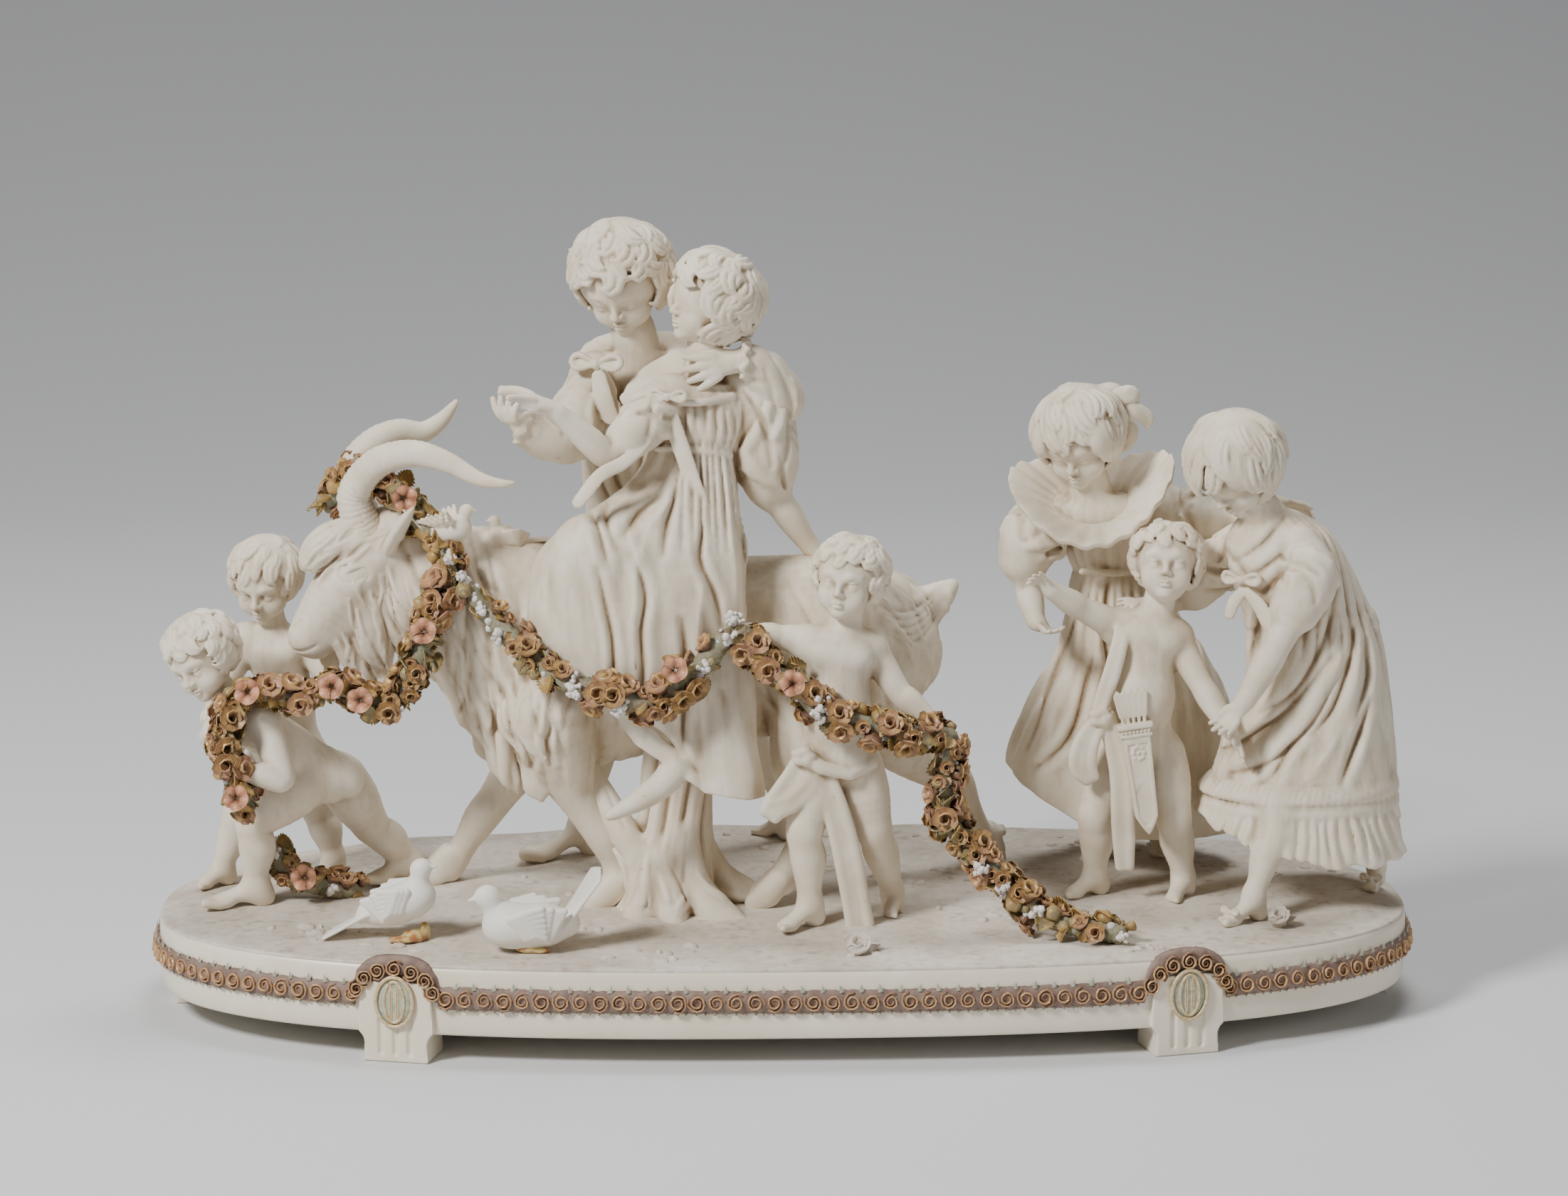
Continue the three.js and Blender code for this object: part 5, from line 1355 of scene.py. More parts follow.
def bow(clay, at, front, size, tails=()):
    """A bow of two loops and a knot, and its tails as routes."""
    seat = Seat(at, front, size=size)
    for side in (-1, 1):
        seat.lump(clay, (side * 0.6, -0.05, 0.06), (0.55, 0.2, 0.3), 0.1)
        loop = [(0.1, 0.1, 0.05, 0.11), (0.5, 0.2, 0.32, 0.14), (0.95, 0.16, 0.42, 0.14),
            (1.18, 0.08, 0.1, 0.14), (0.9, 0.14, -0.22, 0.13), (0.4, 0.16, -0.12, 0.12),
            (0.1, 0.1, 0, 0.1)]
        seat.roll(clay, [(side * p[0], *p[1:]) for p in curve(loop, 3)], 0.04)
    seat.lump(clay, (0, 0.18, 0.02), (0.22, 0.24, 0.27), 0.05)
    for route in tails:
        clay.roll(curve(route, 6), 0.6, flat=(front, 0.3))


boy = Clay((-160, -36, 44), (30, 132, 352), 0.9)
boy.drape(
    [
        (-73, 24, 326, 16, 10),
        (-70, 27, 318, 27, 15),
        (-69, 29, 304, 33, 18),
        (-70, 34, 282, 32, 20),
        (-70, 43, 250, 30, 21),
        (-68, 52, 226, 30, 20),
        (-67, 58, 206, 31, 21),
        (-66, 60, 194, 31, 20),
    ],
    folds(11, 0.08, 21, top=0.5),
    wall=99,
)
for thigh in ([(-72, 62, 212, 20, 18), (-78, 65, 188, 19, 18), (-83, 68, 165, 18, 17),
        (-86, 70, 140, 17, 16)], [(-60, 63, 212, 20, 18), (-48, 70, 188, 19, 18), (-36, 77, 165, 18, 17),
        (-26, 83, 140, 17, 16)]):
    boy.drape(thigh, folds(8, 0.12, 5), blend=5)
creased(boy, [[(-80, 311), (-82, 302), (-83, 291)], [(-93, 325), (-89, 313), (-92, 302), (-93, 290)],
    [(-98, 308), (-96, 295), (-89, 283)], [(-72, 300), (-70, 280), (-73, 258)],
    [(-60, 296), (-60, 272), (-64, 250)], [(-88, 282), (-84, 262), (-76, 246)],
    [(-94, 272), (-90, 256), (-80, 240)]], 1.8)
creased(boy, [[(-90, 310), (-86, 275), (-88, 235)], [(-76, 314), (-74, 280), (-80, 240)],
    [(-58, 312), (-60, 275), (-54, 235)], [(-66, 300), (-66, 270), (-70, 244)],
    [(-46, 306), (-52, 282), (-50, 252)], [(-96, 300), (-94, 270), (-90, 250)]], 2.2, 1.6, back=True)
leg(boy, (-78, 64, 200), (-86, 70, 134), (-103, 76, 72), (-134, 66), 13, ground_at(68))
leg(boy, (-56, 66, 200), (-25, 83, 134), (4, 104, 76), (-10, 113), 13, ground_at(108))
boy.roll([(-71, 25, 320, 12), (-75, 19, 338, 11)], 3)
sleeve(boy, [(-94, 22, 314, 12), (-102, 10, 298, 13), (-108, 2, 287, 13), (-118, -4, 286, 11),
    (-126, -9, 290, 9)], 12, 2)
sleeve(boy, [(-38, 26, 317, 13), (-18, 20, 309, 14), (-5, 9, 302, 13), (-3, -2, 307, 13),
    (-10, -10, 318, 11), (-16, -14, 325, 9)], 12, 3)
for place, way, size in (((-127, -11, 292), (-0.7, -0.5, 0.5), 10),
        ((-18, -16, 327), (-0.8, -0.5, 0.2), 10.5)):
    boy.frill(place, Seat(place, (0, -1, 0.3), way).axes, 4, size, 2, 9, 1.3, 1.1)
hand(boy, (-127, -12, 293), (-145, -27, 303), (0.3, 0.4, 1), 9, curl=0.6)
hand(boy, (-20, -17, 328), (-48, -26, 320), (0.2, 1, 0), 8, curl=0.2, thumb=-1)
collar = [(-62, 36, 328, 9), (-50, 28, 326, 10), (-50, 14, 320, 10), (-64, 5, 314, 9), (-76, 1, 306, 6)]
boy.roll(curve(collar, 4), 0.8, flat=((0.25, -0.75, 0.6), 0.26))
collar = [(-74, 36, 329, 9), (-92, 28, 325, 9), (-98, 14, 316, 10), (-92, 7, 308, 9), (-86, 2, 298, 6)]
boy.roll(curve(collar, 4), 0.8, flat=((-0.35, -0.75, 0.55), 0.26))
boy.roll([(-79, 4, 316, 1.5), (-81, 3, 309, 1.6), (-83, 6, 298, 1.2)], 1.2, dent=True)
boy.roll([(-80, 6, 318, 1.2), (-66, 8, 324, 1.2), (-52, 14, 333, 1.2)], 1.2, dent=True)
bow(boy, (-93, 3, 322), (-0.3, -1, 0.2), 11, [[(-92, 1, 316, 4), (-90, 0, 306, 5), (-86, 0, 296, 4)]])
head_y = head((-122, -26, 328), (-42, 56, 396), Seat((-80, 14, 362), (-0.25, -0.82, -0.46),
    (-0.15, -0.1, 1), 24), 17, count=104, thick=0.19, long=0.72, rise=1.1, full=(0.95, 0.98, 1.0),
    low=-0.62, curl=1.15, part=-0.3)
fired("bending_boy", [boy, head_y], bisque)

# ---------------------------------------------------------------------------------------------------
# Girl who rides side-saddle on the goat. High-waisted dress with a gathered neck, puffed sleeves and a
# bow with two long ribbons, an underskirt and bare feet. Biscuit porcelain.
def arm(clay, shoulder, elbow, wrist, tips, size, palm, **fingers):
    """A child's bare arm with its hand."""
    shoulder, elbow, wrist = (np.array(p, float) for p in (shoulder, elbow, wrist))
    stations = [(*shoulder, 1.12 * size), (*(0.5 * shoulder + 0.5 * elbow), 1.02 * size),
        (*elbow, 0.86 * size), (*(0.65 * elbow + 0.35 * wrist), 0.92 * size), (*wrist, 0.62 * size)]
    clay.roll(curve(stations, 3))
    hand(clay, wrist, tips, palm, 0.85 * size, **fingers)


rider = Clay((-150, -92, 98), (40, 40, 348), 0.9)


def rider_hem(x, y):
    """Lower edge of the skirt, higher at the left, where it lies over the knee."""
    return np.interp(x, (-130, -112, -88, -75, -63, -52, -41, -20),
        (196, 186, 160, 142, 134, 126, 118, 114)).astype(np.float32)


rider.drape([(-43, -9, 314, 17, 10), (-43, -9, 306, 25, 14), (-43, -9, 292, 24, 16),
    (-45, -9, 281, 21, 15)], folds(26, 0.06, 31, top=0.7), wall=99)
rider.drape(
    [
        (-45, -9, 284, 21, 15),
        (-50, -12, 266, 26, 19),
        (-60, -20, 250, 38, 26),
        (-70, -28, 234, 51, 30),
        (-73, -35, 214, 54, 29),
        (-73, -38, 194, 54, 26),
        (-68, -40, 170, 52, 23),
        (-62, -42, 150, 46, 19),
        (-56, -44, 118, 38, 17),
    ],
    folds(13, 0.07, 33, lean=-0.5),
    rider_hem,
    wall=3.2,
)
rider.roll([(-45, -9, 262, 15), (-62, -26, 240, 22), (-96, -42, 234, 20)], 14)
creased(
    rider,
    [
        [(-98, 257), (-93, 250), (-90, 240), (-88, 232)],
        [(-93, 231), (-89, 211), (-86, 195), (-85, 172), (-83, 152)],
        [(-76, 238), (-70, 218), (-72, 200), (-71, 180), (-71, 148)],
        [(-82, 268), (-88, 261), (-89, 253), (-84, 240)],
        [(-52, 279), (-55, 262), (-59, 250), (-61, 236)],
        [(-25, 279), (-22, 258), (-20, 240)],
        [(-41, 248), (-43, 234), (-36, 216), (-32, 200)],
        [(-24, 249), (-21, 230), (-20, 206)],
        [(-76, 157), (-63, 148), (-50, 134), (-40, 124)],
        [(-32, 168), (-28, 147), (-24, 126)],
        [(-52, 205), (-50, 180), (-52, 150), (-50, 128)],
        [(-62, 262), (-72, 255), (-80, 246)],
    ],
    2.6,
    1.3,
)
creased(rider, [[(-70, 289), (-78, 276), (-84, 266)], [(-57, 289), (-64, 276), (-78, 263), (-84, 250)],
    [(-52, 275), (-58, 260), (-67, 250), (-73, 232)], [(-81, 257), (-76, 243), (-74, 230), (-76, 206)],
    [(-40, 230), (-44, 200), (-42, 160), (-40, 130)]], -1.5, 2.2)
creased(rider, [[(x, 288 - 0.1 * abs(x + 38)), (x + lean, 266), (x + 2 * lean, 236)]
    for x, lean in ((-50, -1), (-46, 0), (-42, 0), (-39, 1), (-36, 1), (-33, 2), (-30, 3),
    (-27, 3))], 1.1, 0.7)
creased(rider, [[(x, 306), (x + 0.5, 298), (x + 1, 290)]
    for x in (-60, -55, -50, -45, -40, -35, -30, -26)], 0.9, 0.8)
creased(rider, [[(-44 + 0.4 * x, 280), (-52 + 0.8 * x, 240), (-60 + x, 200), (-56 + x, 150)]
    for x in (-44, -30, -18, -6, 6, 18, 30)], 2.4, 1.8, back=True)
rider.drape([(-46, -32, 200, 15, 12), (-39, -40, 172, 17, 13), (-34, -46, 148, 17, 14),
    (-30, -48, 126, 17.5, 14), (-28, -49, 108, 18, 14)], folds(8, 0.1, 8), rider_hem, wall=2.5)
rider.roll(curve([(-40, -46, 160, 11), (-50, -52, 138, 8.5), (-60, -58, 124, 7), (-70, -62, 117, 6),
    (-84, -66, 110, 3.6), (-88, -67, 108.5, 2.6)], 4), 2)
rider.roll([(-42, -8, 314, 9.5), (-39, -11, 336, 9)], 3)
sleeve(rider, [(-56, -13, 308, 12), (-68, -24, 298, 13), (-78, -34, 290, 11)], 12, 4)
arm(rider, (-70, -28, 294), (-88, -41, 283), (-112, -48, 305), (-137, -53, 321), 7.5, palm=(0.4, 0.2, -1),
    curl=0.12, spread=0.32)
sleeve(rider, [(-22, -5, 312, 10), (-13, -2, 298, 16), (-9, -1, 278, 17), (-8, 0, 264, 13),
    (-6, 1, 257, 9.5)], 16, 6)
arm(rider, (-9, 0, 266), (-3, 0, 254), (13, 5, 230), (27, 6, 217), 8, palm=(0, 0.2, -1),
    curl=0.2, thumb=-1)
rider.roll(curve([(-66, -20, 312, 1.9), (-56, -25, 308, 2), (-42, -26, 307, 2),
    (-26, -18, 309, 1.8)], 4), 1.5)
rider.roll(curve([(-64, -20, 283, 1.4), (-52, -25, 284, 1.4), (-38, -24, 282, 1.4),
    (-27, -18, 279, 1.4)], 4), 1.5)
bow(rider, (-58, -30, 310), (-0.3, -1, 0.2), 8, [[(-58, -27, 306, 3.5), (-54, -29, 292, 4.5),
    (-48, -31, 274, 4.5), (-44, -34, 260, 5), (-41, -37, 249, 5.5), (-40, -38, 243, 4)],
    [(-61, -31, 306, 2.6), (-69, -39, 290, 3.2), (-80, -50, 281, 3.6), (-91, -56, 276, 3.6),
    (-98, -59, 268, 3.8), (-102, -60, 263, 3.4)]])
head_g = head((-76, -52, 316), (12, 32, 392), Seat((-37, -12, 354), (-0.88, -0.38, 0.2), (0.2, 0, 1), 21),
    23, count=112, thick=0.18, long=0.78, rise=1.12, full=(0.96, 1.04, 0.98), low=-0.86,
    curl=1.2, fringe=0.66)
fired("riding_girl", [rider, head_g], bisque)

# ---------------------------------------------------------------------------------------------------
# Standing putto in the middle, who holds the garland on its arms, with a cloth knotted at its hip.
# Biscuit porcelain, cast in a few pieces and stuck together with slip, as are the other three.
def trunk(clay, neck, chest, belly, hips, shoulders, front, size):
    """A chubby child's trunk, bare: neck, chest, belly, hips and buttocks. Size is half its width."""
    neck, chest, belly, hips = (np.array(p, float) for p in (neck, chest, belly, hips))
    spine = [(*chest, 0.8 * size), (*belly, 0.84 * size), (*hips, 0.82 * size)]
    seat = Seat(chest, front, chest - belly, size)
    low = Seat(hips, front, belly - hips, size)
    middle = Seat(belly, front, chest - hips, size)
    clay.roll(curve(spine, 4), 3, flat=(seat.axes[1], 0.86))
    seat.lump(clay, (0, 0.06, 0.05), (0.98, 0.66, 0.72), 0.25)
    middle.lump(clay, (0, 0.16, -0.05), (0.86, 0.76, 0.82), 0.25)
    low.lump(clay, (0, 0, 0), (0.98, 0.72, 0.7), 0.25)
    for side in (-1, 1):
        low.lump(clay, (side * 0.42, -0.36, -0.32), (0.52, 0.5, 0.56), 0.12)
        seat.lump(clay, (side * 0.42, 0.5, 0.1), (0.36, 0.22, 0.26), 0.25)
        seat.lump(clay, (side * 0.42, -0.5, 0.25), (0.34, 0.2, 0.4), 0.25)
    low.roll(clay, [(0, -0.9, 0.1, 0.05), (0, -0.9, -0.7, 0.06)], 0.12, True)
    seat.roll(clay, [(0, -0.66, 0.5, 0.05), (0, -0.72, -1.2, 0.05)], 0.25, True)
    middle.lump(clay, (0, 0.95, -0.3), (0.06, 0.12, 0.07), 0.06, True)
    for shoulder in shoulders:
        clay.lump(shoulder, np.array([0.42, 0.42, 0.42]) * size, blend=0.4 * size)
        clay.roll([(*(chest + 0.35 * (neck - chest)), 0.34 * size),
            (*shoulder, 0.32 * size)], 0.35 * size)
    top = neck + 0.4 * (neck - chest)
    clay.roll([(*(chest + 0.3 * (neck - chest)), 0.46 * size), (*neck, 0.42 * size),
        (*top, 0.42 * size)], 0.22 * size)


def hanging(clay, route, front, strands, thick):
    """A fall of cloth along a route [x, y, z, half width], gathered in so many soft folds."""
    route = curve(route, 3)
    front = unit(front)
    for i in range(strands):
        side = (i + 0.5) / strands * 2 - 1
        points = []
        for k, (x, y, z, half) in enumerate(route):
            ahead = route[min(k + 1, len(route) - 1)][:3] - route[max(k - 1, 0)][:3]
            across = unit(np.cross(ahead, front))
            sway = 0.12 * math.sin(1.7 * i + k / len(route) * 3)
            at = np.array([x, y, z]) + across * half * (side + sway) * 0.8
            at = at + front * thick * 0.35 * math.cos(2.4 * i)
            points.append((*at, thick * (0.75 + 0.35 * half / route[:, 3].max())))
        clay.roll(points, 1.2, flat=(front, 0.8))


def knot(clay, x, y, z):
    """A knot of cloth: five soft lumps round a place."""
    for turn in range(5):
        angle = turn * 1.3
        clay.lump((x + 3 * math.cos(angle), y, z + 3 * math.sin(angle)), (3.4, 3, 2.6), blend=0.8)


putto_c = Clay((-42, -86, 44), (98, -18, 222), 0.8)
trunk(putto_c, neck=(29, -49, 203), chest=(26, -49, 184), belly=(24, -52, 158), hips=(24, -52, 134),
    shoulders=((10, -47, 190), (41, -46, 187)), front=(-0.1, -1, 0), size=19)
arm(putto_c, (10, -46, 191), (-4, -46, 193), (-17, -49, 196), (-29, -52, 203), 7, palm=(0, 0.3, 1))
arm(putto_c, (41, -46, 187), (55, -51, 166), (70, -56, 153), (85, -60, 147), 7, palm=(0, 0, -1), thumb=-1)
leg(putto_c, (15, -53, 128), (8, -60, 98), (11, -57, 62), (-5, -70), 12.5, ground_at(-60))
leg(putto_c, (35, -49, 128), (43, -50, 96), (53, -36, 62), (51, -49), 12.5, ground_at(-40))
for fall in (
    [(8, -62, 138, 4), (16, -64, 128, 6), (24, -64, 108, 7), (30, -62, 84, 7.5), (34, -60, 62, 7),
        (36, -59, 50, 7)],
    [(8, -62, 138, 4), (2, -66, 126, 6), (-5, -67, 114, 7), (-9, -67, 108, 5)],
    [(-9, -67, 112, 5), (0, -67, 114, 5), (10, -66, 124, 4), (10, -64, 134, 3)],
):
    hanging(putto_c, fall, (0.1, -1, 0), 4, 2.6)
putto_c.roll([(42, -58, 132, 2.5), (30, -66, 128, 3), (16, -68, 132, 3.5), (8, -66, 137, 4)], 1.5)
knot(putto_c, 7, -69, 138)
head_c = head((4, -76, 192), (56, -22, 250), Seat((30, -49, 222), (-0.3, -0.92, 0.12),
    (0.1, 0, 1), 20), 3)
fired("garland_putto", [putto_c, head_c], bisque)

# ---------------------------------------------------------------------------------------------------
# Putto at the front left, who leans forwards and hauls on the end of the garland. Biscuit porcelain,
# stuck with slip to the ground at both feet, and to the garland at the hands.
putto_a = Clay((-308, -62, 44), (-172, 62, 176), 0.8)
trunk(putto_a, neck=(-277, -22, 160), chest=(-266, -14, 146), belly=(-250, -5, 130), hips=(-232, 4, 114),
    shoulders=((-260, -27, 148), (-270, 3, 148)), front=(-0.75, -0.2, -0.65), size=18)
arm(putto_a, (-259, -27, 148), (-250, -38, 122), (-268, -41, 126), (-283, -39, 136), 7.5,
    palm=(0.2, 0.9, 0.3), curl=0.75)
arm(putto_a, (-271, 3, 147), (-279, 5, 128), (-288, -15, 138), (-290, -30, 148), 7.5, palm=(1, 0, 0),
    curl=0.7, thumb=-1)
leg(putto_a, (-240, -6, 113), (-266, -16, 95), (-266, -12, 61), (-291, -17), 13, ground_at(-15))
leg(putto_a, (-224, 12, 110), (-210, 24, 83), (-191, 34, 61), (-213, 22), 13, ground_at(30))
head_a = head((-317, -58, 150), (-260, 6, 212), Seat((-289, -26, 181), (-0.5, -0.78, -0.35),
    (-0.3, 0.1, 1), 20), 5, long=0.7, part=-0.6)
fired("hauling_putto", [putto_a, head_a], bisque)

# ---------------------------------------------------------------------------------------------------
# Putto at the goat's mouth, who looks down and strokes its beard. Biscuit porcelain, stuck with slip
# to the ground at both feet, and to the goat's beard at the hands.
putto_b = Clay((-308, -24, 44), (-212, 66, 208), 0.8)
trunk(putto_b, neck=(-259, 26, 190), chest=(-256, 28, 172), belly=(-253, 31, 148), hips=(-251, 36, 122),
    shoulders=((-272, 28, 180), (-241, 27, 178)), front=(-0.3, -1, 0), size=17.5)
arm(putto_b, (-272, 28, 180), (-280, 26, 160), (-287, 11, 149), (-293, -4, 146), 7,
    palm=(0.5, 0, -1), curl=0.5)
arm(putto_b, (-241, 26, 178), (-225, 16, 155), (-226, 0, 165), (-231, -6, 181), 7, palm=(0.5, 1, 0.3),
    curl=0.22, thumb=-1)
leg(putto_b, (-260, 33, 118), (-277, 24, 89), (-286, 26, 62), (-298, 15), 12, ground_at(20))
leg(putto_b, (-244, 39, 116), (-238, 46, 86), (-231, 48, 62), (-238, 33), 12, ground_at(40))
head_b = head((-288, -6, 180), (-234, 52, 240),
    Seat((-261, 22, 211), (-0.28, -0.88, -0.32), (0, 0, 1), 20), 8, long=0.8, curl=0.5, part=0.5, thick=0.15)
fired("stroking_putto", [putto_b, head_b], bisque)

# ---------------------------------------------------------------------------------------------------
# Putto between the two girls, who looks up and spreads its arms. A sash over its right shoulder is
# knotted at the hip, and a quiver with five arrows hangs in front of it. Biscuit porcelain.
putto_d = Clay((116, -54, 44), (238, 16, 226), 0.8)
trunk(putto_d, neck=(188, -9, 203), chest=(183, -9, 183), belly=(179, -12, 156), hips=(179, -9, 130),
    shoulders=((166, -7, 190), (197, -8, 184)), front=(0, -1, 0.1), size=19)
arm(putto_d, (167, -7, 190), (148, -17, 201), (132, -27, 212), (121, -33, 223), 7,
    palm=(-0.5, -0.8, 0), curl=0.25)
arm(putto_d, (197, -9, 183), (208, -20, 163), (220, -34, 143), (230, -43, 129), 7, palm=(0, -0.5, -1),
    curl=0.15, thumb=-1)
leg(putto_d, (168, -8, 124), (157, -12, 93), (158, -5, 62), (142, -15), 12.5, ground_at(-10))
leg(putto_d, (190, -9, 124), (196, -17, 93), (202, -11, 62), (194, -26), 12.5, ground_at(-20))
hanging(putto_d, [(170, -6, 196, 3), (168, -20, 188, 4), (163, -25, 170, 4.5), (157, -26, 152, 4)],
    (0, -1, 0.2), 3, 2.2)
hanging(putto_d, [(158, -26, 148, 4), (151, -28, 136, 7), (149, -28, 124, 8), (153, -27, 116, 4)],
    (0, -1, 0), 4, 2.4)
hanging(putto_d, [(160, -26, 148, 4), (168, -26, 120, 6), (170, -25, 92, 6), (171, -24, 70, 4)],
    (0, -1, 0), 4, 2.4)
knot(putto_d, 157, -29, 148)
# The quiver hangs at a slant: a flat case that narrows to a point, with a moulded rim and beads.
quiver = Clay((158, -44, 84), (192, -18, 172), 0.45)
case = Seat((173.8, -31, 144), (0, -1, 0.06), (-0.14, 0, 1))
across, ahead, along = (sum((g - a) * w for g, a, w in zip(quiver.whole()[1], case.at, axis))
    for axis in case.axes)
half = np.clip(7.2 + 0.035 * along, 0, 7.2) * np.clip((along + 55) / 9, 0.05, 1) ** 0.7
DEEP = 4.4
quiver.block(0.5, np.abs(across) - half, np.abs(ahead) - DEEP, along, -55 - along)
quiver.block(0.5, np.abs(across) - half + 2, DEEP - 0.7 - ahead, along + 9, -51 - along, dent=True)
for low, high, out in ((-1.2, 1.4, 1.5), (-5.4, -3.8, 0.7)):
    quiver.block(0.6, np.abs(across) - 7.4 - out, np.abs(ahead) - DEEP - out, along - high, low - along)
for i in range(8):
    case.lump(quiver, (-6.6 + i * 1.9, 4.9, -2.6), (0.75, 0.75, 0.9), 0.2)
for i in range(9):
    turn = i * math.pi / 4
    case.lump(quiver, (2.7 * math.cos(turn), 4.0, -13.5 + 3.3 * math.sin(turn)), (0.9, 0.7, 0.9), 0.8)
case.lump(quiver, (0, 4.0, -13.5), (0.9, 0.8, 0.9), 0.4)
for i in range(5):
    side, lean = -5.2 + i * 2.6, (i - 2) * 0.12
    case.roll(quiver, [(side, 0.5, 0, 0.9), (side + lean * 6, 0.5, 17, 0.8)], 0.3)
    for vane in (-1, 1):
        case.roll(quiver, [(side + vane * 1.1, 0.9, 5, 1.0),
            (side + lean * 5 + vane * 1.2, 0.9, 15.5, 1.2), (side + lean * 6, 0.9, 18, 0.6)], 0.2,
            flat=((0, 1, 0), 0.5))
head_d = head((164, -42, 193), (219, 16, 251),
    Seat((191, -13, 222), (-0.12, -0.9, 0.32), (0.05, 0.1, 1), 20), 13, long=0.6)
fired("quiver_putto", [putto_d, quiver, head_d], bisque)

# ---------------------------------------------------------------------------------------------------
# Girl with a pleated ruffle collar, who stands behind the small putto and looks down. High-waisted
# dress with puffed sleeves, its skirt blown to the left, hair with a bow. Biscuit porcelain.
ruffle_girl = Clay((100, -20, 44), (276, 104, 280), 0.9)


def blown(x, y):
    """Lower edge of the skirt: it hangs to the ground at the right and flies up at the left."""
    return np.interp(x, (112, 124, 152, 180, 240), (112, 98, 82, 74, 72)).astype(np.float32)


ruffle_girl.drape([(161, 32, 252, 15, 12), (163, 34, 243, 25, 17), (166, 37, 230, 24, 17),
    (168, 41, 216, 21, 16), (169, 43, 211, 19.5, 15)], folds(22, 0.07, 41, top=0.6), wall=99)
ruffle_girl.drape(
    [
        (169, 43, 213, 19, 15),
        (172, 46, 200, 24, 18),
        (176, 48, 182, 31, 24),
        (181, 51, 160, 42, 30),
        (180, 53, 136, 53, 35),
        (178, 54, 112, 59, 38),
        (179, 54, 90, 58, 39),
        (180, 54, 70, 57, 39),
    ],
    folds(13, 0.1, 43, lean=0.7, top=0.2),
    blown,
)
creased(
    ruffle_girl,
    [
        [(152, 190), (145, 165), (136, 142), (127, 118)],
        [(160, 170), (155, 151), (147, 126), (129, 106)],
        [(166, 204), (164, 183), (166, 160), (160, 130)],
        [(172, 150), (168, 125), (158, 100)],
        [(186, 192), (192, 165), (196, 135), (196, 104)],
        [(206, 190), (212, 174), (218, 150), (226, 130)],
        [(208, 200), (214, 190), (219, 168), (228, 145)],
        [(178, 200), (180, 170), (182, 138)],
    ],
    2.8,
    1.4,
)
creased(ruffle_girl, [[(151, 203), (150, 183), (149, 161), (144, 144)],
    [(157, 204), (160, 183), (160, 161), (152, 134)], [(198, 180), (206, 150), (210, 120)]], -1.6, 2.4)
creased(ruffle_girl, [[(x, 207), (x + 0.2 * (x - 168), 192), (x + 0.4 * (x - 168), 174)]
    for x in (154, 158, 162, 166, 170, 174, 178, 182)], 1.0, 0.8)
creased(ruffle_girl, [[(168 + 0.3 * x, 205), (172 + 0.6 * x, 180), (177 + 0.85 * x, 145), (180 + x, 105)]
    for x in (-46, -34, -20, -4, 12, 28, 42)], 2.6, 1.8, back=True)
ruffle_girl.roll([(152, 20, 213, 1.8), (170, 26, 211, 2), (186, 34, 212, 1.8)], 1)
leg(ruffle_girl, (168, 57, 104), (170, 60, 88), (171, 61, 64), (157, 46), 11, ground_at(52))
leg(ruffle_girl, (190, 66, 104), (196, 70, 88), (200, 74, 64), (196, 58), 11, ground_at(66))
ruffle_girl.roll([(160, 32, 244, 11), (153, 25, 266, 10)], 3)
sleeve(ruffle_girl, [(141, 33, 240, 11), (128, 28, 230, 16), (123, 26, 219, 13)], 16, 7, deep=0.18)
arm(ruffle_girl, (125, 26, 214), (125, 25, 203), (128, 13, 189), (138, -2, 182), 7.5,
    palm=(0.3, -0.2, 1), curl=0.3)
sleeve(ruffle_girl, [(188, 38, 242, 12), (203, 37, 237, 15), (216, 34, 236, 12)], 14, 9, deep=0.18)
arm(ruffle_girl, (216, 34, 236), (231, 32, 237), (252, 25, 246), (272, 10, 243), 7,
    palm=(-0.3, -0.8, -0.5), curl=0.3, thumb=-1)
collar_e = Clay((96, -22, 222), (222, 74, 296), 0.6)
seat_e = Seat((160, 26, 243), (-0.12, -0.9, -0.55), (-0.16, -0.35, 0.9), 1)
collar_e.frill(seat_e.at, seat_e.axes, 15, 42, 5, 21, 1.0, 1.3, squash=0.8, tip=0.5)
collar_e.frill(seat_e.at + (0, 1, -1), seat_e.axes, 14, 22, 2, 26, 0.6, 1.8, squash=0.82, tip=0.3)
head_e = head((118, -14, 248), (202, 62, 316),
    Seat((150, 22, 280), (-0.35, -0.82, -0.4), (-0.1, 0, 1), 22), 29, count=90, thick=0.17, long=0.95,
    rise=1.1, full=(0.95, 1.0, 0.95), low=-0.5, curl=0.45, part=-0.5, temples=True)
for point in ((166, 30, 290), (172, 32, 283), (166, 32, 300)):
    head_e.lump(point, (9, 8, 8), blend=2)
for tail in (
    [(166, 24, 294, 2), (169, 23, 301, 4.5), (176, 24, 303, 4.5), (178, 26, 298, 2.5)],
    [(167, 24, 293, 2), (176, 23, 295, 4), (184, 26, 291, 4), (185, 27, 286, 1.6)],
    [(168, 25, 290, 2), (176, 26, 285, 4), (175, 28, 277, 3), (170, 29, 273, 1.4)],
):
    head_e.roll(curve(tail, 4), 0.8, flat=((0, -1, 0.3), 0.35))
fired("ruffle_collar_girl", [ruffle_girl, collar_e, head_e], bisque)

# ---------------------------------------------------------------------------------------------------
# Girl at the right, who bends down to the small putto. Wide dress crossed over the chest with a bow,
# short sleeves, two gathered frills over a flounced hem, and shoes with bows. Biscuit porcelain.
bender = Clay((160, -92, 44), (318, 70, 272), 0.9)


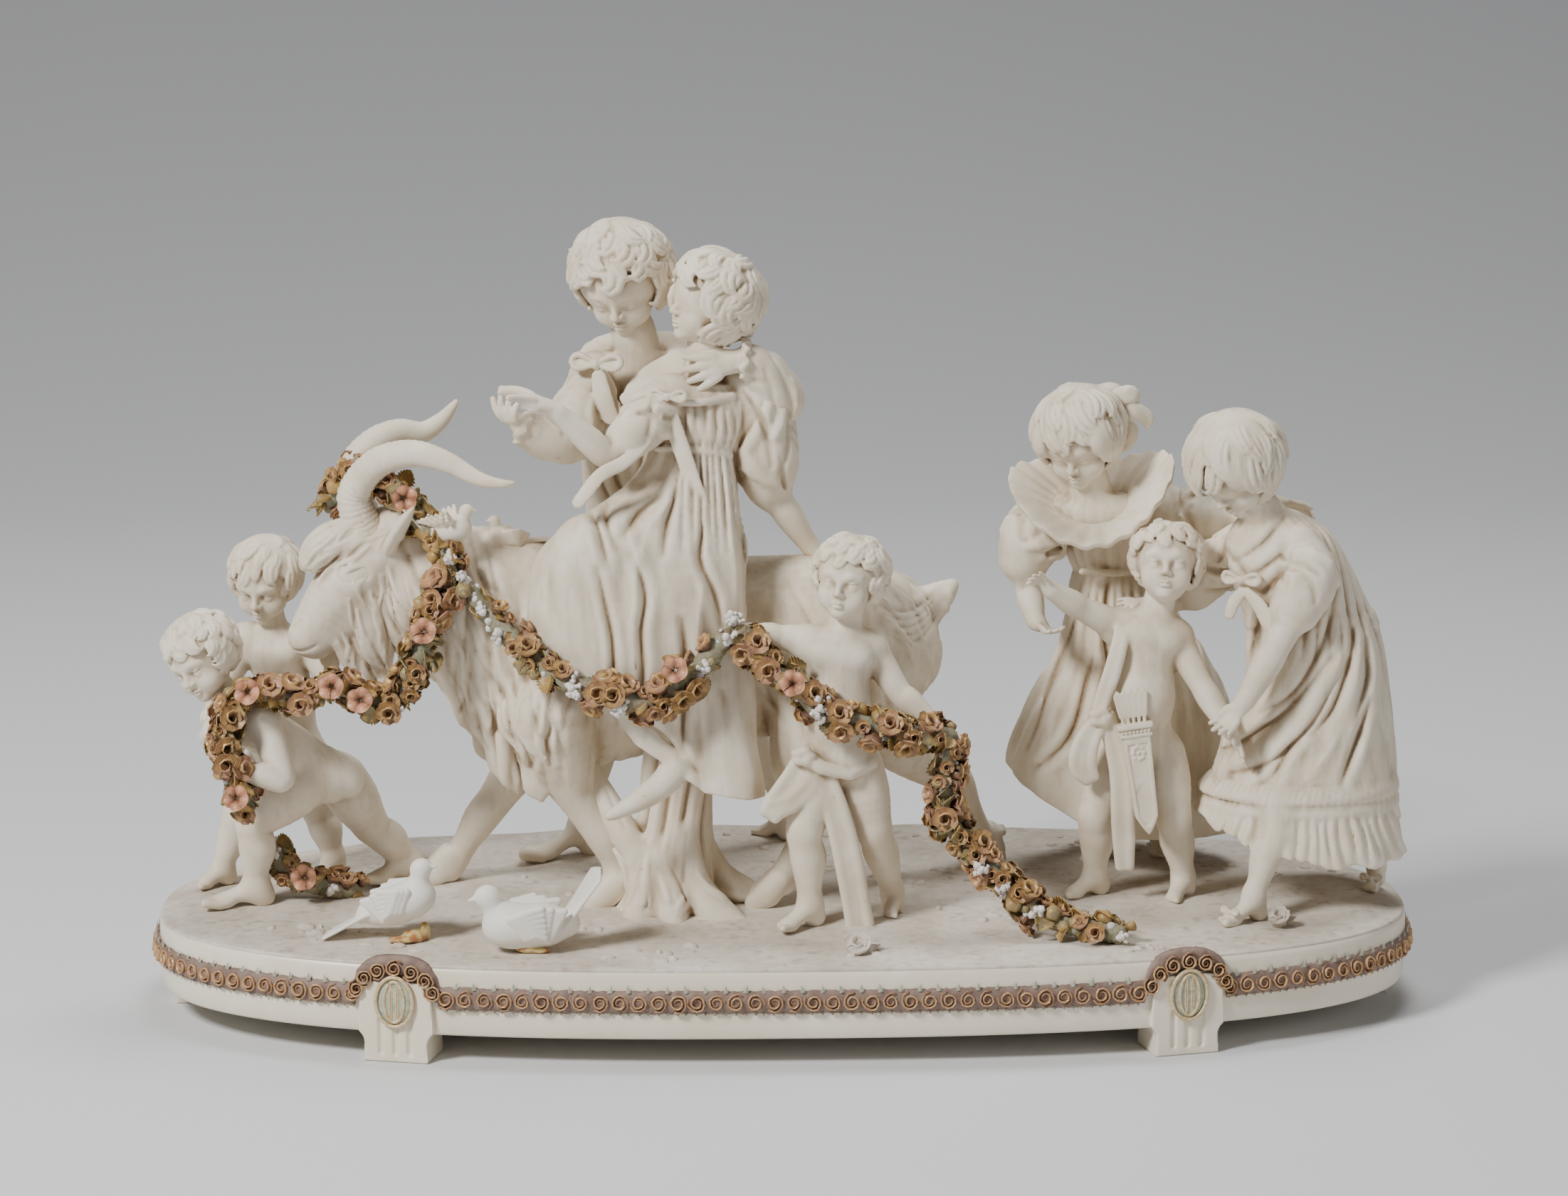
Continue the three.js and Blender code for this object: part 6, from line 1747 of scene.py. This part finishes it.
def flounced(x, y):
    """Lower edge of the skirt, higher at the front left, where it flies up."""
    return (np.interp(x, (198, 214, 240, 270, 306), (104, 91, 83, 75, 74))
        + 1.6 * np.sin(x / 3.4) * np.cos(y / 7)).astype(np.float32)


bender.drape(
    [
        (243, -13, 249, 13, 13),
        (247, -13, 240, 24, 22),
        (250, -13, 228, 29, 27),
        (256, -12, 212, 31, 29),
        (262, -12, 198, 32, 26),
        (264, -12, 192, 33, 24),
    ],
    folds(17, 0.12, 51, lean=1.2, top=0.6),
    wall=99,
)
bender.drape(
    [
        (264, -12, 198, 32, 24),
        (266, -12, 180, 35, 26),
        (267, -11, 156, 38, 28),
        (265, -10, 134, 43, 32),
        (262, -10, 112, 47, 38),
        (260, -10, 102, 49, 40),
    ],
    folds(11, 0.06, 53, lean=-1.0, top=0.25),
    wall=99,
)
creased(
    bender,
    [
        [(272, 202), (265, 182), (253, 161), (238, 150)],
        [(271, 180), (251, 153), (227, 132), (210, 118)],
        [(283, 196), (280, 175), (272, 153), (262, 140)],
        [(278, 176), (262, 147), (242, 127), (223, 118)],
        [(237, 206), (236, 189), (232, 168)],
        [(246, 202), (244, 187), (238, 168)],
        [(292, 157), (284, 135), (276, 116)],
        [(288, 186), (290, 168), (284, 148)],
        [(252, 136), (244, 122), (236, 114)],
    ],
    2.8,
    1.5,
)
creased(bender, [[(258, 190), (248, 168), (234, 150), (222, 138)], [(268, 160), (254, 140), (238, 124)],
    [(280, 150), (268, 130), (258, 118)]], -1.6, 2.6)
creased(bender, [[(x, 203), (x + 0.2 * (x - 266), 192), (x + 0.4 * (x - 266), 178)]
    for x in (244, 249, 254, 259, 264, 269, 274, 279, 284, 289)], 1.0, 0.8)
creased(bender, [[(250 + x * 0.5, 198), (262 + x * 0.8, 160), (262 + x, 116)]
    for x in (-38, -24, -8, 8, 24, 38)], 2.6, 1.8, back=True)
# The flounce: a ring of cloth gathered under two narrow frills.
bender.drape([(261, -10, 108, 46, 37), (260, -10, 100, 50, 40), (258, -10, 88, 54, 43),
    (256, -11, 66, 60, 47)], folds(15, 0.06, 57, lean=-0.6, top=0.1), flounced, wall=3, under=40)
creased(bender, [[(x, 101), (x + 0.12 * (x - 260) + 1.5 * math.sin(x), 91), (x + 0.3 * (x - 260), 76)]
    for x in range(204, 314, 5)], 1.3, 0.9)
creased(bender, [[(x, 101), (x + 0.2 * (x - 260), 78)] for x in range(206, 312, 8)], 1.4, 1.1, back=True)
for low in (107, 100):
    bender.drape([(262, -10, low + 8, 46.5, 37.5), (261, -10, low + 4, 49.5, 40),
        (260, -10, low + 1, 50.5, 41), (260, -10, low - 1, 50, 40)], folds(84, 0.028, low, top=0.9),
        wall=99, blend=1.0)
creased(bender, [[(262, 242), (246, 232), (229, 218)], [(266, 235), (251, 225), (236, 212)],
    [(251, 252), (238, 238), (223, 225)], [(208, 244), (217, 233), (231, 218)],
    [(272, 228), (262, 214), (250, 203)]], 1.8, 1.1)
creased(bender, [[(x, 236), (x + 6, 218), (x + 8, 200)] for x in (238, 250, 262, 274)], 2.0,
    1.4, back=True)
sleeve(bender, [(254, -30, 233, 12), (258, -36, 219, 15.5), (252, -41, 205, 13)], 14, 15, deep=0.14)
arm(bender, (252, -41, 206), (242, -46, 186), (227, -48, 160), (215, -46, 142), 8,
    palm=(-0.8, -0.3, -0.6), curl=0.25)
sleeve(bender, [(230, 6, 228, 12), (218, 12, 216, 14), (208, 12, 206, 12)], 12, 12, deep=0.17)
arm(bender, (208, 12, 206), (200, 12, 200), (184, 5, 198), (170, -3, 203), 7, palm=(-0.3, 0.3, -1),
    curl=0.3, thumb=-1)
bender.roll([(242, -16, 244, 11), (232, -20, 256, 10)], 3)
bow(bender, (226, -34, 218), (-0.6, -1, 0), 8.5, [[(228, -34, 212, 3), (234, -40, 206, 4),
    (238, -43, 198, 4)], [(226, -34, 212, 3), (222, -36, 207, 3.5), (220, -36, 201, 3)]])
leg(bender, (246, -34, 112), (244, -46, 92), (232, -54, 63), (214, -67), 11, ground_at(-60))
leg(bender, (280, 6, 112), (292, 8, 88), (303, 5, 64), (297, -10), 10, ground_at(-2))
for place, way in (((219, -64, 56), (-0.8, -0.6, 0.4)), ((299, -5, 58), (-0.4, -1, 0.3))):
    bow(bender, place, way, 5)
head_f = head((188, -64, 238), (266, 16, 310), Seat((224, -22, 272), (-0.62, -0.45, -0.62),
    (-0.5, -0.2, 1), 22), 37, count=96, thick=0.17, long=1.0, rise=1.1, full=(0.98, 1.04, 1.0), low=-0.75,
    curl=0.5, part=0.4, temples=True)
fired("bending_girl", [bender, head_f], bisque)

# ---------------------------------------------------------------------------------------------------
# Garland that ties the group together. On a rope of stained clay sit swirled roses, open five-petalled
# blossoms, buds and toothed leaves, all shaped by hand and painted. White patches are bare filling
# where flowers have broken off.
OVER_HORNS = [(-228, 0, 249), (-222, -3, 260), (-213, -4, 272), (-200, -8, 266), (-189, -18, 259),
    (-180, -26, 248), (-169, -29, 236), (-166, -32, 222), (-174, -34, 210), (-178, -36, 196),
    (-181, -38, 183), (-186, -37, 170), (-194, -34, 158), (-209, -33, 161), (-224, -33, 167),
    (-240, -33, 162), (-264, -35, 165), (-275, -40, 154), (-278, -42, 138), (-270, -42, 116),
    (-267, -40, 104)]
ACROSS_LAP = [(-162, -34, 220), (-151, -37, 208), (-140, -42, 198), (-125, -53, 184), (-108, -62, 175),
    (-84, -67, 168), (-66, -68, 166), (-54, -67, 172), (-40, -62, 185), (-28, -57, 199)]
TO_THE_GROUND = [(-27, -57, 200), (-18, -60, 192), (-8, -64, 180), (4, -68, 173), (18, -72, 159),
    (32, -73, 156), (48, -72, 151), (66, -68, 147), (79, -64, 145), (77, -66, 130), (76, -67, 112),
    (84, -69, 97), (98, -72, 83), (113, -77, 67), (128, -82, 59), (142, -87, 54.5), (154, -91, 54),
    (165, -94, 52)]
CLUSTER = [(-263, 0, 82), (-256, -4, 72), (-242, -6, 62), (-226, -2, 56), (-214, 4, 54)]


def rope(route, radius, rng):
    """A lumpy closed rope along a route, and the places and ways along it."""
    sides = 10
    line = curve([(*point, radius) for point in route], 8)
    ways = np.gradient(line[:, :3], axis=0)
    ways /= np.linalg.norm(ways, axis=1)[:, None]
    turn = np.linspace(0, 2 * math.pi, sides, endpoint=False)
    rings = []
    for k, (x, y, z, size) in enumerate(line):
        side = unit(np.cross(ways[k], (0, 1, 0.1)))
        front = np.cross(ways[k], side)
        end = min(1, (k + 0.2) / 3, (len(line) - 0.8 - k) / 3)
        swell = size * end**0.5 * (1 + rng.uniform(-0.16, 0.16, sides))
        rings.append(np.array((x, y, z)) + (np.cos(turn) * swell)[:, None] * side
            + (np.sin(turn) * swell)[:, None] * front)
    return stacked(rings), line[:, :3], ways


def sheet(grid, thick):
    """A closed thin sheet from rows of points, thick millimetres through."""
    grid = np.asarray(grid, float)
    rows, columns = grid.shape[:2]
    across, along = np.gradient(grid, axis=0), np.gradient(grid, axis=1)
    out = np.cross(across, along)
    out /= np.linalg.norm(out, axis=2)[..., None] + 1e-9
    points = np.concatenate([(grid + out * thick / 2).reshape(-1, 3),
        (grid - out * thick / 2).reshape(-1, 3)])
    number = np.arange(rows * columns).reshape(rows, columns)
    a, b, c, d = number[:-1, :-1], number[1:, :-1], number[1:, 1:], number[:-1, 1:]
    top = np.stack([a, b, c, d], -1).reshape(-1, 4)
    under = top[:, ::-1] + rows * columns
    rim = np.concatenate([number[0, :], number[1:, -1], number[-1, -2::-1], number[-2:0:-1, 0]])
    after = np.roll(rim, -1)
    edge = np.stack([after, rim, rim + rows * columns, after + rows * columns], 1)
    return points, np.concatenate([top, under, edge])


def petals(count, reach, cup, start=0.0, grain=7, spread=0.66):
    """Rounded petals round a middle, from flat at cup 0 to upright at cup 1."""
    parts = []
    for k in range(count):
        grid = []
        for s in np.linspace(0, 1, grain):
            row = []
            for t in np.linspace(-1, 1, grain):
                far = reach * (0.14 + (0.9 - 0.5 * cup) * s**(1 + cup) * (1 - 0.16 * t * t))
                angle = start + k * 2 * math.pi / count + t * spread * 5 / count * (0.6 + 0.4 * s)
                lift = reach * (0.1 + (0.62 + 0.5 * cup) * s**0.7 - 0.3 * s**4
                    + 0.09 * s * math.cos(3 * t) + 0.04 * k)
                row.append((far * math.cos(angle), far * math.sin(angle), lift * (1 - 0.12 * t * t)))
            grid.append(row)
        parts.append(sheet(grid, 0.1))
    return joined(parts)


def toothed_leaf(long, half):
    """A leaf with seven teeth a side, folded along its rib and bent down at the tip."""
    grid = []
    for s in np.linspace(0, 1, 15):
        width = half * (math.sin(math.pi * s**0.75) ** 0.8
            * (1 + 0.16 * math.cos(s * 14 * math.pi)) + 0.03)
        grid.append([(s * long, t * width, 0.28 * abs(t) * width + 0.18 * long * math.sin(2.6 * s))
            for t in (-1, 0, 1)])
    return sheet(grid, 0.09)


def bud(radius):
    """A half-open bud, with overlapping sepals."""
    rings = []
    for share in np.linspace(0, 1, 6):
        turn = np.linspace(0, 2 * math.pi, 10, endpoint=False)
        far = radius * (0.25 + 0.85 * math.sin(math.pi * share**0.8) ** 0.8) * (1
            + 0.12 * np.cos(5 * turn + 2 * share))
        rings.append(np.column_stack([far * np.cos(turn), far * np.sin(turn),
            np.full(10, radius * 1.9 * share)]))
    return stacked(rings)


def tuft(radius, rng):
    """A lump of bare filling."""
    turn = np.linspace(0, 2 * math.pi, 6, endpoint=False)
    rings = []
    for a in np.linspace(-1.4, 1.45, 5):
        far = radius * math.cos(a) * rng.uniform(0.7, 1.25, 6)
        rings.append(np.column_stack([far * np.cos(turn), far * np.sin(turn),
            radius * (math.sin(a) + rng.uniform(-0.1, 0.1, 6))]))
    return stacked(rings)


def moss(wire):
    patchy, fine = wire.noise(8), wire.noise(2)
    colour = patchy.band(0.35, 0.65).tint((0.24, 0.185, 0.11), (0.22, 0.235, 0.145))
    return {"Base Color": fine.band(0.5, 0.8).tint(colour, (0.42, 0.34, 0.23)),
        "Normal": bumps(fine, 0.4, 0.8)}


def aged_rose_with_shade(wire):
    rim = wire.mark("rim")
    worn, tone = wire.noise(3), wire.noise(26, 1)
    base = tone.band(0.4, 0.6).tint((0.29, 0.16, 0.07), (0.42, 0.225, 0.14))
    shine = (rim * worn).band(0.3, 0.6)
    # Painted shade: near black low in each rose, between its petals. The gilt high on the rims is partly a
    # painted highlight.
    return {"Base Color": rim.band(0.02, 0.8).tint((0.09, 0.042, 0.02),
        shine.tint(base, (0.62, 0.39, 0.14))), "Metallic": 0.3 * shine}


def peach(wire):
    rim = wire.mark("rim")
    worn = wire.noise(3)
    petal = worn.band(0.3, 0.7).tint((0.56, 0.22, 0.105), (0.70, 0.37, 0.22))
    # Painted shade: near black low in each blossom, at its middle and under its petals, with peach only
    # higher up.
    return {"Base Color": rim.band(0.35, 0.95).tint((0.12, 0.045, 0.025), petal),
        "Normal": bumps(wire.noise(1.2), 0.2, 0.6)}


def ochre(wire):
    rim = wire.mark("rim")
    worn, tone = wire.noise(2.5), wire.noise(22, 1)
    base = tone.band(0.42, 0.58).tint((0.42, 0.25, 0.075), (0.24, 0.195, 0.10))
    shine = worn.band(0.5, 0.68)
    # Painted shade: each leaf and bud is darker where it lies low, at its base and along the folded rib of a
    # leaf.
    return {"Base Color": (rim * 0.5 + 0.5).tint((0.16, 0.10, 0.04),
        shine.tint(base, (0.62, 0.42, 0.14))), "Metallic": 0.3 * shine,
        "Normal": bumps(wire.noise(1.2), 0.25, 0.7)}


def filling(wire):
    return {"Base Color": wire.noise(2).band(0.3, 0.6).tint((0.62, 0.53, 0.47), (0.84, 0.81, 0.78)),
        "Normal": bumps(wire.noise(0.9), 0.4, 1.0)}


rng = np.random.default_rng(99)
closed = joined([petals(5, 1.05, 0.5, grain=4, spread=0.8), swirl(0.62, 1.0, 1.8, 14, 0.2)])
blossom, leafy, budding = petals(5, 1, 0.3), toothed_leaf(1, 0.5), bud(1)
ropes, roses, blossoms, leaves, buds, patches = [], [], [], [], [], []
OPEN = [(-189, -24, 260), (-178, -43, 196), (-224, -40, 168), (-210, -40, 161), (-265, -42, 166),
    (-271, -48, 114), (-55, -73, 182), (2, -74, 175), (-241, -14, 65)]
BARE = [(-150, -42, 207, 5), (-142, -49, 196, 7), (-106, -68, 172, 9), (-84, -74, 163, 6),
    (-42, -68, 182, 6), (-30, -62, 196, 9), (-26, -58, 204, 7), (14, -79, 163, 8), (-166, -38, 232, 5),
    (-160, -38, 222, 6), (-192, -41, 158, 4), (94, -79, 84, 7), (104, -80, 72, 6), (121, -87, 63, 5),
    (163, -98, 53, 4), (-228, -9, 58, 5)]
NEAR_GROUND, FLOWER_STEP, BLOSSOM_ROOM = 62, 0.77, 9
for route, radius, back in ((OVER_HORNS, 4.6, 2), (ACROSS_LAP, 5.4, 0.3), (TO_THE_GROUND, 5.0, 2),
        (CLUSTER, 5.2, 2)):
    made, line, ways = rope(route, radius, rng)
    ropes.append(made)
    gone = np.concatenate([[0], np.cumsum(np.linalg.norm(np.diff(line, axis=0), axis=1))])
    turn = rng.uniform(0, 6.28)
    for along in np.arange(1, gone[-1] - 1, FLOWER_STEP):
        k = int(np.searchsorted(gone, along))
        at, way = line[k], ways[k]
        turn += 2.4 + rng.uniform(-0.4, 0.4)
        side = unit(np.cross(way, (0, 1, 0.1)))
        out = side * math.cos(turn) + np.cross(way, side) * math.sin(turn)
        if at[2] < NEAR_GROUND and out[2] < -0.3 or out[1] > back:
            continue
        place = at + out * radius * 0.62
        crowded = min(np.linalg.norm(place + out * 3 - spot) for spot in OPEN) < BLOSSOM_ROOM
        if crowded or any(np.linalg.norm(place - spot[:3]) < spot[3] for spot in BARE):
            continue
        kind, size = rng.uniform(), rng.choice((0.8, 0.95, 1.1, 1.4))
        if kind < 0.4:
            roses.append(bloom(closed, place, unit(out + rng.uniform(-0.25, 0.25, 3)), turn, 5.9 * size))
        elif kind < 0.52:
            buds.append(bloom(budding, place, unit(out + rng.uniform(-0.4, 0.4, 3)), turn, 2.8 * size))
        elif kind < 0.62:
            patches.append(set_down(tuft(rng.uniform(1.4, 2.4), rng), place + 1.5 * out, out, 0))
        else:
            flat = unit(out + 0.7 * rng.uniform(-1, 1, 3))
            leaves.append(bloom(leafy, place + 0.5 * out, flat, turn, 7.2 * size))
for number, spot in enumerate(OPEN):
    out = unit((-0.15, -1, 0.3) if number else (0.2, -1, 0.1))
    blossoms.append(bloom(blossom, np.array(spot) + out * 0.5, out, number * 1.1, 7.4))
    for k in range(3):
        turn = number + k * 2.1
        way = np.array((math.cos(turn), -0.35, math.sin(turn)))
        leaves.append(bloom(leafy, np.array(spot) + 7.5 * way + (0, 5, 0), way + (0, -0.6, 0), turn, 8))
for x, y, z, size in BARE:
    for _ in range(int(size * 3.2)):
        patches.append(set_down(tuft(rng.uniform(1.0, 2.2), rng),
            np.array((x, y, z)) + rng.normal(0, size * 0.26, 3), (0, -1, 0.2), 0))
placed(piece_of("garland_rope", *joined(ropes), finish("stained_rope", moss, 0.7)))
bronze = finish("bronze_rose_paint", aged_rose_with_shade, 0.45)
rimmed("garland_roses_left", roses[::2], bronze)
rimmed("garland_roses_right", roses[1::2], bronze)
rimmed("garland_blossoms", blossoms, finish("peach_petals", peach, 0.45))
gold_ochre = finish("gold_ochre_leaf", ochre, 0.45)
rimmed("garland_leaves", leaves, gold_ochre)
rimmed("garland_buds", buds, gold_ochre)
placed(piece_of("garland_filling", *joined(patches), finish("bare_filling", filling, 0.8)))
lost = []
for at, size in (((244, -66, 51), 7.2), ((34, -106, 48.5), 8.5)):
    lost.append(bloom(closed, at, (-0.25, -0.5, 0.8), 1.0, size))
    for k in range(3):
        lost.append(bloom(leafy, np.array(at) + (size * 0.5, 2 * k - 2, 0), (0.3 * k - 0.3, 0, 1),
            k * 0.8 - 0.8, size * 0.9))
rimmed("fallen_roses", lost, earth)

# ---------------------------------------------------------------------------------------------------
# Two larger doves on the ground, whiter than the group: each a separate casting, stuck down later
# with glue that has turned yellow and orange-brown at their feet.
def white_biscuit(wire):
    hollow = wire.mark("hollow")
    # Painted shade: darker and browner by the hollow mark, in folds and recesses, with a little cloudy dirt
    # mixed in.
    dirt = (hollow + 0.3 * (wire.noise(9) - 0.5)).band(0.05, 0.6)
    return {"Base Color": (dirt * 0.55).tint((0.84, 0.80, 0.72), (0.55, 0.45, 0.33)),
        "Normal": bumps(wire.noise(1.1), 0.05, 0.5)}


white = finish("white_dove_biscuit", white_biscuit, 0.6)
amber = two_tone(5, (0.66, 0.52, 0.20), (0.42, 0.17, 0.06), 0.42, 0.58)
glue = finish("old_glue", amber, 0.3, Coat_Weight=0.4)
left_dove = Clay((-232, -108, 44), (-156, -46, 100), 0.5)
seat = Seat((-191, -76, 67), (0.93, -0.2, 0.36), size=18.5)
dove(left_dove, seat, 0, -0.15, head_turn=0.02)
fired("left_ground_dove", [left_dove], white, 0.25, "ground_dove_left")
right_dove = Clay((-166, -128, 46), (-88, -66, 116), 0.5)
seat = Seat((-128, -97, 60.5), (-0.96, -0.15, 0.02), size=21.5)
dove(right_dove, seat, 0, 1.5, head_turn=0.0)
fired("right_ground_dove", [right_dove], white, 0.25, "ground_dove_right")
for name, spots, node in (("left_dove_glue", ((-184, -79, 51.5, 6, 4, 3.5), (-190, -82, 50.5, 7, 4, 1.6),
        (-179, -76, 53, 3, 3, 5)), "ground_dove_left"),
        ("right_dove_glue", ((-128, -100, 50.5, 6, 5, 2.2), (-122, -102, 50, 5, 4, 1.6)),
        "ground_dove_right")):
    dab = Clay((spots[0][0] - 24, spots[0][1] - 20, 44), (spots[0][0] + 24, spots[0][1] + 20, 64), 0.5)
    for x, y, z, a, b, c in spots:
        dab.lump((x, y, z), (a, b, c), blend=1.5)
    fired(name, [dab], glue, 0.3, node)
